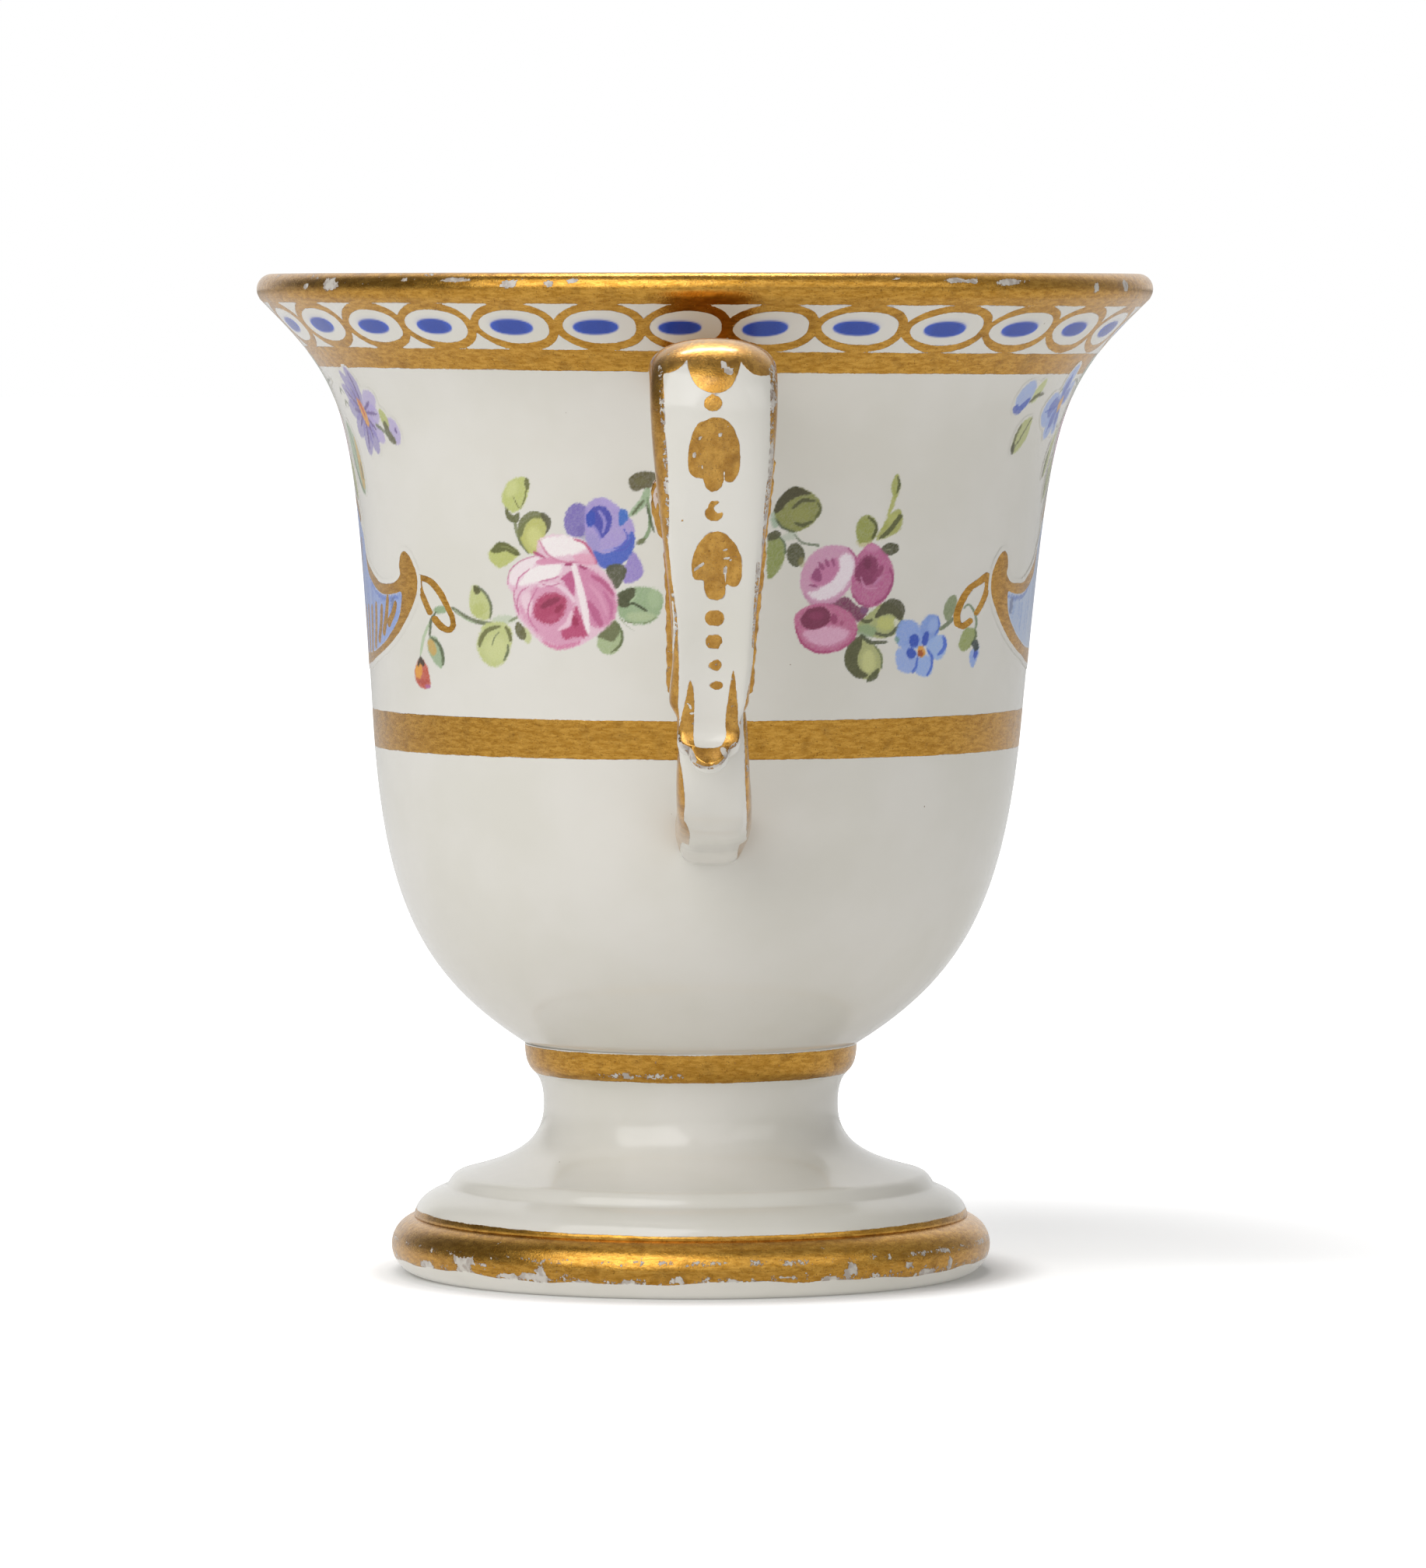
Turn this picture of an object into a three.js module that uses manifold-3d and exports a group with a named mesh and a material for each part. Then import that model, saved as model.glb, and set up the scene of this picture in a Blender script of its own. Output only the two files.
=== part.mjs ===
// A porcelain ice cup: a bell-shaped bowl on a turned, hollow foot, with one scroll handle.
// Millimetres, +Z up. The cup stands on z = 0 and its handle points towards -Y.

import * as THREE from 'three';
import { mergeVertices } from 'three/addons/utils/BufferGeometryUtils.js';
import Module from 'manifold-3d';

const wasm = await Module();
wasm.setup();

// Bowl
const cupHeight = 66.0;
const rimRadius = 29.55;
const lipRoundness = 1.0;
const flareAngle = 45.0;
const wallThickness = 2.2;
const waistHeight = 36.5;
const waistRadius = 21.43;
const waistAngle = 85.75;
const bellyAngle = 32.3;
const floorThickness = 3.4;

// Foot
const seatHeight = 15.2;
const seatRadius = 11.0;
const ringHeight = 1.85;
const ringInset = 0.55;
const neckHeight = 11.1;
const neckRadius = 9.75;
const shoulderHeight = 6.95;
const shoulderRadius = 15.3;
const stepDepth = 1.0;
const stepWidth = 0.85;
const baseTopHeight = 3.75;
const baseTopRadius = 18.35;
const footRadius = 19.83;
const footRollRadius = 1.9;
const standingRingWidth = 2.1;
const hollowDepth = 10.6;

// Handle strap, its free leaf tip, and the strap's place on the bowl
const handleReach = 44.3;
const handleTopDrop = 4.1;
const strapRootDrop = 6.7;
const strapRootFlare = 1.3;
const strapRootLength = 5.0;
const strapRootNarrowing = 1.1;
const strapRunLength = 13.0;
const strapTopWidth = 7.9;
const strapLowWidth = 4.95;
const strapThickness = 2.7;
const strapTaperDrop = 7.0;
const strapTaperEnd = 41.0;
const bendRadius = 3.3;
const tuckHeight = 38.6;
const tuckInset = 4.1;
const tuckAngle = 18.0;
const leafTipHeight = 35.3;
const leafTipThickness = 1.3;
const leafTipCurl = 1.6;
const leafTipWidth = 3.95;
const leafMiddleLobeWidth = 2.55;
const leafMiddleLobeLength = 1.5;
const leafSideLobeLength = 0.75;
const leafNotchHeight = 39.6;
const leafNotchLength = 1.3;
const channelDepth = 0.35;

// Under-leaf: the thin leaf behind the strap, whose lobes show past both edges
const underLeafTopGap = 0.2;
const underLeafEndHeight = 38.5;
const underLeafThickness = 1.0;
const underLeafMargin = 0.08;
const upperLobeDrop = 15.0;
const upperLobeLength = 3.9;
const upperLobeWidth = 0.55;
const lowerLobeHeight = 43.4;
const lowerLobeLength = 11.0;
const lowerLobeWidth = 0.36;

// Lower branch, from behind the strap down to the bowl
const branchTopHeight = 46.5;
const branchTopThickness = 0.9;
const branchTopWidth = 3.2;
const branchRootHeight = 29.7;
const branchRootThickness = 3.0;
const branchRootWidth = 3.7;
const branchRootFlare = 0.7;
const branchRootLength = 4.0;
const branchWidth = 4.7;
const branchKneeInset = 6.6;
const branchKneeHeight = 36.6;
const branchPeelHeight = 41.8;
const branchRootAngle = -163.0;

// Slip joint between two pieces, and how finely the round forms are divided
const slipGap = 0.3;
const rootSink = 0.2;
const turnSegments = 64;
const bowlSteps = 9;
const footSteps = 6;
const ringStep = 1.15;
const sectionPoints = 16;

// Small helpers for outlines in the plane of the cup's axis: x is the radius, y the height

const point = (radius, height) => new THREE.Vector2(radius, height);

const direction = (degrees) => {
  const angle = THREE.MathUtils.degToRad(degrees);
  return point(Math.cos(angle), Math.sin(angle));
};

// A curve that leaves its start and reaches its end along the given directions. Each pull says
// how far the curve follows that direction, as a share of the straight distance.
function easedCurve(start, startWay, startPull, end, endWay, endPull) {
  const span = start.distanceTo(end);
  return new THREE.CubicBezierCurve(
    start,
    start.clone().addScaledVector(startWay, startPull * span),
    end.clone().addScaledVector(endWay, -endPull * span),
    end,
  );
}

function arc(centre, radius, fromDegrees, toDegrees) {
  const from = THREE.MathUtils.degToRad(fromDegrees);
  const to = THREE.MathUtils.degToRad(toDegrees);
  return new THREE.EllipseCurve(centre.x, centre.y, radius, radius, from, to, to < from);
}

// Points along a run of curves, without doubling the point that two curves share.
function outlineOf(curves, steps = bowlSteps) {
  const points = [];
  for (const curve of curves) {
    for (const candidate of curve.getPoints(steps)) {
      const last = points[points.length - 1];
      if (!last || last.distanceTo(candidate) > 1e-6) {
        points.push(candidate);
      }
    }
  }
  return points;
}

// Turns an outline about the cup's axis.
function turned(outline) {
  const geometry = new THREE.LatheGeometry(outline, turnSegments);
  return geometry.rotateX(Math.PI / 2);
}

// Joining and cutting closed bodies

function solidOf(geometry) {
  const plain = geometry.clone();
  plain.deleteAttribute('normal');
  plain.deleteAttribute('uv');
  const merged = mergeVertices(plain, 1e-5);
  return new wasm.Manifold(new wasm.Mesh({
    numProp: 3,
    vertProperties: new Float32Array(merged.attributes.position.array),
    triVerts: new Uint32Array(merged.index.array),
  }));
}

function geometryOf(solid) {
  const mesh = solid.getMesh();
  const geometry = new THREE.BufferGeometry();
  geometry.setAttribute('position', new THREE.BufferAttribute(mesh.vertProperties, 3));
  geometry.setIndex(new THREE.BufferAttribute(mesh.triVerts, 1));
  return geometry;
}

// Bowl: outer curves from the seat up to the lip, then inner curves back down to the axis

const lipCentre = point(rimRadius - lipRoundness, cupHeight - lipRoundness);
const flareWay = direction(flareAngle);
const flareNormal = direction(flareAngle - 90);
const lipOutside = lipCentre.clone().addScaledVector(flareNormal, lipRoundness);
const lipInside = lipCentre.clone().addScaledVector(flareNormal, -lipRoundness);
const seatEdge = point(seatRadius, seatHeight);
const waist = point(waistRadius, waistHeight);
const waistWay = direction(waistAngle);

const outerBelly = easedCurve(seatEdge, direction(bellyAngle), 0.35, waist, waistWay, 0.5);
const outerFlare = easedCurve(waist, waistWay, 0.74, lipOutside, flareWay, 0.29);
const lip = arc(lipCentre, lipRoundness, flareAngle - 90, flareAngle + 90);

function bowlOutline() {
  const innerWaist = point(waistRadius - wallThickness, waistHeight);
  const floorCentre = point(0, seatHeight + floorThickness);
  const down = waistWay.clone().negate();
  const innerFlare = easedCurve(lipInside, flareWay.clone().negate(), 0.29, innerWaist, down, 0.74);
  const innerBelly = easedCurve(innerWaist, down, 0.45, floorCentre, point(-1, 0), 0.52);
  const curves = [outerBelly, outerFlare, lip, innerFlare, innerBelly];
  return [point(0, seatHeight), ...outlineOf(curves)];
}

// Radius of the bowl's outside at a height.
function bowlRadiusAt(height) {
  const outline = outlineOf([outerBelly, outerFlare], 60);
  const above = outline.findIndex((candidate) => candidate.y >= height);
  const high = outline[above];
  const low = outline[above - 1];
  const share = (height - low.y) / (high.y - low.y);
  return THREE.MathUtils.lerp(low.x, high.x, share);
}

// The bowl's outside grown by the slip gap, filled solid, to trim the handle's roots with.
function bowlTrimmer() {
  const curves = [outerBelly, outerFlare, lip];
  const grown = [];
  for (const curve of curves) {
    for (let step = 0; step <= bowlSteps; step += 1) {
      const way = curve.getTangent(step / bowlSteps);
      const outwards = point(way.y, -way.x);
      grown.push(curve.getPoint(step / bowlSteps).addScaledVector(outwards, slipGap));
    }
  }
  const foot = point(0, grown[0].y);
  const top = point(0, grown[grown.length - 1].y);
  return solidOf(turned([foot, ...grown, top]));
}

// Foot: seat and gilt ring, concave stem, stepped shoulder, rolled edge, hollow underside

function footOutline() {
  const ringEnd = point(seatRadius - ringInset, seatHeight - ringHeight);
  const neck = point(neckRadius, neckHeight);
  const shoulder = point(shoulderRadius, shoulderHeight);
  const stepFoot = point(shoulderRadius + stepWidth, shoulderHeight - stepDepth);
  const baseTop = point(baseTopRadius, baseTopHeight);
  const rollCentre = point(footRadius - footRollRadius, footRollRadius - 0.05);
  const down = point(0, -1);
  const ring = easedCurve(seatEdge, down, 0.6, ringEnd, direction(-137), 0.2);
  const upperCove = easedCurve(ringEnd, direction(-137), 0.3, neck, down, 0.45);
  const lowerCove = easedCurve(neck, down, 0.3, shoulder, direction(-9), 0.6);
  const step = easedCurve(shoulder, direction(-9), 0.5, stepFoot, direction(-72), 0.4);
  const base = easedCurve(stepFoot, direction(-19), 0.4, baseTop, direction(-83), 0.38);
  const flatEdge = -Math.asin(rollCentre.y / footRollRadius);
  const roll = arc(rollCentre, footRollRadius, 78, THREE.MathUtils.radToDeg(flatEdge));
  const ringOuter = roll.getPoint(1);
  const hollowEdge = point(ringOuter.x - standingRingWidth, 0);
  const hollow = easedCurve(hollowEdge, direction(137), 0.26, point(0, hollowDepth), point(-1, 0), 0.39);
  const curves = [ring, upperCove, lowerCove, step, base, roll, hollow];
  const outline = [point(0, seatHeight), ...outlineOf(curves, footSteps)];
  return outline.reverse();
}

// Lofting along a path in the plane x = 0. A ring lies at a distance along the path, and its
// section is given across (x) and along the path's outward normal.

function loft(path, rings) {
  const length = path.getLength();
  const positions = [];
  const indices = [];
  for (const { distance, section } of rings) {
    const share = THREE.MathUtils.clamp(distance / length, 0, 1);
    const place = path.getPointAt(share);
    const way = path.getTangentAt(share);
    for (const [across, out] of section) {
      positions.push(across, -(place.x - way.y * out), place.y + way.x * out);
    }
  }
  const count = rings[0].section.length;
  for (let ring = 0; ring < rings.length - 1; ring += 1) {
    for (let side = 0; side < count; side += 1) {
      const next = (side + 1) % count;
      const here = ring * count;
      const ahead = here + count;
      indices.push(here + side, here + next, ahead + next);
      indices.push(here + side, ahead + next, ahead + side);
    }
  }
  const last = (rings.length - 1) * count;
  for (let side = 1; side < count - 1; side += 1) {
    indices.push(0, side + 1, side);
    indices.push(last, last + side, last + side + 1);
  }
  const geometry = new THREE.BufferGeometry();
  geometry.setAttribute('position', new THREE.Float32BufferAttribute(positions, 3));
  geometry.setIndex(indices);
  return geometry;
}

// A rounded section: front and back are superellipse halves of their own depth, and the front
// may carry a shallow channel between two raised edges.
function roundedSection({ halfWidth, front, back, squareness, channel = 0, shift = 0, grow = 0 }) {
  const soften = (value) => Math.sign(value) * Math.abs(value) ** (2 / squareness);
  const section = [];
  for (let index = 0; index < sectionPoints; index += 1) {
    const angle = (index + 0.5) / sectionPoints * 2 * Math.PI;
    const across = soften(Math.cos(angle));
    const out = soften(Math.sin(angle));
    const dip = out > 0 ? channel * Math.max(0, 1 - (across / 0.85) ** 2) : 0;
    const depth = out > 0 ? front : back;
    section.push([across * (halfWidth + grow), shift + out * (depth + grow) - dip]);
  }
  return section;
}

// Handle strap: from the wall out, over the bend, down, and tucked in to its free leaf tip

const half = strapThickness / 2;
const strapFace = handleReach - half;
const strapRootHeight = cupHeight - strapRootDrop;
const strapTaperStart = cupHeight - strapTaperDrop;
const bendCentre = point(strapFace - bendRadius, cupHeight - handleTopDrop - half - bendRadius);
const tuck = point(strapFace - tuckInset, tuckHeight);
const tuckWay = direction(-90 - tuckAngle);
const leafTip = point(tuck.x + leafTipCurl, leafTipHeight);

function strapPath() {
  const root = point(bowlRadiusAt(strapRootHeight) - wallThickness, strapRootHeight - rootSink);
  const bendStart = point(bendCentre.x, bendCentre.y + bendRadius);
  const bendEnd = point(bendCentre.x + bendRadius, bendCentre.y);
  const path = new THREE.CurvePath();
  path.add(easedCurve(root, direction(6), 0.35, bendStart, point(1, 0), 0.35));
  path.add(arc(bendCentre, bendRadius, 90, 0));
  path.add(easedCurve(bendEnd, point(0, -1), 0.38, tuck, tuckWay, 0.3));
  path.add(easedCurve(tuck, tuckWay, 0.42, leafTip, direction(-38), 0.45));
  return path;
}

const strapRoute = strapPath();
const strapLength = strapRoute.getLength();

// Distance along the strap's outer run at which it passes a height on its way down.
function strapDistanceAt(height) {
  const samples = 400;
  for (let index = samples; index > 0; index -= 1) {
    if (strapRoute.getPointAt(index / samples).y >= height) {
      return strapLength * index / samples;
    }
  }
  return 0;
}

function strapBodyWidthAt(height) {
  const taper = THREE.MathUtils.smoothstep(height, strapTaperEnd, strapTaperStart);
  return THREE.MathUtils.lerp(strapLowWidth, strapTopWidth, taper);
}

function strapHalfWidthAt(height) {
  const notch = THREE.MathUtils.smoothstep(height, leafNotchHeight - leafNotchLength, leafNotchHeight);
  return THREE.MathUtils.lerp(leafTipWidth, strapBodyWidthAt(height), notch) / 2;
}

// How much wider a root grows over its last stretch before the wall.
function rootSwell(fromWall, flare, stretch) {
  return flare * (1 - THREE.MathUtils.smoothstep(fromWall, 0, stretch)) ** 2;
}

// Front and back depth of the strap: domed at the bend, flatter below, thin at the leaf tip.
function strapDepths(distance) {
  const low = THREE.MathUtils.smoothstep(distance, strapDistanceAt(strapTaperStart), strapDistanceAt(strapTaperEnd));
  const thin = THREE.MathUtils.smoothstep(distance, strapDistanceAt(strapTaperEnd), strapLength);
  const thickness = THREE.MathUtils.lerp(strapThickness, leafTipThickness, 0.35 * low + 0.65 * thin);
  const dome = THREE.MathUtils.lerp(0.75, 0.5, low);
  return {
    front: thickness * dome,
    back: thickness * (1 - dome),
    shift: thickness * (0.5 - dome),
    squareness: THREE.MathUtils.lerp(2.2, 3.6, low),
    channel: channelDepth * low * (1 - 0.6 * thin),
  };
}

// Half the leaf tip's width at a distance from its end: the middle lobe, then the side lobes.
function leafTipHalfWidthAt(fromEnd) {
  const inner = Math.min(fromEnd / leafMiddleLobeLength, 1);
  const outer = THREE.MathUtils.clamp((fromEnd - leafMiddleLobeLength) / leafSideLobeLength, 0, 1);
  const middleHalf = leafMiddleLobeWidth / 2 * Math.sqrt(1 - (1 - inner) ** 2);
  return middleHalf + (leafTipWidth - leafMiddleLobeWidth) / 2 * Math.sqrt(1 - (1 - outer) ** 2);
}

function strapSolid(grow = 0) {
  const rings = [];
  const lobesStart = strapLength - leafMiddleLobeLength - leafSideLobeLength;
  const plainRings = Math.round(lobesStart / ringStep);
  for (let index = 0; index < plainRings; index += 1) {
    const distance = lobesStart * index / plainRings;
    const height = strapRoute.getPointAt(distance / strapLength).y;
    const onDescent = distance > strapDistanceAt(strapTaperStart);
    const flare = rootSwell(distance - wallThickness, strapRootFlare, strapRootLength);
    const narrowing = 1 - THREE.MathUtils.smoothstep(distance - wallThickness, 0, strapRunLength);
    const runWidth = strapTopWidth - strapRootNarrowing * narrowing;
    const halfWidth = onDescent ? strapHalfWidthAt(height) : runWidth / 2;
    const depths = strapDepths(distance);
    depths.front += flare / 2;
    depths.back += flare / 2;
    rings.push({ distance, section: roundedSection({ ...depths, halfWidth, grow }) });
  }
  // Rings from the side lobes to the end, each lobe's closer together towards its own end.
  const lobeRings = 7;
  for (let index = 0; index < 2 * lobeRings; index += 1) {
    const onSide = index < lobeRings;
    const turn = Math.PI / 2 * (1 - (index % lobeRings) / lobeRings);
    const lobeLength = onSide ? leafSideLobeLength : leafMiddleLobeLength;
    const fromEnd = lobeLength * (1 - Math.cos(turn)) + (onSide ? leafMiddleLobeLength : 0);
    const distance = strapLength - fromEnd;
    const halfWidth = leafTipHalfWidthAt(fromEnd);
    const depths = strapDepths(distance);
    const fade = Math.sqrt(Math.min(1, halfWidth / (leafMiddleLobeWidth / 2)));
    depths.front *= 0.5 + 0.5 * fade;
    depths.back *= 0.5 + 0.5 * fade;
    rings.push({ distance, section: roundedSection({ ...depths, halfWidth, grow }) });
  }
  return solidOf(loft(strapRoute, rings));
}

// Under-leaf: follows the strap's back, a slip gap behind it

// A rounded lobe: 1 at its middle, falling to 0 at half its length above and below.
function lobe(height, middle, length) {
  const offset = (height - middle) / (length / 2);
  return Math.sqrt(Math.max(0, 1 - offset * offset));
}

function underLeafSolid(grow = 0) {
  const start = strapDistanceAt(bendCentre.y - underLeafTopGap);
  const end = strapDistanceAt(underLeafEndHeight);
  const steps = Math.round((end - start) / ringStep * 1.8);
  const rings = [];
  for (let index = 0; index <= steps; index += 1) {
    const share = index / steps;
    const distance = THREE.MathUtils.lerp(start, end, share);
    const height = strapRoute.getPointAt(distance / strapLength).y;
    const strapBack = strapDepths(distance);
    const upper = upperLobeWidth * lobe(height, cupHeight - upperLobeDrop, upperLobeLength);
    const lower = lowerLobeWidth * lobe(height, lowerLobeHeight, lowerLobeLength);
    const rounded = Math.sqrt(Math.min(1, (1 - share) * 20 + 0.3, share * 6 + 0.3));
    const halfWidth = (strapBodyWidthAt(height) / 2 + underLeafMargin + upper + lower) * rounded;
    const depth = underLeafThickness / 2 * (0.4 + 0.6 * rounded);
    const shift = strapBack.shift - strapBack.back - slipGap - underLeafThickness / 2;
    rings.push({
      distance,
      section: roundedSection({ halfWidth, front: depth, back: depth, squareness: 3, shift, grow }),
    });
  }
  return solidOf(loft(strapRoute, rings));
}

// Lower branch: peels off the under-leaf's back, turns at its knee and runs level into the bowl

function branchPath() {
  // Points a layer behind the under-leaf's back, from which the branch then peels away.
  const hugged = [branchTopHeight, (branchTopHeight + branchPeelHeight) / 2, branchPeelHeight];
  const besideLeaf = hugged.map((height) => {
    const distance = strapDistanceAt(height);
    const place = strapRoute.getPointAt(distance / strapLength);
    const way = strapRoute.getTangentAt(distance / strapLength);
    const depths = strapDepths(distance);
    const layers = depths.back - depths.shift + slipGap + underLeafThickness + branchTopThickness / 2;
    return point(place.x + way.y * layers, place.y - way.x * layers);
  });
  const knee = point(strapFace - branchKneeInset, branchKneeHeight);
  const root = point(bowlRadiusAt(branchRootHeight) - wallThickness, branchRootHeight - rootSink);
  const upper = new THREE.SplineCurve([...besideLeaf, knee]);
  const path = new THREE.CurvePath();
  path.add(upper);
  path.add(easedCurve(knee, upper.getTangent(1), 0.32, root, direction(branchRootAngle), 0.42));
  return path;
}

function branchSolid() {
  const path = branchPath();
  const length = path.getLength();
  const steps = Math.round(length / ringStep);
  const rings = [];
  for (let index = 0; index <= steps; index += 1) {
    const share = index / steps;
    const swell = THREE.MathUtils.smoothstep(share, 0, 0.5);
    const thickness = THREE.MathUtils.lerp(branchTopThickness, branchRootThickness, swell);
    const upperWidth = THREE.MathUtils.lerp(branchTopWidth, branchWidth, swell);
    const width = THREE.MathUtils.lerp(upperWidth, branchRootWidth, THREE.MathUtils.smoothstep(share, 0.55, 1));
    const flare = rootSwell(length * (1 - share) - wallThickness, branchRootFlare, branchRootLength);
    const depth = (thickness + flare) / 2;
    rings.push({
      distance: length * share,
      section: roundedSection({
        halfWidth: width / 2, front: depth, back: depth, squareness: 3.2,
      }),
    });
  }
  return solidOf(loft(path, rings));
}

// Materials

const finish = (color, roughness, metalness) => (
  () => new THREE.MeshStandardMaterial({ color, roughness, metalness })
);
const whitePorcelain = finish('#e4e1d8', 0.18, 0);
const warmPorcelain = finish('#dedbd0', 0.2, 0);
const giltPorcelain = finish('#c4923e', 0.35, 0.85);

// Assembly

const cup = new THREE.Group();

function addPiece(name, geometry, material) {
  const mesh = new THREE.Mesh(geometry, material());
  mesh.name = name;
  cup.add(mesh);
}

const trimmer = bowlTrimmer();
const strap = strapSolid();
const strapTrimmer = strapSolid(slipGap);
const underLeaf = underLeafSolid().subtract(strapTrimmer);
const underLeafTrimmer = underLeafSolid(slipGap);
const branch = branchSolid();

addPiece('bowl', turned(bowlOutline()), whitePorcelain);
addPiece('foot', turned(footOutline()), warmPorcelain);
addPiece('handle_strap', geometryOf(strap.subtract(trimmer)), whitePorcelain);
addPiece('handle_underleaf', geometryOf(underLeaf), giltPorcelain);
addPiece(
  'handle_branch',
  geometryOf(branch.subtract(trimmer).subtract(strapTrimmer).subtract(underLeafTrimmer)),
  warmPorcelain,
);

// The middle of the cup's footprint, handle and rim together, goes to the origin
const extent = new THREE.Box3().setFromObject(cup);
cup.position.y = -(extent.min.y + extent.max.y) / 2;

const part = new THREE.Group();
part.add(cup);

export default part;
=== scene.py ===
"""Looks of a small porcelain ice cup: bell bowl, hollow turned foot and one scroll handle.

Pieces are drawn in millimetres and become metres in their meshes. The cup's axis is vertical and
its handle points towards -Y. A turn is an angle about that axis in degrees, counted from the
handle and positive to the right as seen from the front.
"""

import logging
import math
from collections.abc import Callable
from dataclasses import dataclass, field
from enum import Enum

import bmesh
import bpy
import numpy as np
from mathutils import Matrix, Vector


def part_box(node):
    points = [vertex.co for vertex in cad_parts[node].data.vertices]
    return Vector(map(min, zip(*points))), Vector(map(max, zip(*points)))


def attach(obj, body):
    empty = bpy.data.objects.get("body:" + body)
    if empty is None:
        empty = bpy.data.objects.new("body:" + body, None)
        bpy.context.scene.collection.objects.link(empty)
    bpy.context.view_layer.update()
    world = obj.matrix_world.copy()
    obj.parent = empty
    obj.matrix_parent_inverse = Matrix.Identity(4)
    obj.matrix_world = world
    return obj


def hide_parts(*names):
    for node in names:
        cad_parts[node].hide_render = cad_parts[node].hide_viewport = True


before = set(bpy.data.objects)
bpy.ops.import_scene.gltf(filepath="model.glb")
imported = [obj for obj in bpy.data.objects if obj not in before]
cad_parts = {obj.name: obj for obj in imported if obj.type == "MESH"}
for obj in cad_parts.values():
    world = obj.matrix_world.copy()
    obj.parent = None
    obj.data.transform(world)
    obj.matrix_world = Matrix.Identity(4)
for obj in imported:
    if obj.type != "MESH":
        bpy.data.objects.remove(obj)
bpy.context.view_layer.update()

log = logging.getLogger("ice_cup")

MM = 0.001
BODY = "root"

# How far outside its edge gilding is still followed, in millimetres
GILT_REACH = -0.25
# Cover below which enamel is not seen
BARE_COVER = 0.004
# Wear of gilding that has come off whole, and of gilding that is hardly worn
CHIPPED = 1.3
EVEN_WEAR = 0.06
# Angle in degrees above which an edge is shaded as sharp
SHARP_ANGLE = 52
# Points from which the brush rounds an oval
OVAL_POINTS = 12
# Where the lamps point, in metres
LAMP_TARGET = Vector((0.0, 0.0, 0.035))

Array = np.ndarray
Material = bpy.types.Material
Mesh = bpy.types.Mesh
Socket = bpy.types.NodeSocket
Colour = tuple[float, float, float]
Pair = tuple[float, float]
Points = list[Pair]


# Curves in a plane


def direction(degrees: float) -> Array:
    """Returns the unit vector at an angle from the first axis."""
    angle = math.radians(degrees)
    return np.array([math.cos(angle), math.sin(angle)])


def eased_curve(
    start: Array, start_way: Array, start_pull: float, end: Array, end_way: Array,
    end_pull: float, steps: int
) -> Array:
    """Draws a curve that leaves its start and reaches its end along given directions.

    Args:
        start: First point.
        start_way: Direction in which the curve leaves.
        start_pull: How far it keeps to that direction, as a share of the straight distance.
        end: Last point.
        end_way: Direction in which the curve arrives.
        end_pull: How far it keeps to that one.
        steps: Number of stretches between points.

    Returns:
        The points, one row each.
    """
    span = float(np.linalg.norm(end - start))
    first = start + start_way * start_pull * span
    second = end - end_way * end_pull * span
    share = np.linspace(0.0, 1.0, steps + 1)[:, None]
    rest = 1.0 - share
    return (
        rest**3 * start
        + 3 * rest**2 * share * first
        + 3 * rest * share**2 * second
        + share**3 * end
    )


def arc(centre: Array, radius: float, start: float, end: float, steps: int) -> Array:
    """Draws a circular arc between two angles in degrees."""
    angles = np.radians(np.linspace(start, end, steps + 1))
    return centre + radius * np.stack([np.cos(angles), np.sin(angles)], axis=1)


def joined(*runs: Array) -> Array:
    """Strings runs of points together without doubling the points that they share.

    Args:
        runs: Runs of points, one row each.

    Returns:
        All the points in order.
    """
    points = np.concatenate(runs)
    gaps = np.linalg.norm(np.diff(points, axis=0), axis=1)
    return points[np.concatenate([[True], gaps > 1e-6])]


def smooth_line(points: Points, closed: bool = False, steps: int = 7) -> Array:
    """Rounds a few points into a line that passes through all of them.

    Args:
        points: The points to pass through.
        closed: Whether the line returns to its first point.
        steps: Stretches between one given point and the next.

    Returns:
        The line's points, one row each.
    """
    given = np.array(points, dtype=float)
    count = len(given)
    spans = count if closed else count - 1
    line = []
    for index in range(spans):
        if closed:
            around = [given[(index + shift) % count] for shift in (-1, 0, 1, 2)]
        else:
            around = [given[min(max(index + shift, 0), count - 1)] for shift in (-1, 0, 1, 2)]
        before, here, ahead, beyond = around
        for share in np.arange(steps) / steps:
            line.append(
                0.5
                * (
                    2 * here
                    + (ahead - before) * share
                    + (2 * before - 5 * here + 4 * ahead - beyond) * share**2
                    + (3 * here - before - 3 * ahead + beyond) * share**3
                )
            )
    if not closed:
        line.append(given[-1])
    return np.array(line)


def smooth_step(value: Array | float, low: float, high: float) -> Array | float:
    """Rises smoothly from 0 at low to 1 at high."""
    share = np.clip((value - low) / (high - low), 0.0, 1.0)
    return share * share * (3.0 - 2.0 * share)


# Mesh helpers


def finished_object(name: str, mesh: Mesh, material: Material) -> bpy.types.Object:
    """Puts a mesh into the scene as a smooth piece with one material.

    Args:
        name: Name of the piece.
        mesh: The piece's mesh.
        material: Its material.

    Returns:
        The piece.
    """
    mesh.name = name
    mesh.materials.clear()
    mesh.materials.append(material)
    mesh.polygons.foreach_set("use_smooth", np.ones(len(mesh.polygons), dtype=bool))
    mesh.set_sharp_from_angle(angle=math.radians(SHARP_ANGLE))
    piece = bpy.data.objects.new(name, mesh)
    bpy.context.collection.objects.link(piece)
    log.info("%s: %d corners", name, len(mesh.vertices))
    return piece


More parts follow.
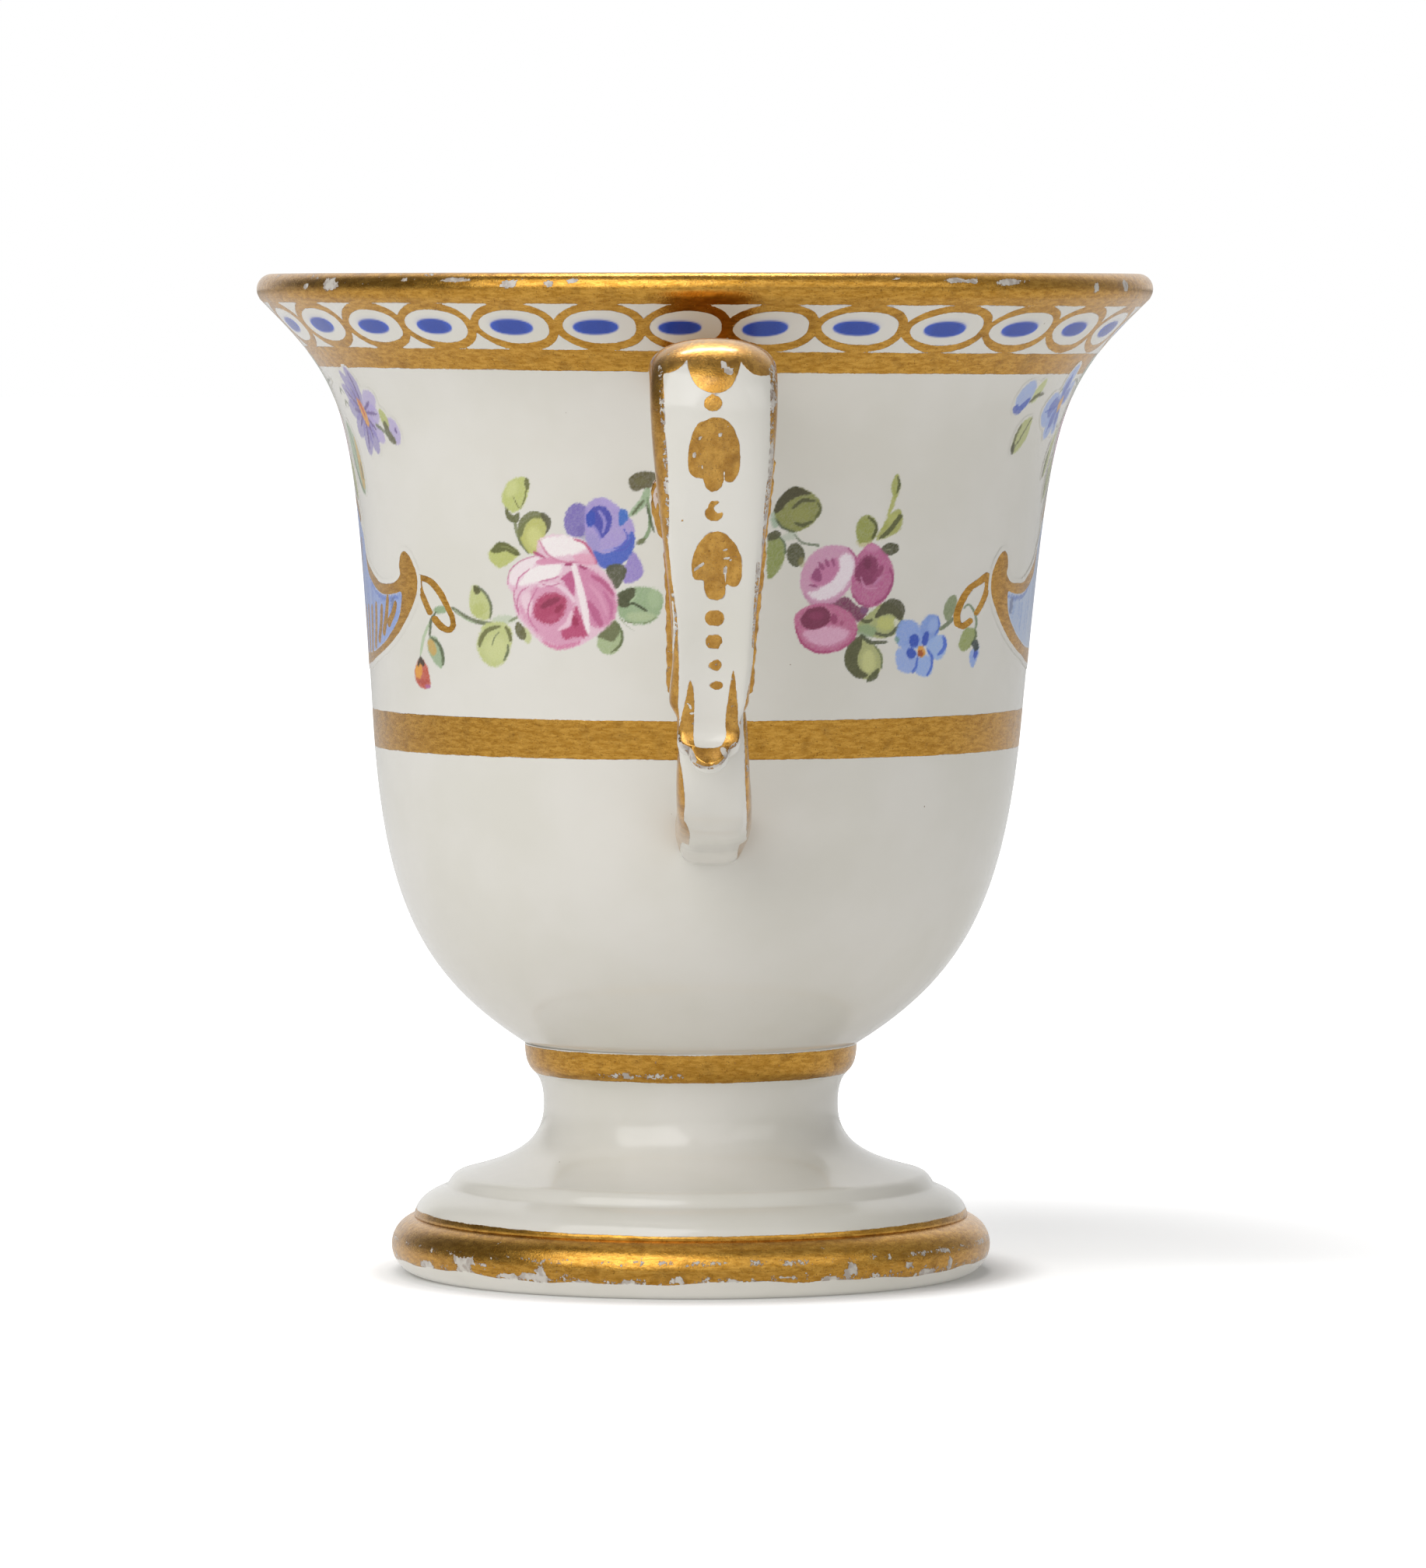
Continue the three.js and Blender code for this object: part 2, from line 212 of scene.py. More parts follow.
def corner_places(mesh: Mesh) -> Array:
    """Returns the corners of a mesh as rows of x, y, z.

    Args:
        mesh: Mesh to read.

    Returns:
        One row for each corner.
    """
    flat = np.empty(len(mesh.vertices) * 3, dtype=np.float32)
    mesh.vertices.foreach_get("co", flat)
    return flat.reshape(-1, 3).astype(float)


def set_places(mesh: Mesh, places: Array) -> None:
    """Sets the corners of a mesh to places in millimetres."""
    mesh.vertices.foreach_set("co", (places * MM).astype(np.float32).ravel())


def shift_across(mesh: Mesh, places: Array, shift: Array | float) -> None:
    """Sets the corners of a mesh to places in millimetres, moved to the right by a shift."""
    aside = [np.broadcast_to(shift, len(places)), *np.zeros((2, len(places)))]
    set_places(mesh, places + np.stack(aside, axis=1))


def set_number(mesh: Mesh, name: str, values: Array) -> None:
    """Stores one number for each corner under a name that materials can read."""
    layer = mesh.attributes.new(name, "FLOAT", "POINT")
    layer.data.foreach_set("value", values.astype(np.float32))


def set_colour(mesh: Mesh, name: str, values: Array) -> None:
    """Stores a colour with its cover for each corner."""
    layer = mesh.attributes.new(name, "FLOAT_COLOR", "POINT")
    layer.data.foreach_set("color", values.astype(np.float32).ravel())


def grid_mesh(columns: int, rows: int) -> tuple[Mesh, Array, Array]:
    """Makes a flat grid.

    Args:
        columns: Number of squares across.
        rows: Number of squares along.

    Returns:
        The mesh, and for each corner its share of the way across and of the way along.
    """
    sheet = bmesh.new()
    bmesh.ops.create_grid(sheet, x_segments=columns, y_segments=rows, size=1.0)
    mesh = bpy.data.meshes.new("grid")
    sheet.to_mesh(mesh)
    sheet.free()
    places = corner_places(mesh)
    return mesh, (places[:, 0] + 1) / 2, (places[:, 1] + 1) / 2


def turned(outline: Array, centre: float, segments: int) -> Mesh:
    """Turns an outline about the cup's axis.

    Args:
        outline: Radius and height of each point, in millimetres, from axis to axis.
        centre: Place of the axis along Y, in millimetres.
        segments: Number of steps in the full turn.

    Returns:
        A closed mesh in metres.
    """
    body = bmesh.new()
    corners = [body.verts.new((radius * MM, 0.0, height * MM)) for radius, height in outline]
    edges = [body.edges.new(pair) for pair in zip(corners, corners[1:])]
    bmesh.ops.spin(
        body,
        geom=corners + edges,
        cent=(0, 0, 0),
        axis=(0, 0, 1),
        angle=2 * math.pi,
        steps=segments,
        use_merge=True,
    )
    bmesh.ops.remove_doubles(body, verts=body.verts, dist=1e-7)
    bmesh.ops.recalc_face_normals(body, faces=body.faces)
    bmesh.ops.translate(body, verts=body.verts, vec=(0, centre * MM, 0))
    mesh = bpy.data.meshes.new("turned")
    body.to_mesh(mesh)
    body.free()
    return mesh


# Viewing point


@dataclass(frozen=True)
class FrontView:
    """The camera's place before the cup, and how points of the cup fall into its picture."""

    distance: float = 617.0
    eye_height: float = 63.8
    turn: float = -1.4
    aim_right: float = 1.05
    pitch: float = 2.924
    focal_pixels: float = 12000.0
    picture_width: int = 1833
    picture_height: int = 2016
    sensor: float = 36.0

    def eye(self, centre: float) -> Array:
        """Returns the camera's place in millimetres, for an axis at that place along Y.

        Args:
            centre: Place of the cup's axis along Y, in millimetres.

        Returns:
            The camera's x, y and z.
        """
        angle = math.radians(self.turn)
        return np.array(
            [self.distance * math.sin(angle), centre - self.distance * math.cos(angle), self.eye_height]
        )

    def basis(self) -> tuple[Array, Array, Array]:
        """Returns the camera's right, up and forward directions.

        Returns:
            The three unit vectors.
        """
        yaw = math.radians(self.turn) - math.atan(self.aim_right / self.distance)
        pitch = math.radians(self.pitch)
        forward = np.array(
            [-math.sin(yaw) * math.cos(pitch), math.cos(yaw) * math.cos(pitch), -math.sin(pitch)]
        )
        right = np.array([math.cos(yaw), math.sin(yaw), 0.0])
        return right, np.cross(right, forward), forward

    def project(self, places: Array, centre: float) -> tuple[Array, Array]:
        """Finds where points fall in the picture.

        Args:
            places: Rows of x, y, z in millimetres.
            centre: Place of the cup's axis along Y, in millimetres.

        Returns:
            Columns and rows of the picture, in pixels.
        """
        right, up, forward = self.basis()
        seen = places - self.eye(centre)
        depth = seen @ forward
        column = self.picture_width / 2 + self.focal_pixels * (seen @ right) / depth
        row = self.picture_height / 2 - self.focal_pixels * (seen @ up) / depth
        return column, row

    def make_camera(self, centre: float) -> None:
        """Makes the scene's camera at the viewing point.

        Args:
            centre: Place of the cup's axis along Y, in millimetres.
        """
        right, up, forward = self.basis()
        data = bpy.data.cameras.new("front_camera")
        data.sensor_width = self.sensor
        data.lens = self.focal_pixels * self.sensor / self.picture_height
        data.clip_start = 0.01
        data.clip_end = 50.0
        camera = bpy.data.objects.new("front_camera", data)
        columns = np.stack([right, up, -forward], axis=1)
        place = Matrix([list(row) for row in columns]).to_4x4()
        place.translation = Vector(self.eye(centre) * MM)
        camera.matrix_world = place
        bpy.context.collection.objects.link(camera)
        bpy.context.scene.camera = camera


# Materials


class Nodes:
    """Adds and joins the nodes of one material or world."""

    def __init__(self, tree: bpy.types.NodeTree) -> None:
        """Starts with an empty tree."""
        self.tree = tree
        tree.nodes.clear()

    def add(self, kind: str, **settings: object) -> bpy.types.Node:
        """Adds a node and sets its properties.

        Args:
            kind: Blender's name for the kind of node.
            settings: Its properties by name.

        Returns:
            The new node.
        """
        node = self.tree.nodes.new(kind)
        for name, value in settings.items():
            setattr(node, name, value)
        return node

    def feed(self, socket: Socket, value: object) -> None:
        """Links a socket to another, or sets its value.

        Args:
            socket: Socket that takes the value.
            value: Another socket, a number or a colour.
        """
        if isinstance(value, Socket):
            self.tree.links.new(value, socket)
        elif isinstance(value, tuple) and len(value) == 3 and socket.type == "RGBA":
            socket.default_value = (*value, 1.0)
        else:
            socket.default_value = value

    def attribute(self, name: str) -> Socket:
        """Reads the number that a mesh stores for each corner under a name."""
        return self.add("ShaderNodeAttribute", attribute_name=name).outputs["Fac"]

    def math(self, operation: str, *values: object) -> Socket:
        """Works out a number from one or more numbers.

        Args:
            operation: Blender's name for the sum.
            values: Numbers or sockets.

        Returns:
            The socket of the result.
        """
        node = self.add("ShaderNodeMath", operation=operation)
        for socket, value in zip(node.inputs, values):
            self.feed(socket, value)
        return node.outputs[0]

    def rise(self, value: object, low: float, high: float) -> Socket:
        """Rises smoothly from 0 at low to 1 at high.

        Args:
            value: Number or socket that rises.
            low: Where the rise starts.
            high: Where the rise ends.

        Returns:
            The socket of the result.
        """
        node = self.add("ShaderNodeMapRange", interpolation_type="SMOOTHSTEP")
        self.feed(node.inputs["Value"], value)
        self.feed(node.inputs["From Min"], low)
        self.feed(node.inputs["From Max"], high)
        return node.outputs["Result"]

    def blend(self, share: object, first: object, second: object) -> Socket:
        """Mixes two colours.

        Args:
            share: Share of the second one.
            first: What a share of 0 gives.
            second: What a share of 1 gives.

        Returns:
            The socket of the mixed colour.
        """
        node = self.add("ShaderNodeMix", data_type="RGBA", clamp_factor=True)
        self.feed(node.inputs[0], share)
        self.feed(node.inputs[6], first)
        self.feed(node.inputs[7], second)
        return node.outputs[2]

    def between(self, share: object, first: object, second: object) -> Socket:
        """Mixes two numbers.

        Args:
            share: Share of the second one.
            first: What a share of 0 gives.
            second: What a share of 1 gives.

        Returns:
            The socket of the mixed number.
        """
        node = self.add("ShaderNodeMix", data_type="FLOAT", clamp_factor=True)
        self.feed(node.inputs[0], share)
        self.feed(node.inputs[2], first)
        self.feed(node.inputs[3], second)
        return node.outputs[0]

    def noise(self, place: Socket, scale: float, detail: float = 2.0, roughness: float = 0.5) -> Socket:
        """Adds noise around 0.5, with its scale in features to a millimetre.

        Args:
            place: Coordinates in millimetres.
            scale: Features to a millimetre.
            detail: Number of finer layers.
            roughness: How strong the finer layers are.

        Returns:
            The socket of the noise.
        """
        node = self.add("ShaderNodeTexNoise")
        self.feed(node.inputs["Vector"], place)
        self.feed(node.inputs["Scale"], scale)
        self.feed(node.inputs["Detail"], detail)
        self.feed(node.inputs["Roughness"], roughness)
        return node.outputs["Fac"]

    def millimetres(self, stretch: Colour = (1.0, 1.0, 1.0)) -> Socket:
        """Returns the object's own coordinates in millimetres, stretched along the axes.

        Args:
            stretch: Factor along each axis.

        Returns:
            The socket of the coordinates.
        """
        place = self.add("ShaderNodeTexCoord")
        mapping = self.add("ShaderNodeMapping")
        self.feed(mapping.inputs["Vector"], place.outputs["Object"])
        self.feed(mapping.inputs["Scale"], tuple(1000.0 * share for share in stretch))
        return mapping.outputs["Vector"]


def linear(red: float, green: float, blue: float) -> Colour:
    """Turns a colour from display values of 0 to 255 into the linear values of a shader.

    Args:
        red: Display value of red.
        green: Display value of green.
        blue: Display value of blue.

    Returns:
        The three linear values.
    """
    values = []
    for value in (red, green, blue):
        share = value / 255.0
        values.append(share / 12.92 if share <= 0.04045 else ((share + 0.055) / 1.055) ** 2.4)
    return tuple(values)


@dataclass(frozen=True)
class PaintedGlaze:
    """Clear glaze over warm white porcelain, with fired gilding and enamel on it.

    The gilding follows the attribute "gilt", the distance in millimetres inside its edge, and
    "wear", 0 where it is whole and 1 where it is gone. The enamel follows the attribute "enamel".
    """

    name: str
    porcelain: Colour = linear(220, 217, 209)
    shaded: Colour = linear(215, 212, 202)
    gold_light: Colour = linear(208, 158, 70)
    gold_dark: Colour = linear(172, 122, 40)
    gold_speck: Colour = linear(92, 56, 20)
    thin_gold: Colour = linear(126, 104, 92)
    glaze_roughness: float = 0.14
    gold_roughness: float = 0.24
    gold_sheen: float = 0.1
    sheen_roughness: float = 0.13
    gold_metal: float = 0.95
    enamel_roughness: float = 0.22
    flake_edge: float = 0.7
    thin_edge: float = 0.672
    speck: Colour = linear(120, 96, 70)
    speck_size: float = 0.022
    speck_share: float = 0.3
    streak_scale: float = 1.0
    enamelled: bool = True

    def material(self) -> Material:
        """Builds the material.

        Returns:
            The material.
        """
        material = bpy.data.materials.new(self.name)
        material.use_nodes = True
        nodes = Nodes(material.node_tree)
        place = nodes.millimetres()
        flaking = self.flaking(nodes, place)
        gold = self.gilding_mask(nodes, place, flaking)
        colour = self.glaze_colour(nodes, place)
        cover = 0.0
        if self.enamelled:
            enamel = nodes.add("ShaderNodeAttribute", attribute_name="enamel")
            cover = nodes.math("MULTIPLY", enamel.outputs["Alpha"], nodes.math("SUBTRACT", 1.0, gold))
            colour = nodes.blend(cover, colour, self.enamel_colour(nodes, place, enamel.outputs["Color"]))
        thin = nodes.math("MULTIPLY", nodes.rise(flaking, self.thin_edge, self.flake_edge), 0.8)
        gilding = nodes.blend(thin, self.gold_colour(nodes, place), self.thin_gold)
        colour = nodes.blend(gold, colour, gilding)
        shader = nodes.add("ShaderNodeBsdfPrincipled")
        nodes.feed(shader.inputs["Base Color"], colour)
        nodes.feed(shader.inputs["Metallic"], nodes.math("MULTIPLY", gold, self.gold_metal))
        nodes.feed(shader.inputs["Roughness"], self.roughness(nodes, place, gold, cover))
        nodes.feed(shader.inputs["Normal"], self.relief(nodes, place, gold, cover))
        nodes.feed(shader.inputs["Coat Weight"], nodes.math("MULTIPLY", gold, self.gold_sheen))
        nodes.feed(shader.inputs["Coat Roughness"], self.sheen_roughness)
        output = nodes.add("ShaderNodeOutputMaterial")
        nodes.feed(output.inputs["Surface"], shader.outputs["BSDF"])
        return material

    def flaking(self, nodes: Nodes, place: Socket) -> Socket:
        """Returns how far the gilding has flaked: gone above 0.7 and thin just below it.

        Args:
            nodes: Nodes of the material.
            place: Coordinates in millimetres.

        Returns:
            The socket of the flaking.
        """
        wear = nodes.attribute("wear")
        coarse = nodes.noise(place, 1.1, 5.0, 0.62)
        fine = nodes.noise(place, 5.5, 4.0, 0.6)
        flake = nodes.math("MULTIPLY_ADD", fine, 0.4, nodes.math("MULTIPLY", coarse, 0.6))
        return nodes.math("MULTIPLY_ADD", wear, 0.34, flake)

    def gilding_mask(self, nodes: Nodes, place: Socket, flaking: Socket) -> Socket:
        """Returns 1 on whole gilding and 0 beside it, with a hand-drawn edge and worn flakes.

        Args:
            nodes: Nodes of the material.
            place: Coordinates in millimetres.
            flaking: How far the gilding has flaked.

        Returns:
            The socket of the mask.
        """
        depth = nodes.attribute("gilt")
        wander = nodes.math("MULTIPLY_ADD", nodes.noise(place, 0.55, 2.0), 0.14, -0.07)
        ragged = nodes.math("MULTIPLY_ADD", nodes.noise(place, 6.0, 3.0), 0.08, -0.04)
        depth = nodes.math("ADD", depth, nodes.math("ADD", wander, ragged))
        gone = nodes.rise(flaking, self.flake_edge, 0.715)
        return nodes.math("MULTIPLY", nodes.rise(depth, -0.012, 0.012), nodes.math("SUBTRACT", 1.0, gone))

    def glaze_colour(self, nodes: Nodes, place: Socket) -> Socket:
        """Returns the porcelain's colour: slow cloudiness, pin specks and a thin line at gilding.

        Args:
            nodes: Nodes of the material.
            place: Coordinates in millimetres.

        Returns:
            The socket of the colour.
        """
        cloud = nodes.rise(nodes.noise(place, 0.12, 3.0), 0.3, 0.7)
        colour = nodes.blend(cloud, self.porcelain, self.shaded)
        cells = nodes.add("ShaderNodeTexVoronoi", feature="F1")
        nodes.feed(cells.inputs["Vector"], place)
        nodes.feed(cells.inputs["Scale"], 0.42)
        chosen = nodes.add("ShaderNodeSeparateColor")
        nodes.feed(chosen.inputs["Color"], cells.outputs["Color"])
        small = nodes.math("LESS_THAN", cells.outputs["Distance"], self.speck_size)
        speck = nodes.math("MULTIPLY", small, nodes.math("LESS_THAN", chosen.outputs[0], self.speck_share))
        colour = nodes.blend(nodes.math("MULTIPLY", speck, 0.75), colour, self.speck)
        depth = nodes.attribute("gilt")
        patchy = nodes.rise(nodes.noise(place, 2.0, 3.0), 0.42, 0.62)
        near = nodes.rise(depth, -0.06, 0.02)
        under = nodes.rise(depth, 0.0, 0.08)
        worn = nodes.math("MULTIPLY_ADD", patchy, 0.34, 0.26)
        share = nodes.between(under, nodes.math("MULTIPLY", patchy, 0.75), worn)
        return nodes.blend(nodes.math("MULTIPLY", near, share), colour, self.thin_gold)

    def enamel_colour(self, nodes: Nodes, place: Socket, painted: Socket) -> Socket:
        """Returns the enamel's colour with the grain of its ground pigment.

        Args:
            nodes: Nodes of the material.
            place: Coordinates in millimetres.
            painted: The enamel's own colour.

        Returns:
            The socket of the colour.
        """
        grain = nodes.rise(nodes.noise(place, 16.0, 2.0), 0.35, 0.7)
        darker = nodes.blend(1.0, painted, painted)
        darker.node.blend_type = "MULTIPLY"
        return nodes.blend(nodes.math("MULTIPLY", grain, 0.22), painted, darker)

    def gold_colour(self, nodes: Nodes, place: Socket) -> Socket:
        """Returns the gilding's colour: brushed streaks, mottling and dark pits.

        Args:
            nodes: Nodes of the material.
            place: Coordinates in millimetres.

        Returns:
            The socket of the colour.
        """
        brushed = nodes.millimetres((1.0, 1.0, 4.0 * self.streak_scale))
        streak = nodes.rise(nodes.noise(brushed, 1.3, 6.0, 0.7), 0.34, 0.66)
        colour = nodes.blend(streak, self.gold_dark, self.gold_light)
        tarnish = nodes.rise(nodes.noise(place, 0.7, 4.0, 0.6), 0.5, 0.72)
        colour = nodes.blend(nodes.math("MULTIPLY", tarnish, 0.3), colour, self.gold_speck)
        pit = nodes.rise(nodes.noise(place, 8.0, 3.0, 0.6), 0.58, 0.7)
        return nodes.blend(nodes.math("MULTIPLY", pit, 0.62), colour, self.gold_speck)

    def roughness(self, nodes: Nodes, place: Socket, gold: Socket, cover: Socket | float) -> Socket:
        """Returns the roughness: smooth glaze, slightly duller enamel, brushed gilding.

        Args:
            nodes: Nodes of the material.
            place: Coordinates in millimetres.
            gold: Where there is gilding.
            cover: How far enamel covers the glaze.

        Returns:
            The socket of the roughness.
        """
        worn = nodes.math("MULTIPLY_ADD", nodes.noise(place, 2.5, 3.0), 0.24, self.gold_roughness - 0.12)
        glaze = nodes.math("MULTIPLY_ADD", nodes.noise(place, 0.6, 2.0), 0.06, self.glaze_roughness - 0.03)
        return nodes.between(gold, nodes.between(cover, glaze, self.enamel_roughness), worn)

    def relief(self, nodes: Nodes, place: Socket, gold: Socket, cover: Socket | float) -> Socket:
        """Returns the surface's fine relief, with heights in millimetres.

        Args:
            nodes: Nodes of the material.
            place: Coordinates in millimetres.
            gold: Where there is gilding.
            cover: How far enamel covers the glaze.

        Returns:
            The socket of the bent normal.
        """
        waves = nodes.math("MULTIPLY", nodes.noise(place, 0.35, 2.0), 0.02)
        grain = nodes.math("MULTIPLY", nodes.noise(place, 7.0, 4.0, 0.65), 0.02)
        height = nodes.math("MULTIPLY_ADD", gold, nodes.math("ADD", grain, 0.012), waves)
        height = nodes.math("MULTIPLY_ADD", cover, 0.006, height)
        bump = nodes.add("ShaderNodeBump")
        nodes.feed(bump.inputs["Strength"], 0.8)
        nodes.feed(bump.inputs["Distance"], MM)
        nodes.feed(bump.inputs["Height"], height)
        return bump.outputs["Normal"]


# Painting


@dataclass(frozen=True)
class Palette:
    """The enamel colours, as display values."""

    olive: Colour = (178, 184, 104)
    olive_pale: Colour = (192, 198, 132)
    olive_dark: Colour = (88, 88, 44)
    moss: Colour = (140, 143, 72)
    sea_green: Colour = (146, 170, 130)
    sea_pale: Colour = (178, 194, 160)
    sea_dark: Colour = (86, 98, 62)
    stem: Colour = (104, 112, 78)
    shadow_leaf: Colour = (76, 76, 46)
    pink_pale: Colour = (224, 188, 204)
    pink: Colour = (209, 142, 172)
    rose: Colour = (187, 96, 136)
    crimson: Colour = (170, 54, 90)
    violet: Colour = (126, 112, 180)
    violet_pale: Colour = (168, 152, 206)
    violet_dark: Colour = (98, 74, 134)
    blue: Colour = (72, 96, 184)
    blue_deep: Colour = (48, 82, 184)
    blue_pale: Colour = (146, 170, 222)
    cobalt: Colour = (38, 72, 170)
    ochre: Colour = (222, 158, 56)
    rust: Colour = (190, 78, 52)
    panel: Colour = (118, 146, 208)
    panel_deep: Colour = (84, 110, 184)
    panel_pale: Colour = (168, 188, 222)


INK = Palette()


def chip_wear(across: Array, up: Array) -> Array:
    """Returns the wear round a chip's middle, from places given in half widths and half heights."""
    return CHIPPED * smooth_step(1 - np.hypot(across, up) / 1.7, 0.0, 0.85)


@dataclass(frozen=True)
class Look:
    """A drawing frame: the pixel of the front view where it starts, and its units to a pixel."""

    corner: Pair
    units: float


class Canvas:
    """Enamel and gilding laid over a set of points, stroke by stroke."""

    def __init__(self, across: Array, up: Array, seed: int) -> None:
        """Starts bare.

        Args:
            across: Each point's first drawing coordinate.
            up: Each point's second drawing coordinate.
            seed: Number that fixes the grain of the brush.
        """
        self.places = np.stack([across, up], axis=1)
        self.colour = np.full((len(across), 3), 220.0)
        self.cover = np.zeros(len(across))
        self.gilt = np.full(len(across), -1.0)
        self.wear = np.zeros(len(across))
        self.grain = np.random.default_rng(seed).random(len(across)) - 0.5
        self.gilt_scale = 1.0
        self.first_places = self.places

    def look(self, look: Look, pixel_size: float) -> None:
        """Sets the frame of the strokes that follow, with its millimetres to a pixel."""
        self.places = (self.first_places - np.array(look.corner)) * look.units
        self.gilt_scale = pixel_size / look.units

    def near(self, line: Array, margin: float) -> Array:
        """Returns the indices of the points in a line's box, grown by a margin.

        Args:
            line: The line's points, one row each.
            margin: How far the box is grown.

        Returns:
            The indices.
        """
        low = line.min(axis=0) - margin
        high = line.max(axis=0) + margin
        inside = np.all((self.places > low) & (self.places < high), axis=1)
        return np.nonzero(inside)[0]

    def depth_in_outline(self, line: Array, chosen: Array) -> Array:
        """Returns how deep the chosen points lie inside a closed line, negative outside.

        Args:
            line: The line's points, one row each.
            chosen: Indices of the points to look at.

        Returns:
            The depths, in drawing units.
        """
        points = self.places[chosen][:, None, :]
        start = line[None, :, :]
        end = np.roll(line, -1, axis=0)[None, :, :]
        edge = end - start
        rest = points - start
        share = np.clip((rest * edge).sum(2) / np.maximum((edge**2).sum(2), 1e-9), 0, 1)
        distance = np.linalg.norm(rest - edge * share[:, :, None], axis=2).min(axis=1)
        rising = (start[:, :, 1] > points[:, :, 1]) != (end[:, :, 1] > points[:, :, 1])
        height = np.where(np.abs(edge[:, :, 1]) < 1e-9, 1e-9, edge[:, :, 1])
        crossing = start[:, :, 0] + (points[:, :, 1] - start[:, :, 1]) * edge[:, :, 0] / height
        inside = np.logical_and(rising, points[:, :, 0] < crossing).sum(axis=1) % 2 == 1
        return np.where(inside, distance, -distance)

    def depth_in_stroke(self, line: Array, radii: Array, chosen: Array) -> Array:
        """Returns how deep the chosen points lie inside a stroke of changing width.

        Args:
            line: The line's points, one row each.
            radii: Half the stroke's width at each point of the line.
            chosen: Indices of the points to look at.

        Returns:
            The depths, in drawing units.
        """
        points = self.places[chosen][:, None, :]
        start = line[None, :-1, :]
        edge = line[None, 1:, :] - start
        rest = points - start
        share = np.clip((rest * edge).sum(2) / np.maximum((edge**2).sum(2), 1e-9), 0, 1)
        distance = np.linalg.norm(rest - edge * share[:, :, None], axis=2)
        width = radii[None, :-1] * (1 - share) + radii[None, 1:] * share
        return (width - distance).max(axis=1)

    def in_outline(self, outline: Points, margin: float, steps: int = 5) -> tuple[Array, Array]:
        """Finds the points about a rounded outline.

        Args:
            outline: Points that the outline passes through.
            margin: How far from its box points are still found.
            steps: Stretches between one given point and the next.

        Returns:
            The indices of the points, and how deep they lie inside.
        """
        line = smooth_line(outline, closed=True, steps=steps)
        chosen = self.near(line, margin)
        return chosen, self.depth_in_outline(line, chosen)

    def in_stroke(
        self, points: Points, radius: float, taper: Pair, margin: float, steps: int = 6
    ) -> tuple[Array, Array]:
        """Finds the points about a brush line.

        Args:
            points: Points that the line passes through.
            radius: Half the line's width at its middle.
            taper: Widths at both ends, as shares of the middle width.
            margin: How far from its box points are still found.
            steps: Stretches between one given point and the next.

        Returns:
            The indices of the points, and how deep they lie inside.
        """
        line = smooth_line(points, steps=steps)
        chosen = self.near(line, margin)
        return chosen, self.depth_in_stroke(line, self.stroke_radii(len(line), radius, taper), chosen)

    def lay(
        self, chosen: Array, depth: Array, colour: Colour, strength: float, soft: float, grain: float
    ) -> None:
        """Lays a colour over the chosen points, fading over the soft edge.

        Args:
            chosen: Indices of the points to paint.
            depth: How deep each lies inside the mark.
            colour: Colour as display values.
            strength: How much the paint covers, up to 1.
            soft: Width of its soft edge.
            grain: How much the brush's grain shows.
        """
        edge = depth / soft + self.grain[chosen] * grain
        mask = smooth_step(edge, -0.6, 0.6) * strength
        mask = mask * (1.0 + 0.22 * self.grain[chosen] * grain)
        mask = np.clip(mask, 0.0, 1.0)
        old = self.cover[chosen]
        cover = mask + old * (1 - mask)
        share = np.where(cover > 1e-6, mask / np.maximum(cover, 1e-6), 0.0)[:, None]
        self.colour[chosen] = self.colour[chosen] * (1 - share) + np.array(colour) * share
        self.cover[chosen] = cover

    def blob(
        self, outline: Points, colour: Colour, strength: float = 0.95, soft: float = 10.0, grain: float = 0.7
    ) -> None:
        """Fills a rounded outline with colour."""
        chosen, depth = self.in_outline(outline, soft * 1.5)
        self.lay(chosen, depth, colour, strength, soft, grain)

    def dab(
        self,
        centre: Pair,
        radii: Pair,
        colour: Colour,
        tilt: float = 0.0,
        strength: float = 0.95,
        soft: float = 10.0,
        grain: float = 0.7,
    ) -> None:
        """Sets down a soft oval of colour, tilted in degrees.

        Args:
            centre: Its middle.
            radii: Its half-widths along and across the tilt.
            colour: Colour as display values.
            tilt: Its turn in degrees.
            strength: How much the paint covers, up to 1.
            soft: Width of its soft edge.
            grain: How much the brush's grain shows.
        """
        ways = (direction(tilt), direction(tilt + 90))
        outline = []
        for index in range(OVAL_POINTS):
            angle = index * math.pi / (OVAL_POINTS / 2)
            along = ways[0] * radii[0] * math.cos(angle)
            spot = np.array(centre) + along + ways[1] * radii[1] * math.sin(angle)
            outline.append((float(spot[0]), float(spot[1])))
        self.blob(outline, colour, strength, soft, grain)

    def stroke(
        self,
        points: Points,
        radius: float,
        colour: Colour,
        taper: Pair = (0.6, 0.35),
        strength: float = 0.92,
        soft: float = 6.0,
        grain: float = 0.7,
    ) -> None:
        """Draws a brush line, with its width at both ends as shares of its middle width."""
        chosen, depth = self.in_stroke(points, radius, taper, radius + soft * 1.5)
        self.lay(chosen, depth, colour, strength, soft, grain)

    def stroke_radii(self, count: int, radius: float, taper: Pair) -> Array:
        """Returns the half-widths along a stroke.

        Args:
            count: Number of points on the line.
            radius: Half the line's width at its middle.
            taper: Widths at both ends, as shares of the middle width.

        Returns:
            Half the width at each point.
        """
        share = np.linspace(0, 1, count)
        swell = np.sin(np.pi * share) ** 0.7
        ends = taper[0] * (1 - share) + taper[1] * share
        return radius * (ends + (1 - ends) * swell)

    def gild(self, chosen: Array, depth: Array) -> None:
        """Adds gilding where the depth, in drawing units, is above zero."""
        self.gilt[chosen] = np.maximum(self.gilt[chosen], depth * self.gilt_scale)

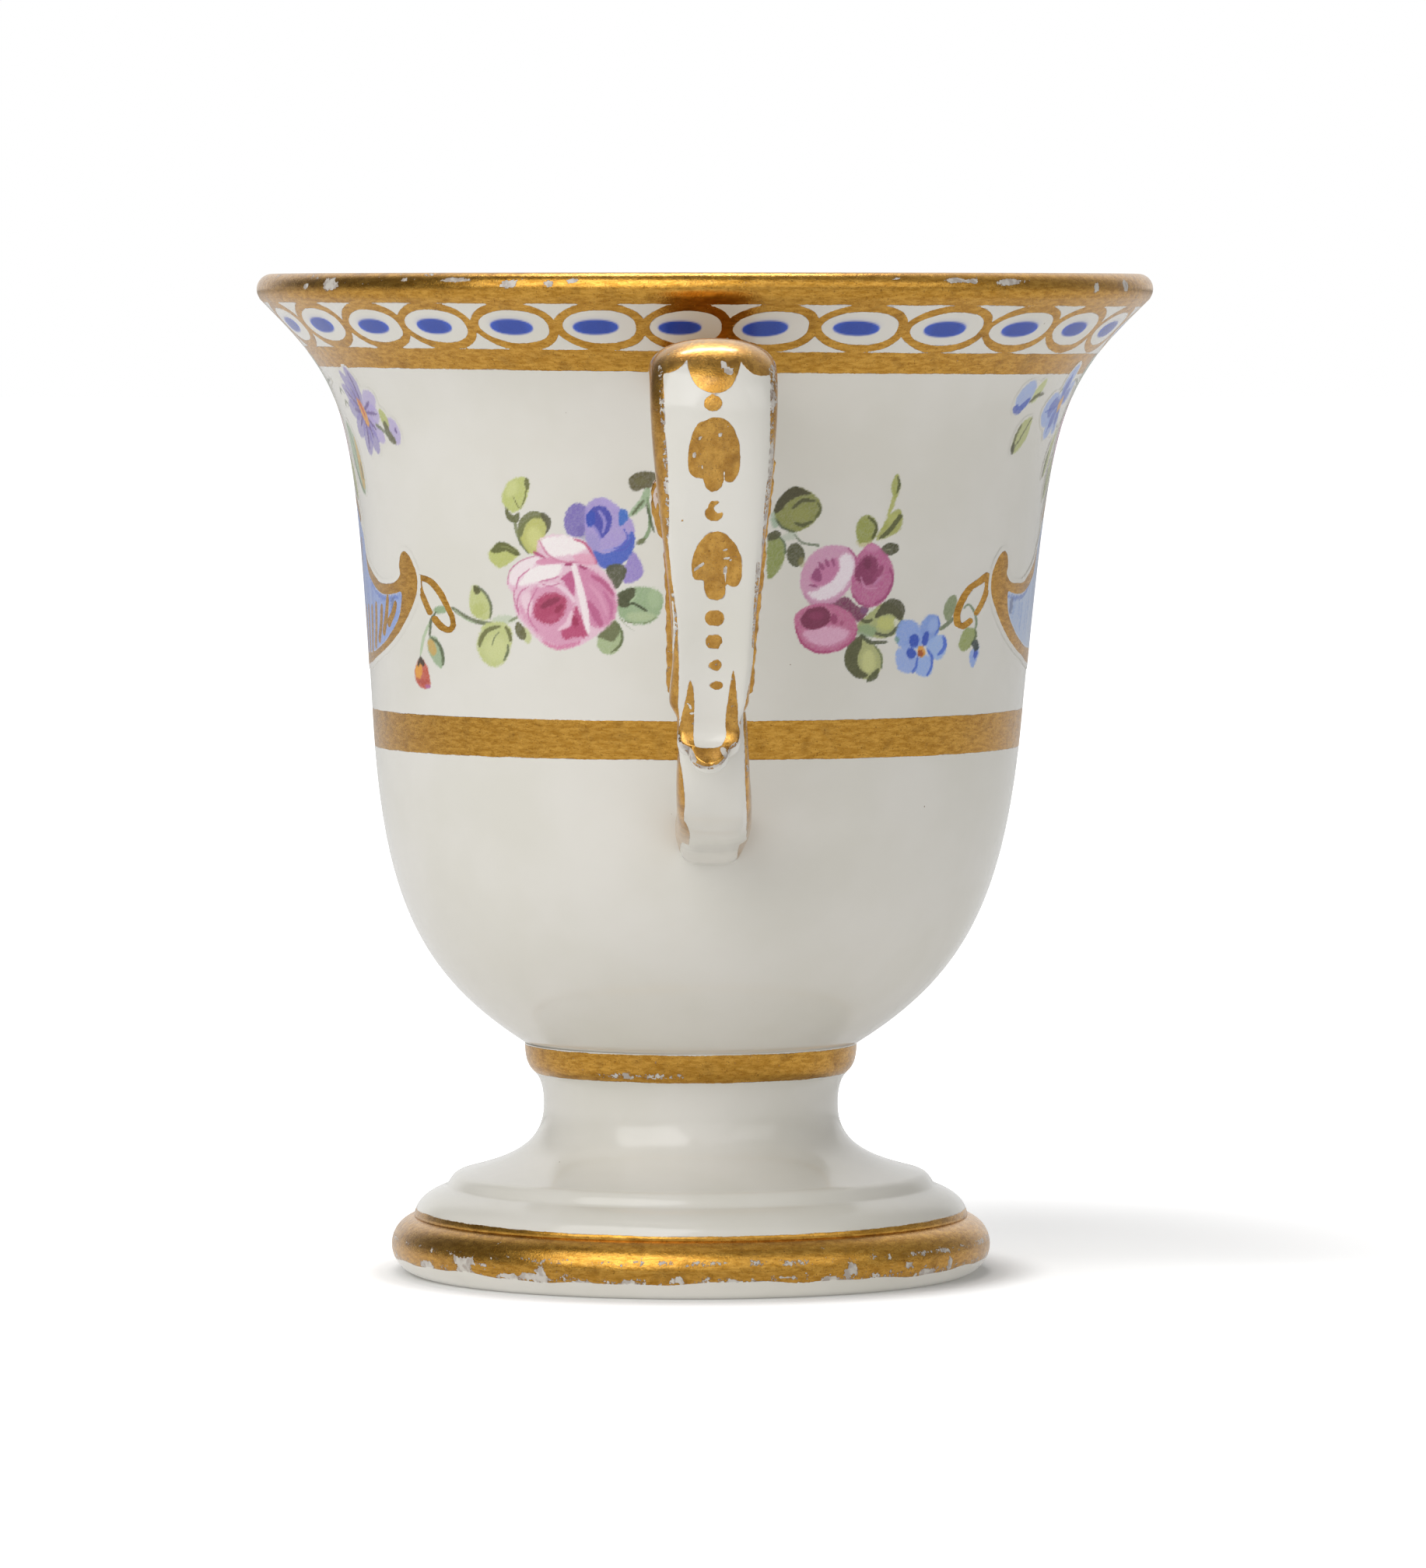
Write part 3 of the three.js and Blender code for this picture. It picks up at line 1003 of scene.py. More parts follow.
    def scrape(self, chosen: Array, depth: Array) -> None:
        """Takes gilding off where the depth, in drawing units, is above zero."""
        self.gilt[chosen] = np.minimum(self.gilt[chosen], -depth * self.gilt_scale)

    def rub(self, chosen: Array, wear: Array) -> None:
        """Wears the gilding of the chosen points."""
        self.wear[chosen] = np.maximum(self.wear[chosen], wear)

    def gild_outline(self, outline: Points, steps: int = 6) -> None:
        """Gilds a rounded outline."""
        self.gild(*self.in_outline(outline, 1.0 / self.gilt_scale, steps))

    def gild_stroke(self, points: Points, radius: float, taper: Pair = (1.0, 1.0)) -> None:
        """Gilds a brush line."""
        self.gild(*self.in_stroke(points, radius, taper, radius + 1.0 / self.gilt_scale))

    def gild_dot(self, centre: Pair, radii: Pair) -> None:
        """Gilds an oval dot.

        Args:
            centre: Its middle.
            radii: Its half-widths across and up.
        """
        outline = []
        for index in range(OVAL_POINTS):
            angle = index * math.pi / (OVAL_POINTS / 2)
            outline.append((centre[0] + radii[0] * math.cos(angle), centre[1] + radii[1] * math.sin(angle)))
        self.gild_outline(outline)

    def scrape_outline(self, outline: Points) -> None:
        """Takes the gilding off inside a rounded outline."""
        self.scrape(*self.in_outline(outline, 1.0 / self.gilt_scale))

    def chip_outline(self, outline: Points) -> None:
        """Chips the gilding off inside a rounded outline, down to its stained ground."""
        chosen, depth = self.in_outline(outline, 0.2 / self.gilt_scale)
        self.rub(chosen, CHIPPED * smooth_step(depth * self.gilt_scale, -0.08, 0.06))

    def scrape_stroke(self, points: Points, radius: float) -> None:
        """Takes the gilding off along a line."""
        self.scrape(*self.in_stroke(points, radius, (0.5, 0.3), radius + 1.0 / self.gilt_scale))

    def wear_stroke(self, points: Points, radius: float, amount: float) -> None:
        """Wears the gilding along a line, most at its middle."""
        chosen, depth = self.in_stroke(points, radius, (1.0, 1.0), radius, steps=4)
        self.rub(chosen, amount * smooth_step(depth / radius, 0.0, 0.5))

    def wear_dot(self, centre: Pair, radii: Pair, amount: float) -> None:
        """Wears the gilding in an oval.

        Args:
            centre: Its middle.
            radii: Its half-widths across and up.
            amount: The wear at its middle.
        """
        offset = (self.places - np.array(centre)) / np.array(radii)
        share = smooth_step(1 - np.hypot(offset[:, 0], offset[:, 1]), 0.0, 0.6)
        self.wear = np.maximum(self.wear, amount * share)

    def wear_alike(self) -> None:
        """Wears all the gilding a little."""
        self.wear = np.where(self.gilt > GILT_REACH, EVEN_WEAR, 0.0)

    def store(self, mesh: Mesh) -> None:
        """Writes the painting into a mesh's attributes.

        Args:
            mesh: The piece's mesh.
        """
        lit = self.colour / 255.0
        shown = np.where(lit <= 0.04045, lit / 12.92, ((lit + 0.055) / 1.055) ** 2.4)
        set_colour(mesh, "enamel", np.concatenate([shown, self.cover[:, None]], axis=1))
        set_number(mesh, "gilt", self.gilt)
        set_number(mesh, "wear", self.wear)


# Bowl


@dataclass
class Bowl:
    """The thrown bowl: belly, waist, flaring mouth and rounded lip."""

    centre: float
    height: float = 66.0
    rim_radius: float = 29.55
    lip_roundness: float = 1.0
    flare_angle: float = 45.0
    wall: float = 2.2
    waist_height: float = 36.5
    waist_radius: float = 21.43
    waist_angle: float = 85.75
    belly_angle: float = 32.3
    seat_height: float = 15.2
    seat_radius: float = 11.0
    floor_thickness: float = 3.4
    rim_gold_height: float = 64.0
    line_height: float = 60.31
    line_half_width: float = 0.66
    band_height: float = 36.15
    band_half_width: float = 1.25
    segments: int = 360
    rim_tilt: float = 0.14
    line_tilt: float = 0.25
    line_lift: float = 0.05
    lip_wear: float = 0.12
    left_lip_wear: float = 0.16
    worn_rim_width: float = 1.4
    lean: float = 0.0178
    upright_height: float = 36.0
    chips: tuple[tuple[float, float, float, float], ...] = ((-66.5, 65.6, 0.22, 0.12),
                                                            (-65.3, 65.2, 0.12, 0.14),
                                                            (-62.0, 65.15, 0.22, 0.16),
                                                            (-56.4, 65.33, 0.62, 0.42),
                                                            (-54.9, 65.2, 0.3, 0.2),
                                                            (-50.3, 65.25, 0.14, 0.18),
                                                            (-48.6, 65.2, 0.22, 0.14),
                                                            (-42.3, 65.55, 0.2, 0.18),
                                                            (-34.0, 65.52, 1.1, 0.12),
                                                            (-26.4, 65.27, 0.46, 0.27),
                                                            (-20.8, 65.3, 0.26, 0.24),
                                                            (-18.1, 65.47, 0.2, 0.12),
                                                            (8.5, 65.0, 0.13, 0.13), (15.5, 65.6, 0.2, 0.14),
                                                            (23.2, 65.62, 0.22, 0.1),
                                                            (31.2, 65.5, 0.7, 0.16),
                                                            (33.6, 65.45, 0.3, 0.18),
                                                            (40.0, 65.42, 1.0, 0.22),
                                                            (52.5, 65.05, 0.14, 0.2),
                                                            (57.0, 65.05, 0.26, 0.3),
                                                            (66.0, 65.2, 0.5, 0.42), (120.0, 65.3, 1.0, 0.3),
                                                            (-140.0, 65.4, 0.9, 0.3),
                                                            (175.0, 65.5, 1.3, 0.25))
    outside: Array = field(init=False)
    outline: Array = field(init=False)

    def __post_init__(self) -> None:
        """Draws the outlines."""
        lip_centre = np.array([self.rim_radius - self.lip_roundness, self.height - self.lip_roundness])
        flare = direction(self.flare_angle)
        normal = direction(self.flare_angle - 90)
        lip_outside = lip_centre + normal * self.lip_roundness
        lip_inside = lip_centre - normal * self.lip_roundness
        seat = np.array([self.seat_radius, self.seat_height])
        waist = np.array([self.waist_radius, self.waist_height])
        way = direction(self.waist_angle)
        inner_waist = np.array([self.waist_radius - self.wall, self.waist_height])
        floor = np.array([0.0, self.seat_height + self.floor_thickness])
        belly = eased_curve(seat, direction(self.belly_angle), 0.35, waist, way, 0.5, 36)
        flaring = eased_curve(waist, way, 0.74, lip_outside, flare, 0.29, 60)
        lip = arc(lip_centre, self.lip_roundness, self.flare_angle - 90, self.flare_angle + 90, 24)
        inner_flare = eased_curve(lip_inside, -flare, 0.29, inner_waist, -way, 0.74, 44)
        inner_belly = eased_curve(inner_waist, -way, 0.45, floor, np.array([-1.0, 0.0]), 0.52, 32)
        self.outside = joined(belly, flaring, lip[:7])
        bottom = np.array([[0.0, self.seat_height]])
        self.outline = joined(bottom, belly, flaring, lip, inner_flare, inner_belly)

    def radius_at(self, height: Array | float) -> Array | float:
        """Returns the outside radius at a height."""
        return np.interp(height, self.outside[:, 1], self.outside[:, 0])

    def slope_at(self, height: Array | float) -> Array | float:
        """Returns how fast the outside radius grows with height."""
        step = 0.05
        return (self.radius_at(height + step) - self.radius_at(height - step)) / (2 * step)

    def aside(self, height: Array) -> Array:
        """Returns how far the fired bowl leans to the right at heights."""
        return self.lean * (height - self.upright_height)

    def wall_places(self, turn: Array, height: Array, proud: Array | float) -> Array:
        """Finds points on the outside of the wall.

        Args:
            turn: Angles from the handle, in degrees.
            height: Heights in millimetres.
            proud: How far the points stand proud of the wall.

        Returns:
            Rows of x, y, z in millimetres.
        """
        normal = self.wall_normals(turn, height)
        radius = self.radius_at(height)
        angle = np.radians(turn)
        places = np.stack([radius * np.sin(angle) + self.aside(height), self.centre - radius * np.cos(angle),
                           height], axis=1)
        return places + normal * np.reshape(proud, (-1, 1))

    def wall_normals(self, turn: Array, height: Array) -> Array:
        """Returns the outward directions of points on the wall.

        Args:
            turn: Angles from the handle, in degrees.
            height: Heights in millimetres.

        Returns:
            One unit vector to a row.
        """
        slope = self.slope_at(height)
        angle = np.radians(turn)
        length = np.sqrt(1 + slope**2)
        return np.stack([np.sin(angle) / length, -np.cos(angle) / length, -slope / length], axis=1)

    def tilt(self, turn: Array, amount: float) -> Array:
        """Returns how far the painter's lines stray up from level, most at the sides."""
        return -amount * np.sin(np.radians(turn)) * smooth_step(-np.abs(turn), -170.0, -90.0)

    def rim_depth(self, turn: Array, height: Array) -> Array:
        """Returns how deep points lie inside the gilding over the lip."""
        return height - self.rim_gold_height - self.tilt(turn, self.rim_tilt)

    def line_depth(self, turn: Array, height: Array) -> Array:
        """Returns how deep points lie inside the line under the border."""
        above = height - self.line_height - self.line_lift - self.tilt(turn, self.line_tilt)
        return self.line_half_width - np.abs(above)

    def gold_depth(self, radius: Array, turn: Array, height: Array) -> Array:
        """Returns how deep points lie inside the rim gilding, the line or the middle band.

        Args:
            radius: Distances from the axis, in millimetres.
            turn: Angles from the handle, in degrees.
            height: Heights in millimetres.

        Returns:
            The depths in millimetres, negative outside.
        """
        outer = radius > self.radius_at(height) - self.wall / 2
        band = self.band_half_width - np.abs(height - self.band_height)
        lines = np.maximum(self.line_depth(turn, height), band)
        return np.maximum(self.rim_depth(turn, height), np.where(outer, lines, -1.0))

    def gold_wear(self, turn: Array, height: Array) -> Array:
        """Returns the wear of the rim gilding: rubbed on the lip, more at its left, and chipped.

        Args:
            turn: Angles from the handle, in degrees.
            height: Heights in millimetres.

        Returns:
            The wear: 0 where the gilding is whole, 1 and more where it is gone.
        """
        lip = smooth_step(height, 64.6, 65.6)
        left = smooth_step(-turn, 5.0, 40.0) * smooth_step(turn, -110.0, -80.0)
        wear = lip * (self.lip_wear + self.left_lip_wear * left)
        for middle, level, half_width, half_height in self.chips:
            across = np.radians((turn - middle + 180) % 360 - 180) * self.rim_radius / half_width
            wear = np.maximum(wear, chip_wear(across, (height - level) / half_height))
        return wear

    def build(self, glaze: Material) -> None:
        """Builds the bowl and its turned gilding.

        Args:
            glaze: The piece's material.
        """
        mesh = turned(self.outline, self.centre, self.segments)
        places = corner_places(mesh) / MM
        across = places[:, 0]
        along = self.centre - places[:, 1]
        radius = np.hypot(across, along)
        turn = np.degrees(np.arctan2(across, along))
        set_number(mesh, "gilt", self.gold_depth(radius, turn, places[:, 2]))
        outer = radius > self.rim_radius - self.worn_rim_width
        set_number(mesh, "wear", self.gold_wear(turn, places[:, 2]) * outer)
        shift_across(mesh, places, self.aside(places[:, 2]))
        piece = finished_object("bowl_body", mesh, glaze)
        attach(piece, BODY)
        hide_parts("bowl")


@dataclass
class PaintedSkin:
    """A thin painted patch of the bowl's wall, a few hundredths of a millimetre thick."""

    name: str
    bowl: Bowl
    turn_from: float
    turn_to: float
    low: float
    high: float
    spacing: float
    proud: float = 0.02
    moved_by: float = 0.0
    margin: int = 2

    def build(self, glaze: Material, paint: Callable[[Array, Array], Canvas]) -> None:
        """Builds the patch, without its bare parts.

        Args:
            glaze: The patch's material.
            paint: Paints the canvas, from the turn and the height of each corner.
        """
        middle = float(self.bowl.radius_at((self.low + self.high) / 2))
        columns = round(math.radians(self.turn_to - self.turn_from) * middle / self.spacing)
        rows = round((self.high - self.low) / self.spacing)
        mesh, across, along = grid_mesh(columns, rows)
        turn = self.turn_from + across * (self.turn_to - self.turn_from)
        height = self.low + along * (self.high - self.low)
        canvas = paint(turn, height)
        canvas.store(mesh)
        painted = (canvas.cover > BARE_COVER) | (canvas.gilt > GILT_REACH)
        column = np.rint(across * columns).astype(int)
        row = np.rint(along * rows).astype(int)
        kept = self.grown(painted, column, row)
        inner = self.shrunk(kept, column, row)
        turn = turn + self.moved_by
        proud = np.where(inner, self.proud, -self.proud)
        places = self.bowl.wall_places(turn, height, proud)
        set_places(mesh, places)
        set_number(mesh, "kept", kept.astype(float))
        self.cut_bare_parts(mesh)
        piece = finished_object(self.name, mesh, glaze)
        self.follow_wall(mesh)
        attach(piece, BODY)

    def grown(self, painted: Array, column: Array, row: Array) -> Array:
        """Grows the painted corners by a margin of squares each way.

        Args:
            painted: Which corners carry paint.
            column: Each corner's column in the grid.
            row: Each corner's row in the grid.

        Returns:
            Which corners are kept.
        """
        reach = 2 * self.margin + 1
        squares = np.zeros((row.max() + reach, column.max() + reach), dtype=bool)
        for down in range(reach):
            for side in range(reach):
                squares[row + down, column + side] |= painted
        return squares[row + self.margin, column + self.margin]

    def shrunk(self, kept: Array, column: Array, row: Array) -> Array:
        """Returns the kept corners that have kept neighbours all round.

        Args:
            kept: Which corners are kept.
            column: Each corner's column in the grid.
            row: Each corner's row in the grid.

        Returns:
            Which of them lie inside.
        """
        squares = np.zeros((row.max() + 3, column.max() + 3), dtype=bool)
        squares[row + 1, column + 1] = kept
        around = np.ones(len(kept), dtype=bool)
        for down in range(3):
            for side in range(3):
                around &= squares[row + down, column + side]
        return around

    def cut_bare_parts(self, mesh: Mesh) -> None:
        """Deletes the squares that carry no paint, and turns the rest outwards.

        Args:
            mesh: The piece's mesh.
        """
        sheet = bmesh.new()
        sheet.from_mesh(mesh)
        layer = sheet.verts.layers.float["kept"]
        bare = [face for face in sheet.faces if any(corner[layer] < 0.5 for corner in face.verts)]
        bmesh.ops.delete(sheet, geom=bare, context="FACES")
        first = next(iter(sheet.faces))
        first.normal_update()
        middle = first.calc_center_median()
        outwards = Vector((middle.x, middle.y - self.bowl.centre * MM, 0.0))
        if first.normal.dot(outwards) < 0:
            bmesh.ops.reverse_faces(sheet, faces=sheet.faces)
        sheet.to_mesh(mesh)
        sheet.free()

    def follow_wall(self, mesh: Mesh) -> None:
        """Shades the patch with the wall's own directions, so that its edges don't show.

        Args:
            mesh: The piece's mesh.
        """
        places = corner_places(mesh) / MM
        across = places[:, 0] - self.bowl.aside(places[:, 2])
        turn = np.degrees(np.arctan2(across, self.bowl.centre - places[:, 1]))
        normals = self.bowl.wall_normals(turn, places[:, 2])
        mesh.normals_split_custom_set_from_vertices([tuple(row) for row in normals])


@dataclass
class ChainBorder:
    """The painted border under the rim: gold links, each around a white field and a blue oval."""

    bowl: Bowl
    middle: float = 62.53
    end_gap: float = 0.85
    half_height: float = 1.05
    gold_width: float = 0.62
    gold_height: float = 0.48
    left_bluntness: float = 1.85
    right_bluntness: float = 2.35
    oval_share: float = 0.258
    oval_half_height: float = 0.49
    front_turns: tuple[float, ...] = (-64.6, -51.5, -39.8, -27.5, -15.4, -3.9, 7.4, 19.6, 32.8, 46.3, 59.5)
    hidden_links: int = 17
    front_span: float = 170.0
    overlap: float = 0.8
    low: float = 59.2
    high: float = 64.5
    front_spacing: float = 0.085
    back_spacing: float = 0.115
    tilt: float = 0.16
    oval_bluntness: float = 2.15
    link_reach: float = 4.6
    even_wear: float = 0.05
    seed: int = 11

    def link_turns(self) -> Array:
        """Returns where the links' middles lie: spaced as listed in front, evenly round the back.

        Returns:
            Turns of the links' middles, in degrees.
        """
        last = self.front_turns[-1]
        step = (360.0 + self.front_turns[0] - last) / (self.hidden_links + 1)
        behind = [last + step * (index + 1) for index in range(self.hidden_links)]
        return np.array([*self.front_turns, *behind])

    def oval_depth(
        self, side: Array, rise: Array, half_length: float, half_height: float, bluntness: Array
    ) -> Array:
        """Returns about how deep points lie inside an oval, squared off by its bluntness.

        Args:
            side: Places across from the oval's middle.
            rise: Places up from its middle.
            half_length: Half its length.
            half_height: Half its height.
            bluntness: 2 for an ellipse, more for squarer ends.

        Returns:
            The depths in millimetres, negative outside.
        """
        across = np.maximum(np.abs(side) / half_length, 1e-6)
        up = np.maximum(np.abs(rise) / half_height, 1e-6)
        size = (across**bluntness + up**bluntness) ** (1 / bluntness)
        power = bluntness - 1
        slope = np.hypot(across**power / half_length, up**power / half_height) / size**power
        return (1 - size) / slope

    def paint(self, turn: Array, height: Array) -> Canvas:
        """Paints the links on the border's corners.

        Args:
            turn: Angles from the handle, in degrees.
            height: Heights in millimetres.

        Returns:
            The painted canvas.
        """
        canvas = Canvas(turn, height, self.seed)
        chance = np.random.default_rng(self.seed)
        radius = float(self.bowl.radius_at(self.middle))
        inside_any = np.full(len(turn), -9.0)
        ring_any = np.full(len(turn), -9.0)
        turns = self.link_turns()
        gaps = np.diff(np.concatenate([turns, [turns[0] + 360.0]]))
        lift = self.bowl.tilt(turn, self.tilt)
        for index, middle in enumerate(turns):
            shifts = chance.normal(0.0, 1.0, 8)
            pitch = math.radians((gaps[index] + gaps[index - 1]) / 2) * radius
            offset = (turn - middle + 180.0) % 360.0 - 180.0
            across = np.radians(offset) * radius
            up = height - self.middle - lift - 0.02 * shifts[1]
            near = np.abs(across) < self.link_reach
            lean = 0.02 * shifts[2]
            side = across[near] * math.cos(lean) + up[near] * math.sin(lean)
            rise = up[near] * math.cos(lean) - across[near] * math.sin(lean)
            half_length = (pitch - self.end_gap) / 2 * (1 + 0.012 * shifts[3])
            bluntness = np.where(side < 0, self.left_bluntness, self.right_bluntness)
            depth = self.oval_depth(side, rise, half_length, self.half_height, bluntness)
            inside_any[near] = np.maximum(inside_any[near], depth)
            ring_length = half_length + self.gold_width + 0.03 * shifts[4]
            ring_height = self.half_height + self.gold_height
            ring = self.oval_depth(side, rise, ring_length, ring_height, bluntness - 0.1)
            ring_any[near] = np.maximum(ring_any[near], ring)
            drift = -0.1 - 0.3 * math.exp(-(((middle - 3.0) / 20.0) ** 2))
            self.paint_oval(canvas, near, side - drift, rise, pitch * self.oval_share, shifts[5:])
        gold = np.minimum(ring_any, -inside_any)
        gold = np.maximum(gold, self.bowl.rim_depth(turn, height))
        gold = np.maximum(gold, self.bowl.line_depth(turn, height))
        canvas.gilt = np.maximum(gold, GILT_REACH + 0.01)
        canvas.wear = self.bowl.gold_wear(turn, height) + self.even_wear
        return canvas

    def paint_oval(
        self,
        canvas: Canvas,
        near: Array,
        side: Array,
        rise: Array,
        half_length: float,
        shifts: Array,
    ) -> None:
        """Paints one blue oval: darker towards its middle, with a slightly bled upper edge.

        Args:
            canvas: Canvas to paint on.
            near: Which corners lie about this link.
            side: Places of those corners across from the oval's middle.
            rise: Their places up from its middle.
            half_length: Half the oval's length.
            shifts: Three chance numbers that vary its shape.
        """
        chosen = np.nonzero(near)[0]
        long = half_length * (1 + 0.03 * shifts[0])
        tall = self.oval_half_height * (1 + 0.05 * shifts[1])
        level = rise + 0.02 + 0.03 * shifts[2] * side / long
        depth = self.oval_depth(side, level, long, tall, np.full(len(side), self.oval_bluntness))
        bleed = np.clip(1 + depth / 0.34, 0, 1) ** 2 * smooth_step(level / tall, -0.3, 1.0) * 0.2
        mask = np.maximum(smooth_step(depth, -0.07, 0.07), bleed)
        deep = smooth_step(depth, 0.0, 0.24)[:, None]
        ends = smooth_step(np.abs(side) / long, 0.45, 1.0)[:, None]
        colour = np.array(INK.cobalt) * (1.06 - 0.08 * deep) + np.array([10.0, 14.0, 22.0]) * ends
        shown = mask > 0.003
        canvas.colour[chosen[shown]] = colour[shown]
        canvas.cover[chosen[shown]] = mask[shown]

    def build(self, glaze: Material) -> None:
        """Builds the border as a finer stretch in front and a plainer one round the back.

        Args:
            glaze: The piece's material.
        """
        split = self.front_span / 2
        start, end = split - self.overlap, 360.0 - split + self.overlap
        for name, turn_from, turn_to, spacing in (
            ("chain_border", -split, split, self.front_spacing),
            ("chain_border_behind", start, end, self.back_spacing),
        ):
            skin = PaintedSkin(name, self.bowl, turn_from, turn_to, self.low, self.high, spacing)
            skin.build(glaze, self.paint)


# Painted flowers


@dataclass
class Spray:
    """A spray of flowers on the front of the bowl, drawn as it is seen from the viewing point.

    The drawing has its own units: so many to a pixel of the front view, counted from a corner.
    """

    bowl: Bowl
    view: FrontView
    name: str = "spray"
    corner: Pair = (0.0, 0.0)
    units_per_pixel: float = 4.6
    turn_from: float = -60.0
    turn_to: float = 60.0
    low: float = 38.5
    high: float = 54.5
    spacing: float = 0.085
    wall_before_axis: float = 20.0
    seed: int = 3

    def paint(self, turn: Array, height: Array) -> Canvas:
        """Paints the spray, seen from the viewing point.

        Args:
            turn: Angles from the handle, in degrees.
            height: Heights in millimetres.

        Returns:
            The painted canvas.
        """
        places = self.bowl.wall_places(turn, height, 0.0)
        column, row = self.view.project(places, self.bowl.centre)
        across = (column - self.corner[0]) * self.units_per_pixel
        down = (row - self.corner[1]) * self.units_per_pixel
        canvas = Canvas(across, down, self.seed)
        pixel = (self.view.distance - self.wall_before_axis) / self.view.focal_pixels
        canvas.gilt_scale = pixel / self.units_per_pixel
        self.draw(canvas)
        canvas.wear_alike()
        return canvas

    def draw(self, canvas: Canvas) -> None:
        """Draws the motifs; each spray has its own."""
        raise NotImplementedError

    def build(self, glaze: Material, copies: dict[str, float]) -> None:
        """Builds the spray once for each name, moved round the bowl by its turn in degrees.

        Args:
            glaze: Their material.
            copies: Turn of each copy in degrees, by name.
        """
        for name, turn in copies.items():
            span = (self.turn_from, self.turn_to, self.low, self.high)
            skin = PaintedSkin(name, self.bowl, *span, self.spacing, moved_by=turn)
            skin.build(glaze, self.paint)


@dataclass
class RoseSpray(Spray):
    """The spray left of the handle: a great pink rose, a violet rose, leaves and hanging buds."""

    name: str = "rose_spray"
    corner: Pair = (520.0, 600.0)
    units_per_pixel: float = 4.61
    turn_from: float = -64.0
    turn_to: float = -2.0

    def draw(self, canvas: Canvas) -> None:
        """Draws the motifs from the back to the front.

        Args:
            canvas: Canvas to paint on.
        """
        self.draw_loop_and_buds(canvas)
        self.draw_lower_leaves(canvas)
        self.draw_upper_leaves(canvas)
        self.draw_violet_rose(canvas)
        self.draw_leaves_by_handle(canvas)
        self.draw_great_rose(canvas)

    def draw_loop_and_buds(self, canvas: Canvas) -> None:
        """Draws the gilt loop that holds the spray, its stem and the two hanging buds.

        Args:
            canvas: Canvas to paint on.
        """
        canvas.gild_dot((84, 655), (17, 20))
        canvas.gild_stroke([(84, 655), (150, 678), (206, 738), (250, 818), (283, 890), (291, 940)], 16)
        canvas.gild_stroke([(291, 940), (268, 968), (222, 950), (180, 904)], 18)
        canvas.gild_stroke([(84, 655), (94, 722), (118, 790), (152, 864)], 15)
        canvas.dab((215, 848), (42, 24), INK.sea_green, tilt=-10)
        canvas.stroke([(150, 925), (115, 1015), (95, 1120)], 9, INK.sea_pale)
        canvas.stroke([(188, 862), (160, 905), (154, 960), (150, 1012)], 8, INK.sea_dark)
        canvas.stroke([(285, 836), (345, 880), (420, 916), (512, 932)], 14, INK.stem, taper=(0.6, 1.0))
        canvas.stroke([(300, 850), (350, 896), (420, 928)], 5, INK.sea_pale)
        canvas.blob([(150, 1008), (188, 1012), (222, 1070), (236, 1150), (214, 1195), (172, 1150),
                     (138, 1078)], INK.sea_green, 0.85)
        canvas.dab((165, 1070), (24, 52), INK.ochre, tilt=-14, strength=0.6)
        canvas.stroke([(160, 1012), (203, 1050), (228, 1110), (228, 1180)], 10, INK.sea_dark)
        canvas.blob([(94, 1132), (130, 1170), (150, 1240), (154, 1300), (110, 1316), (70, 1270), (64, 1200)],
                    INK.rust, soft=8)
        canvas.dab((86, 1212), (21, 56), INK.ochre, tilt=4, soft=8)
        canvas.blob([(78, 1168), (95, 1122), (120, 1160), (112, 1186), (96, 1166), (84, 1184)], (64, 48, 24),
                    soft=5)
        canvas.dab((140, 1302), (18, 13), (176, 96, 146))
        canvas.stroke([(75, 1255), (105, 1275), (145, 1270)], 12, (170, 62, 52), strength=0.6)

    def draw_lower_leaves(self, canvas: Canvas) -> None:
        """Draws the leaves on the stem, left of the rose.

        Args:
            canvas: Canvas to paint on.
        """
        canvas.dab((590, 906), (66, 26), INK.sea_pale, strength=0.6, soft=16)
        canvas.blob([(408, 700), (462, 730), (510, 800), (516, 884), (470, 912), (402, 870), (384, 786)],
                    INK.olive_pale, soft=12)
        canvas.dab((440, 850), (40, 45), INK.olive, strength=0.5, soft=24)
        canvas.blob([(412, 702), (440, 716), (452, 742), (428, 756), (412, 738)], INK.olive_dark, soft=5)
        canvas.stroke([(440, 712), (488, 762), (514, 830), (508, 902)], 9, INK.stem)
        canvas.blob([(470, 940), (560, 918), (632, 958), (632, 1060), (600, 1150), (530, 1190), (458, 1140),
                     (430, 1050)], INK.olive_pale, soft=14)
        canvas.dab((545, 1080), (66, 70), (206, 210, 152), strength=0.6, soft=30)
        canvas.stroke([(446, 1060), (462, 1004), (508, 962), (566, 948)], 14, (112, 114, 64))
        canvas.stroke([(602, 952), (624, 994), (630, 1036)], 12, (112, 114, 64))
        canvas.stroke([(614, 1058), (611, 1106), (590, 1148)], 8, INK.stem)
        canvas.stroke([(562, 978), (532, 1018), (520, 1062)], 3, INK.stem, soft=3)
        canvas.dab((724, 1000), (26, 50), INK.olive_pale, tilt=-14, strength=0.8)
        canvas.blob([(664, 922), (692, 930), (722, 990), (710, 1026), (680, 1020), (656, 974)],
                    (104, 102, 62), soft=6)
        canvas.stroke([(626, 916), (682, 884)], 9, (134, 144, 108))

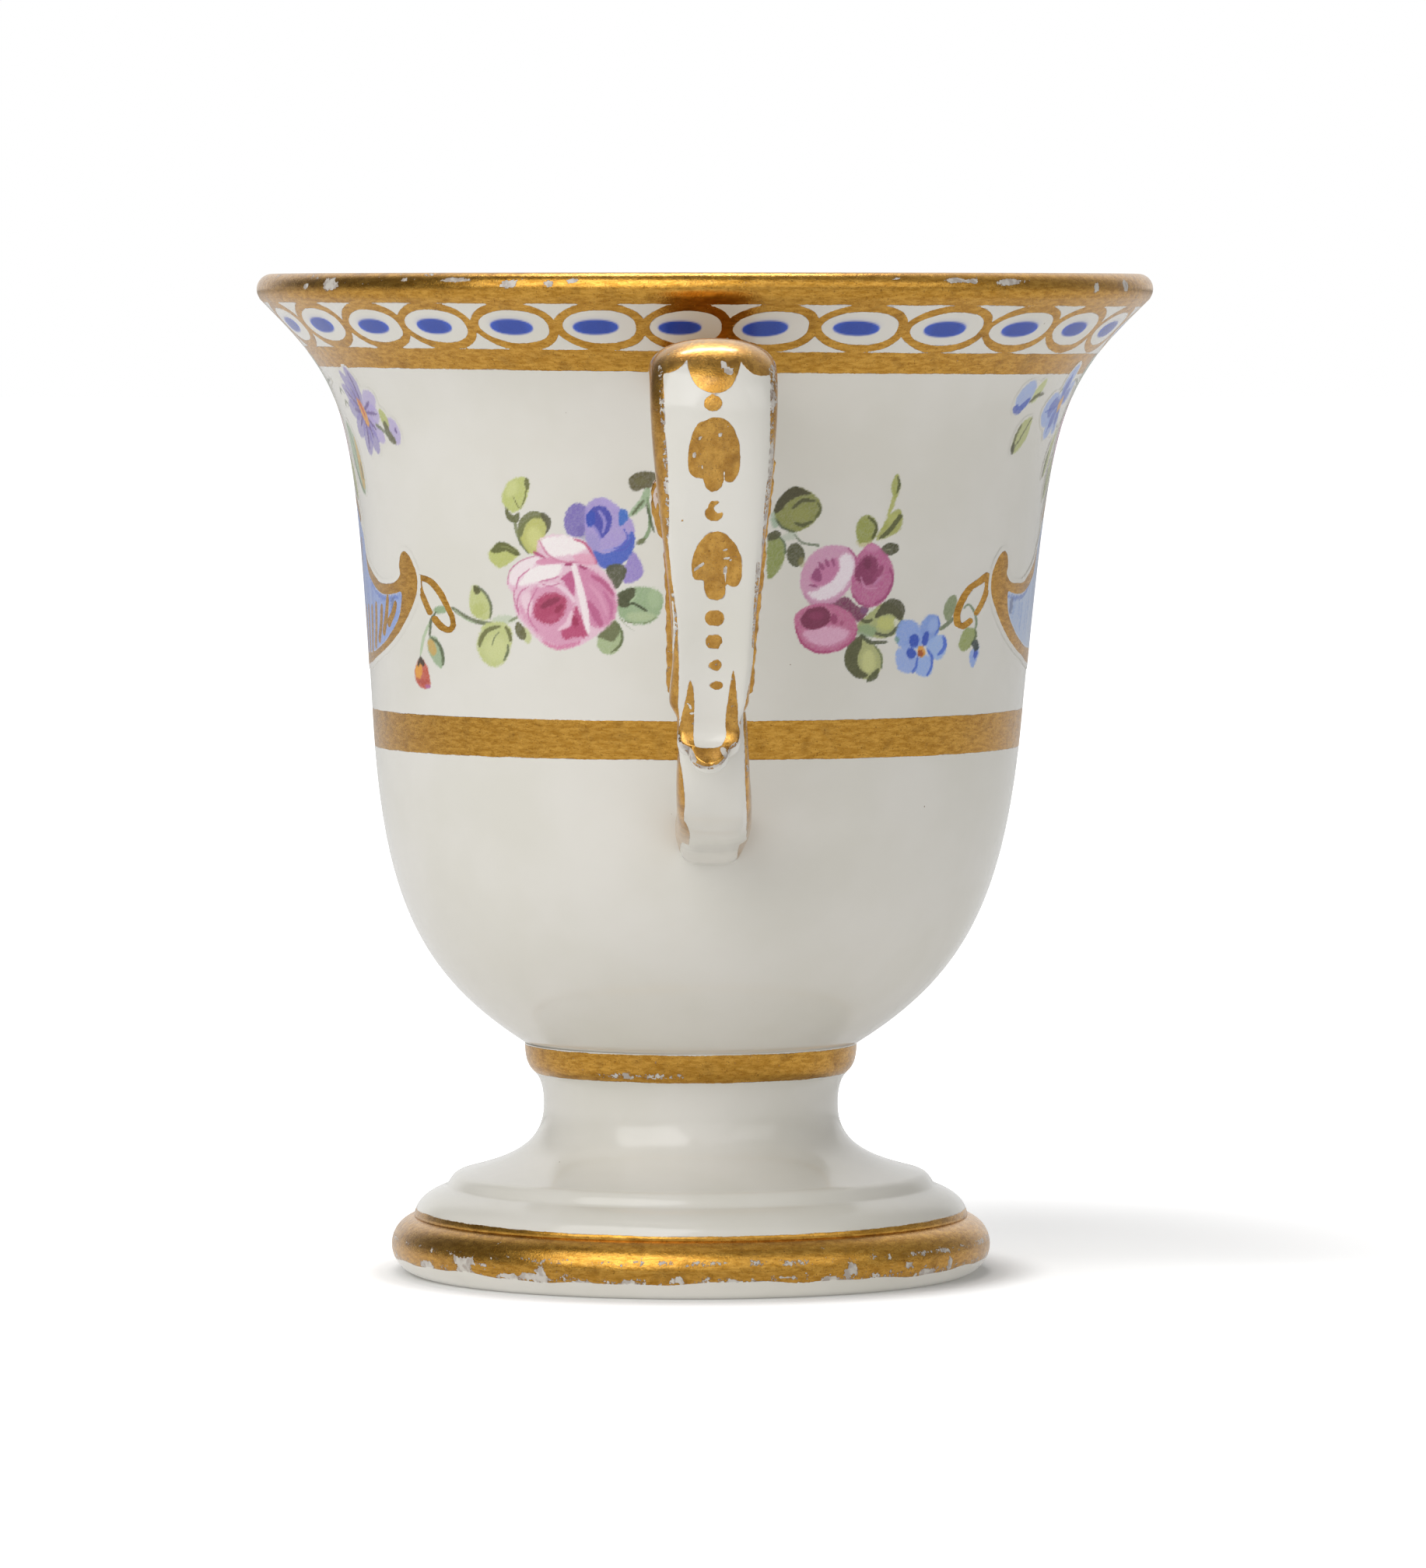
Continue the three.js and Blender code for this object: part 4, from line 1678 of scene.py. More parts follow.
    def draw_upper_leaves(self, canvas: Canvas) -> None:
        """Draws the leaves above the rose and their stem.

        Args:
            canvas: Canvas to paint on.
        """
        canvas.stroke([(655, 320), (664, 380), (690, 440), (732, 508)], 12, (128, 134, 92))
        canvas.blob([(722, 66), (742, 110), (720, 200), (690, 250), (640, 270), (588, 230), (578, 160),
                     (618, 92), (668, 62)], (190, 196, 118), soft=12)
        canvas.dab((636, 130), (34, 50), (208, 212, 150), tilt=20, strength=0.6, soft=20)
        canvas.blob([(600, 238), (640, 286), (682, 270), (672, 332), (620, 322), (598, 280)], (100, 103, 56),
                    soft=6)
        canvas.dab((726, 100), (15, 36), (112, 114, 66), tilt=-6, soft=6)
        canvas.stroke([(722, 130), (712, 190), (690, 244)], 5, (118, 121, 70), soft=4)
        canvas.stroke([(645, 178), (668, 228), (690, 254)], 3, (112, 112, 62), soft=3)
        canvas.blob([(690, 350), (740, 300), (818, 290), (850, 340), (830, 420), (800, 500), (740, 512),
                     (690, 442), (670, 392)], (188, 189, 106), soft=10)
        canvas.dab((772, 420), (44, 66), (210, 211, 142), tilt=-8, strength=0.7, soft=26)
        canvas.stroke([(686, 408), (700, 334), (756, 285), (822, 292)], 24, (114, 118, 70), taper=(0.4, 0.5))
        canvas.blob([(818, 268), (866, 308), (868, 352), (836, 402), (840, 350), (812, 300)], (94, 92, 62),
                    soft=6)
        canvas.stroke([(676, 400), (690, 460), (735, 515)], 6, (110, 116, 74))
        canvas.blob([(506, 498), (560, 448), (640, 470), (682, 515), (640, 560), (568, 602), (518, 566),
                     (498, 524)], (186, 191, 110), soft=12)
        canvas.blob([(514, 492), (562, 444), (632, 464), (688, 515), (660, 528), (602, 500), (550, 512),
                     (520, 507)], (98, 101, 50), soft=6)
        canvas.stroke([(560, 470), (610, 478), (650, 500)], 4, (140, 144, 84), soft=4)

    def draw_violet_rose(self, canvas: Canvas) -> None:
        """Draws the violet rose behind the great one.

        Args:
            canvas: Canvas to paint on.
        """
        canvas.dab((1022, 318), (76, 104), INK.violet, tilt=8, soft=14)
        canvas.dab((1060, 390), (46, 46), (112, 100, 168), strength=0.5, soft=22)
        canvas.blob([(1350, 500), (1400, 560), (1416, 630), (1372, 680), (1302, 690), (1288, 620),
                     (1320, 560)], (152, 134, 197), soft=10)
        canvas.blob([(1080, 230), (1140, 185), (1210, 194), (1280, 250), (1350, 320), (1366, 400),
                     (1350, 490), (1310, 560), (1240, 606), (1168, 600), (1118, 540), (1078, 450),
                     (1068, 330)], INK.violet_pale, soft=12)
        canvas.dab((1112, 460), (46, 62), (154, 146, 198), strength=0.6, soft=26)
        canvas.blob([(1118, 500), (1200, 514), (1290, 462), (1346, 384), (1368, 440), (1342, 520),
                     (1282, 580), (1200, 608), (1148, 572)], (76, 100, 188), soft=10)
        canvas.stroke([(1180, 500), (1262, 478), (1330, 420)], 9, (150, 150, 212), strength=0.7)
        canvas.blob([(1078, 300), (1118, 240), (1188, 238), (1228, 300), (1216, 372), (1170, 422),
                     (1144, 378), (1108, 330)], (74, 76, 170), soft=8)
        canvas.dab((1104, 308), (28, 50), (58, 80, 178), tilt=8, soft=8)
        canvas.stroke([(1152, 262), (1186, 320), (1176, 392)], 10, (160, 148, 206), strength=0.85)
        canvas.stroke([(1120, 352), (1146, 388), (1160, 430)], 8, (142, 134, 200), strength=0.8)
        canvas.blob([(1274, 256), (1320, 262), (1324, 310), (1276, 352)], (66, 112, 192), soft=7)
        canvas.stroke([(1300, 370), (1322, 420), (1286, 470), (1236, 486)], 6, (92, 98, 190), soft=5)
        canvas.stroke([(1246, 500), (1310, 484), (1352, 420)], 5, (86, 92, 186), soft=5)
        canvas.dab((1218, 222), (60, 22), (176, 160, 212), tilt=30, strength=0.6, soft=14)

    def draw_leaves_by_handle(self, canvas: Canvas) -> None:
        """Draws the leaves right of the rose, up to the handle.

        Args:
            canvas: Canvas to paint on.
        """
        canvas.stroke([(1440, 130), (1418, 204), (1336, 290)], 24, (152, 175, 138), soft=12)
        canvas.stroke([(1352, 282), (1388, 236), (1422, 198)], 8, (96, 106, 72))
        canvas.stroke([(1440, 190), (1456, 320), (1440, 400), (1392, 456)], 12, (132, 154, 114))
        canvas.stroke([(1434, 222), (1452, 292), (1466, 348), (1482, 392)], 9, INK.sea_dark)
        canvas.dab((1402, 444), (30, 17), (112, 117, 80), tilt=-30)
        canvas.blob([(1336, 62), (1400, 30), (1492, 38), (1494, 112), (1420, 130), (1360, 148), (1328, 102)],
                    (96, 89, 52), soft=8)
        canvas.dab((1400, 84), (40, 22), (112, 108, 62), strength=0.5, soft=14)
        canvas.blob([(1196, 600), (1260, 575), (1312, 600), (1302, 660), (1255, 726), (1212, 672)],
                    (86, 86, 62), soft=7)
        canvas.blob([(1258, 762), (1330, 718), (1440, 714), (1520, 750), (1530, 822), (1480, 912),
                     (1380, 938), (1290, 902), (1252, 830)], (150, 173, 132), soft=14)
        canvas.dab((1400, 888), (86, 30), (190, 200, 160), strength=0.6, soft=20)
        canvas.dab((1480, 780), (36, 60), (178, 196, 156), strength=0.5, soft=24)
        canvas.blob([(1256, 762), (1300, 732), (1362, 716), (1362, 770), (1322, 832), (1268, 822)],
                    (76, 79, 48), soft=7)
        canvas.stroke([(1326, 800), (1380, 822), (1436, 856)], 8, (66, 76, 46), soft=4)
        canvas.stroke([(1334, 806), (1376, 762)], 6, (176, 194, 156), soft=4)
        canvas.stroke([(1272, 900), (1340, 926), (1430, 926), (1492, 892)], 3, (120, 130, 90), soft=3)
        canvas.stroke([(1278, 904), (1320, 946), (1360, 972)], 3, (170, 175, 150), soft=4)
        canvas.blob([(1246, 908), (1292, 980), (1288, 1060), (1230, 1112), (1168, 1100), (1140, 1040),
                     (1180, 970)], (166, 181, 136), soft=12)
        canvas.blob([(1146, 1002), (1222, 918), (1266, 930), (1272, 990), (1232, 1036), (1186, 1022)],
                    (110, 115, 76), soft=8)
        canvas.stroke([(1264, 930), (1292, 1000), (1276, 1060), (1226, 1100)], 9, (98, 108, 66))

    def draw_great_rose(self, canvas: Canvas) -> None:
        """Draws the great rose: pale wash, white petals, deep heart and fine outlines.

        Args:
            canvas: Canvas to paint on.
        """
        canvas.blob([(640, 620), (700, 560), (780, 524), (792, 440), (870, 404), (960, 410), (1050, 440),
                     (1112, 500), (1132, 572), (1200, 640), (1256, 740), (1262, 850), (1224, 930),
                     (1150, 990), (1060, 1050), (980, 1076), (890, 1080), (800, 1032), (720, 950),
                     (658, 860), (644, 760), (608, 692)], (226, 190, 206), soft=14)
        canvas.blob([(700, 770), (800, 700), (900, 686), (1000, 740), (1010, 900), (1082, 1000), (960, 1068),
                     (860, 1050), (760, 964), (688, 866)], (214, 152, 180), 0.85, soft=26)
        canvas.blob([(1010, 588), (1120, 616), (1212, 700), (1254, 800), (1244, 900), (1170, 952),
                     (1104, 940), (1070, 850), (1038, 720)], (206, 132, 167), 0.9, soft=18)
        canvas.blob([(806, 432), (930, 408), (1060, 438), (1078, 480), (1000, 520), (880, 532), (828, 492)],
                    (240, 234, 232), soft=18)
        canvas.blob([(640, 612), (720, 545), (802, 538), (762, 590), (702, 640), (660, 702), (618, 680)],
                    (236, 224, 226), soft=14)
        canvas.blob([(738, 612), (830, 578), (930, 584), (905, 650), (800, 684), (700, 704), (682, 690)],
                    (240, 234, 232), soft=16)
        canvas.blob([(692, 780), (736, 740), (760, 800), (750, 880), (716, 860)], (238, 222, 226), 0.7,
                    soft=18)
        canvas.blob([(788, 790), (860, 748), (930, 758), (962, 800), (942, 880), (880, 932), (810, 920),
                     (764, 870)], (176, 66, 102), soft=20)
        canvas.stroke([(818, 832), (868, 802), (914, 784)], 19, (142, 46, 78), soft=9)
        canvas.stroke([(900, 856), (934, 824)], 17, (152, 46, 80), soft=9)
        canvas.stroke([(850, 900), (900, 890)], 14, (190, 90, 125), strength=0.6, soft=12)
        canvas.blob([(930, 962), (988, 942), (1008, 828), (1040, 868), (1062, 940), (1088, 1000),
                     (1010, 1012), (948, 1020)], (184, 74, 114), soft=16)
        canvas.stroke([(1000, 892), (1020, 940)], 20, (162, 46, 86), soft=12)
        canvas.stroke([(920, 962), (968, 930), (990, 858)], 15, (236, 208, 218), strength=0.8, soft=10)
        canvas.stroke([(800, 706), (900, 700), (980, 760), (1004, 800)], 13, (236, 216, 224), strength=0.75,
                      soft=10)
        canvas.blob([(930, 660), (1000, 622), (1006, 762), (952, 690)], (190, 92, 137), soft=9)
        canvas.stroke([(1110, 648), (1182, 690), (1244, 768)], 13, (184, 92, 134), soft=9)
        canvas.stroke([(1088, 800), (1130, 870), (1162, 932)], 24, (186, 96, 138), taper=(0.4, 0.6), soft=12)
        canvas.stroke([(1100, 700), (1160, 780), (1200, 880)], 12, (222, 164, 190), strength=0.6, soft=10)
        canvas.stroke([(1180, 740), (1225, 820), (1220, 900)], 11, (192, 108, 150), strength=0.8, soft=9)
        canvas.stroke([(1004, 590), (1040, 720), (1070, 850), (1090, 988)], 21, (240, 230, 230),
                      taper=(0.7, 0.25), soft=7)
        canvas.dab((972, 579), (24, 9), (164, 60, 106), soft=7)
        canvas.stroke([(1036, 588), (1082, 606)], 9, (166, 62, 108))
        canvas.stroke([(766, 506), (838, 542)], 9, (178, 78, 118))
        canvas.stroke([(1000, 428), (1062, 450), (1104, 500), (1136, 572)], 8, (192, 88, 126),
                      taper=(0.2, 0.9))
        canvas.stroke([(800, 436), (850, 520), (930, 562), (1040, 566), (1122, 572)], 6, (202, 124, 154),
                      soft=6)
        canvas.blob([(780, 560), (850, 540), (930, 566), (870, 578), (800, 580)], (212, 140, 170), 0.8,
                    soft=8)
        canvas.blob([(1000, 530), (1110, 520), (1130, 576), (1050, 580)], (222, 160, 184), 0.8, soft=10)
        for line in (
            [(614, 694), (624, 620), (690, 558), (794, 522)],
            [(662, 728), (680, 660), (744, 606)],
            [(800, 682), (870, 666), (924, 648)],
            [(820, 700), (870, 706), (920, 690)],
            [(678, 872), (668, 800), (690, 742), (732, 714)],
            [(790, 976), (740, 900), (738, 820), (790, 716)],
            [(650, 720), (652, 800), (680, 880)],
        ):
            canvas.stroke(line, 4.5, (196, 112, 150), soft=4, strength=0.85)
        canvas.stroke([(826, 1042), (900, 1074), (984, 1062), (1040, 1040)], 13, (204, 104, 146),
                      strength=0.6, soft=12)


@dataclass
class ThreeRoseSpray(Spray):
    """The spray right of the handle: three small roses, leaves and a blue flower."""

    name: str = "three_rose_spray"
    corner: Pair = (980.0, 600.0)
    units_per_pixel: float = 4.9
    turn_from: float = 6.0
    turn_to: float = 62.0
    seed: int = 4

    def draw(self, canvas: Canvas) -> None:
        """Draws the motifs from the back to the front.

        Args:
            canvas: Canvas to paint on.
        """
        self.draw_leaves_by_handle(canvas)
        self.draw_top_leaves(canvas)
        self.draw_right_leaves(canvas)
        self.draw_roses(canvas)
        self.draw_blue_flower(canvas)
        self.draw_loop_and_bud(canvas)

    def draw_leaves_by_handle(self, canvas: Canvas) -> None:
        """Draws the leaves that come out from behind the handle.

        Args:
            canvas: Canvas to paint on.
        """
        canvas.dab((82, 330), (30, 56), (152, 176, 150), strength=0.8, soft=16)
        canvas.dab((170, 440), (52, 26), (176, 190, 170), tilt=-14, strength=0.6, soft=16)
        canvas.blob([(78, 250), (140, 160), (220, 124), (320, 170), (372, 240), (350, 320), (270, 392),
                     (180, 412), (110, 370), (78, 310)], INK.moss, soft=9)
        canvas.dab((240, 300), (60, 40), (152, 154, 84), strength=0.6, soft=30)
        canvas.blob([(74, 292), (90, 220), (150, 150), (220, 124), (308, 172), (250, 180), (170, 216),
                     (118, 274)], (76, 71, 40), soft=7)
        canvas.stroke([(192, 262), (252, 214), (334, 216)], 12, (82, 82, 44), soft=5)
        canvas.stroke([(350, 230), (366, 272), (328, 334)], 10, (96, 99, 52), soft=6)
        canvas.stroke([(204, 354), (252, 368), (314, 344)], 12, (86, 89, 46), soft=5)
        canvas.stroke([(86, 332), (130, 386), (206, 412)], 9, (86, 96, 62))
        canvas.stroke([(203, 428), (250, 478), (352, 496)], 9, (120, 130, 106), taper=(0.4, 1.0))
        canvas.blob([(36, 450), (100, 430), (142, 500), (132, 600), (82, 680), (30, 694)], (142, 152, 82),
                    soft=10)
        canvas.blob([(36, 424), (90, 400), (116, 420), (100, 450), (36, 466)], (86, 86, 52), soft=6)
        canvas.stroke([(110, 440), (142, 490), (140, 560)], 8, (96, 112, 80))
        canvas.dab((210, 556), (58, 76), (82, 83, 47), tilt=-6, soft=8)
        canvas.dab((246, 604), (22, 34), (168, 160, 96), strength=0.5)

    def draw_top_leaves(self, canvas: Canvas) -> None:
        """Draws the two leaves and the tall sprig above the roses.

        Args:
            canvas: Canvas to paint on.
        """
        canvas.dab((640, 482), (48, 26), (192, 184, 116), strength=0.7, soft=18)
        canvas.stroke([(790, 310), (818, 235), (840, 150)], 14, (178, 180, 98), soft=9)
        canvas.blob([(600, 472), (588, 390), (620, 320), (672, 304), (722, 350), (722, 420), (690, 470),
                     (640, 480)], (152, 157, 78), soft=10)
        canvas.blob([(716, 462), (756, 372), (800, 300), (862, 268), (884, 330), (862, 402), (790, 442)],
                    (168, 171, 88), soft=11)
        canvas.dab((820, 330), (34, 40), (190, 192, 118), tilt=30, strength=0.5, soft=20)
        canvas.stroke([(668, 318), (712, 358), (716, 400), (690, 454)], 11, (86, 89, 40), soft=5)
        canvas.stroke([(738, 452), (800, 400), (868, 312)], 15, (92, 94, 50), taper=(0.3, 0.9), soft=5)
        canvas.blob([(818, 92), (850, 44), (870, 100), (862, 160), (836, 202), (810, 150)], (168, 172, 92),
                    soft=9)
        canvas.stroke([(854, 66), (862, 112), (844, 172)], 9, (88, 92, 48), soft=5)
        canvas.blob([(744, 520), (790, 480), (850, 488), (856, 532), (800, 562), (754, 550)], (77, 77, 43),
                    soft=6)
        canvas.stroke([(766, 528), (812, 520)], 4, (150, 152, 122), soft=4)

    def draw_right_leaves(self, canvas: Canvas) -> None:
        """Draws the leaves right of the roses and below them.

        Args:
            canvas: Canvas to paint on.
        """
        canvas.blob([(606, 980), (700, 900), (760, 858), (850, 880), (888, 950), (870, 1022), (800, 1072),
                     (720, 1082), (650, 1052), (598, 1030)], (168, 173, 112), soft=10)
        canvas.dab((648, 1036), (70, 44), (140, 163, 124), strength=0.8, soft=20)
        canvas.dab((776, 985), (58, 44), (196, 198, 118), tilt=-20, strength=0.8, soft=22)
        canvas.dab((850, 1000), (20, 46), (222, 222, 208), tilt=-12, strength=0.8, soft=12)
        canvas.blob([(708, 952), (742, 880), (800, 834), (862, 840), (898, 890), (888, 942), (860, 966),
                     (812, 930), (760, 936)], (81, 79, 49), soft=6)
        canvas.stroke([(606, 950), (650, 976), (694, 964)], 13, (86, 89, 52), soft=5)
        canvas.stroke([(716, 1052), (790, 1062), (852, 1010), (882, 956)], 11, (86, 91, 62),
                      taper=(0.9, 0.3), soft=5)
        canvas.blob([(620, 1068), (690, 1110), (752, 1180), (748, 1270), (700, 1332), (620, 1334),
                     (548, 1282), (516, 1200), (556, 1110)], (172, 175, 114), soft=9)
        canvas.dab((668, 1226), (44, 72), (204, 206, 142), strength=0.8, soft=24)
        canvas.blob([(622, 1066), (560, 1100), (516, 1180), (528, 1272), (600, 1336), (664, 1314),
                     (612, 1270), (598, 1200), (624, 1130)], (86, 87, 50), soft=6)
        canvas.stroke([(622, 1060), (680, 1106), (784, 1104)], 14, (80, 86, 56), soft=5)
        canvas.stroke([(700, 1118), (746, 1190), (748, 1276)], 7, (112, 122, 82), soft=5)
        canvas.blob([(652, 1354), (680, 1310), (732, 1268), (726, 1322), (690, 1352)], (86, 91, 51), soft=6)

    def draw_roses(self, canvas: Canvas) -> None:
        """Draws the three roses: a pale one, a magenta one and a low one.

        Args:
            canvas: Canvas to paint on.
        """
        canvas.blob([(400, 872), (520, 818), (600, 880), (656, 880), (662, 920), (600, 978), (540, 920),
                     (480, 890)], (124, 52, 88), soft=9)
        canvas.dab((640, 905), (24, 26), (132, 84, 124), soft=10)
        canvas.blob([(238, 752), (250, 650), (300, 560), (380, 506), (470, 494), (560, 520), (588, 600),
                     (572, 700), (530, 790), (440, 862), (330, 872), (262, 812)], (206, 152, 182), soft=12)
        canvas.blob([(286, 800), (350, 772), (430, 700), (472, 620), (500, 556), (562, 556), (574, 640),
                     (540, 732), (460, 812), (358, 842)], (236, 226, 231), soft=18)
        canvas.blob([(296, 712), (340, 640), (400, 598), (462, 578), (484, 640), (432, 722), (358, 752)],
                    (198, 124, 164), soft=16)
        canvas.blob([(306, 700), (330, 650), (356, 640), (376, 706), (350, 726)], (154, 74, 120), soft=7)
        canvas.stroke([(358, 608), (386, 648)], 13, (158, 80, 124), soft=6)
        canvas.stroke([(398, 588), (416, 630)], 12, (158, 80, 124), soft=6)
        canvas.stroke([(440, 582), (452, 624)], 10, (158, 80, 124), soft=6)
        canvas.stroke([(296, 744), (350, 758)], 7, (152, 72, 118), soft=5)
        canvas.stroke([(262, 806), (320, 868), (420, 862)], 10, (190, 128, 164), strength=0.7, soft=9)
        canvas.stroke([(540, 516), (588, 572), (590, 652)], 8, (172, 84, 130), soft=6)
        canvas.blob([(598, 560), (680, 480), (742, 510), (802, 580), (828, 680), (802, 792), (732, 872),
                     (640, 884), (568, 820), (556, 720), (588, 640)], (188, 100, 146), soft=10)
        canvas.dab((688, 512), (44, 24), (204, 138, 172), strength=0.8, soft=14)
        canvas.blob([(586, 646), (640, 568), (704, 566), (728, 640), (706, 726), (640, 744), (586, 702)],
                    (138, 50, 94), soft=18)
        canvas.dab((660, 610), (26, 34), (118, 36, 76), strength=0.8, soft=14)
        canvas.stroke([(700, 704), (742, 662), (752, 626)], 16, (152, 64, 108), soft=9)
        canvas.stroke([(618, 694), (650, 762), (724, 764)], 7, (208, 146, 180), strength=0.8)
        canvas.stroke([(700, 744), (752, 690)], 8, (198, 134, 174), strength=0.7)
        canvas.stroke([(802, 640), (820, 720), (772, 822), (700, 868)], 9, (162, 68, 118), soft=7)
        canvas.stroke([(566, 800), (610, 860), (680, 884)], 8, (166, 76, 122), soft=7)
        canvas.blob([(206, 932), (280, 880), (380, 860), (480, 880), (562, 930), (598, 1010), (572, 1090),
                     (500, 1152), (400, 1178), (300, 1162), (228, 1092), (202, 1000)], (192, 104, 144),
                    soft=10)
        canvas.blob([(258, 1046), (360, 1012), (470, 1008), (544, 1042), (504, 1100), (400, 1132),
                     (300, 1102)], (220, 172, 196), soft=24)
        canvas.blob([(238, 962), (290, 898), (380, 884), (424, 920), (418, 982), (340, 1024), (268, 1016)],
                    (124, 40, 76), soft=8)
        canvas.dab((340, 940), (46, 26), (150, 58, 98), strength=0.6, soft=14)
        canvas.dab((450, 960), (22, 34), (156, 66, 108), soft=9)
        canvas.dab((500, 985), (12, 16), (170, 84, 122), soft=7)
        canvas.stroke([(208, 1010), (250, 1112), (340, 1168), (446, 1162)], 9, (170, 68, 114), soft=7)
        canvas.stroke([(470, 1160), (560, 1100), (594, 1030)], 9, (176, 80, 124), strength=0.8, soft=8)

    def draw_blue_flower(self, canvas: Canvas) -> None:
        """Draws the blue flower with five petals and a yellow heart.

        Args:
            canvas: Canvas to paint on.
        """
        pale = (140, 166, 222)
        canvas.blob([(990, 1022), (1030, 944), (1092, 932), (1118, 980), (1106, 1052), (1060, 1112),
                     (1008, 1122)], (128, 157, 217), soft=11)
        canvas.blob([(878, 968), (962, 974), (1002, 1050), (1002, 1132), (940, 1152), (860, 1132),
                     (838, 1070), (848, 1010)], pale, soft=12)
        canvas.blob([(848, 1150), (930, 1140), (986, 1190), (970, 1272), (930, 1302), (858, 1282),
                     (838, 1212)], (152, 174, 224), soft=11)
        canvas.blob([(1000, 1190), (1060, 1200), (1072, 1270), (1042, 1322), (980, 1312), (958, 1270)],
                    (152, 178, 228), soft=11)
        canvas.blob([(1036, 1112), (1108, 1060), (1152, 1078), (1154, 1160), (1112, 1216), (1046, 1192)],
                    (156, 182, 227), soft=11)
        canvas.dab((1075, 1000), (30, 46), (172, 192, 232), tilt=20, strength=0.5, soft=20)
        canvas.dab((955, 1096), (32, 42), INK.blue_deep, tilt=10, soft=7)
        canvas.dab((1025, 1084), (19, 48), INK.blue_deep, tilt=14, soft=7)
        canvas.dab((936, 1176), (29, 35), INK.blue_deep, tilt=-10, soft=7)
        canvas.stroke([(1036, 1150), (1066, 1200), (1062, 1260), (1034, 1318)], 9, (74, 108, 202), soft=6)
        canvas.stroke([(976, 1200), (966, 1260), (940, 1302)], 8, (74, 108, 202), soft=6)
        canvas.stroke([(1140, 1070), (1148, 1132), (1104, 1186)], 13, (78, 112, 207), soft=7)
        canvas.stroke([(1106, 948), (1112, 1010), (1084, 1062)], 6, (84, 118, 207), soft=5)
        canvas.dab((1000, 1164), (25, 36), INK.ochre, tilt=-10, soft=7)
        canvas.dab((993, 1176), (18, 22), (166, 80, 28), soft=6)
        canvas.dab((846, 1090), (14, 20), (110, 152, 132), strength=0.7)

    def draw_loop_and_bud(self, canvas: Canvas) -> None:
        """Draws the gilt loop, the arching stem, the hanging leaf and the blue bud.

        Args:
            canvas: Canvas to paint on.
        """
        canvas.stroke([(1122, 1022), (1170, 986), (1208, 948)], 13, (112, 123, 92), taper=(1.0, 0.5))
        canvas.blob([(1150, 962), (1140, 900), (1170, 830), (1216, 808), (1224, 860), (1200, 930),
                     (1172, 970)], (136, 147, 106), soft=7)
        canvas.gild_stroke([(1412, 684), (1368, 722), (1308, 764), (1260, 836), (1226, 922), (1228, 988)], 21,
                           (0.8, 1.0))
        canvas.gild_stroke([(1228, 988), (1262, 1004), (1306, 972)], 19)
        canvas.gild_stroke([(1418, 690), (1412, 772), (1382, 858), (1346, 922)], 16, (1.1, 1.0))
        canvas.gild_dot((1414, 690), (20, 19))
        canvas.stroke([(1268, 892), (1298, 868), (1334, 918), (1346, 990), (1326, 1052)], 8, (112, 132, 92))
        canvas.blob([(1288, 1012), (1346, 1030), (1342, 1090), (1300, 1142), (1258, 1166), (1234, 1130),
                     (1250, 1062)], (150, 161, 92), soft=10)
        canvas.stroke([(1340, 1030), (1342, 1070), (1312, 1120)], 7, (96, 108, 66), soft=5)
        canvas.blob([(1300, 1192), (1330, 1140), (1362, 1120), (1356, 1192), (1320, 1268)], INK.blue_pale,
                    soft=9)
        canvas.dab((1340, 1178), (13, 32), (62, 92, 190), tilt=8, soft=6)
        canvas.blob([(1318, 1112), (1350, 1088), (1362, 1140), (1336, 1162)], (46, 60, 58), soft=6)


# Painted sides


def as_points(places: list[Array]) -> Points:
    """Turns places on a plane into points for the brush."""
    return [(float(place[0]), float(place[1])) for place in places]


def half_across(along: Array, width: float) -> Array:
    """Returns a step of half a width to the left of a direction."""
    return np.array([-along[1], along[0]]) / max(float(np.linalg.norm(along)), 1e-6) * width / 2


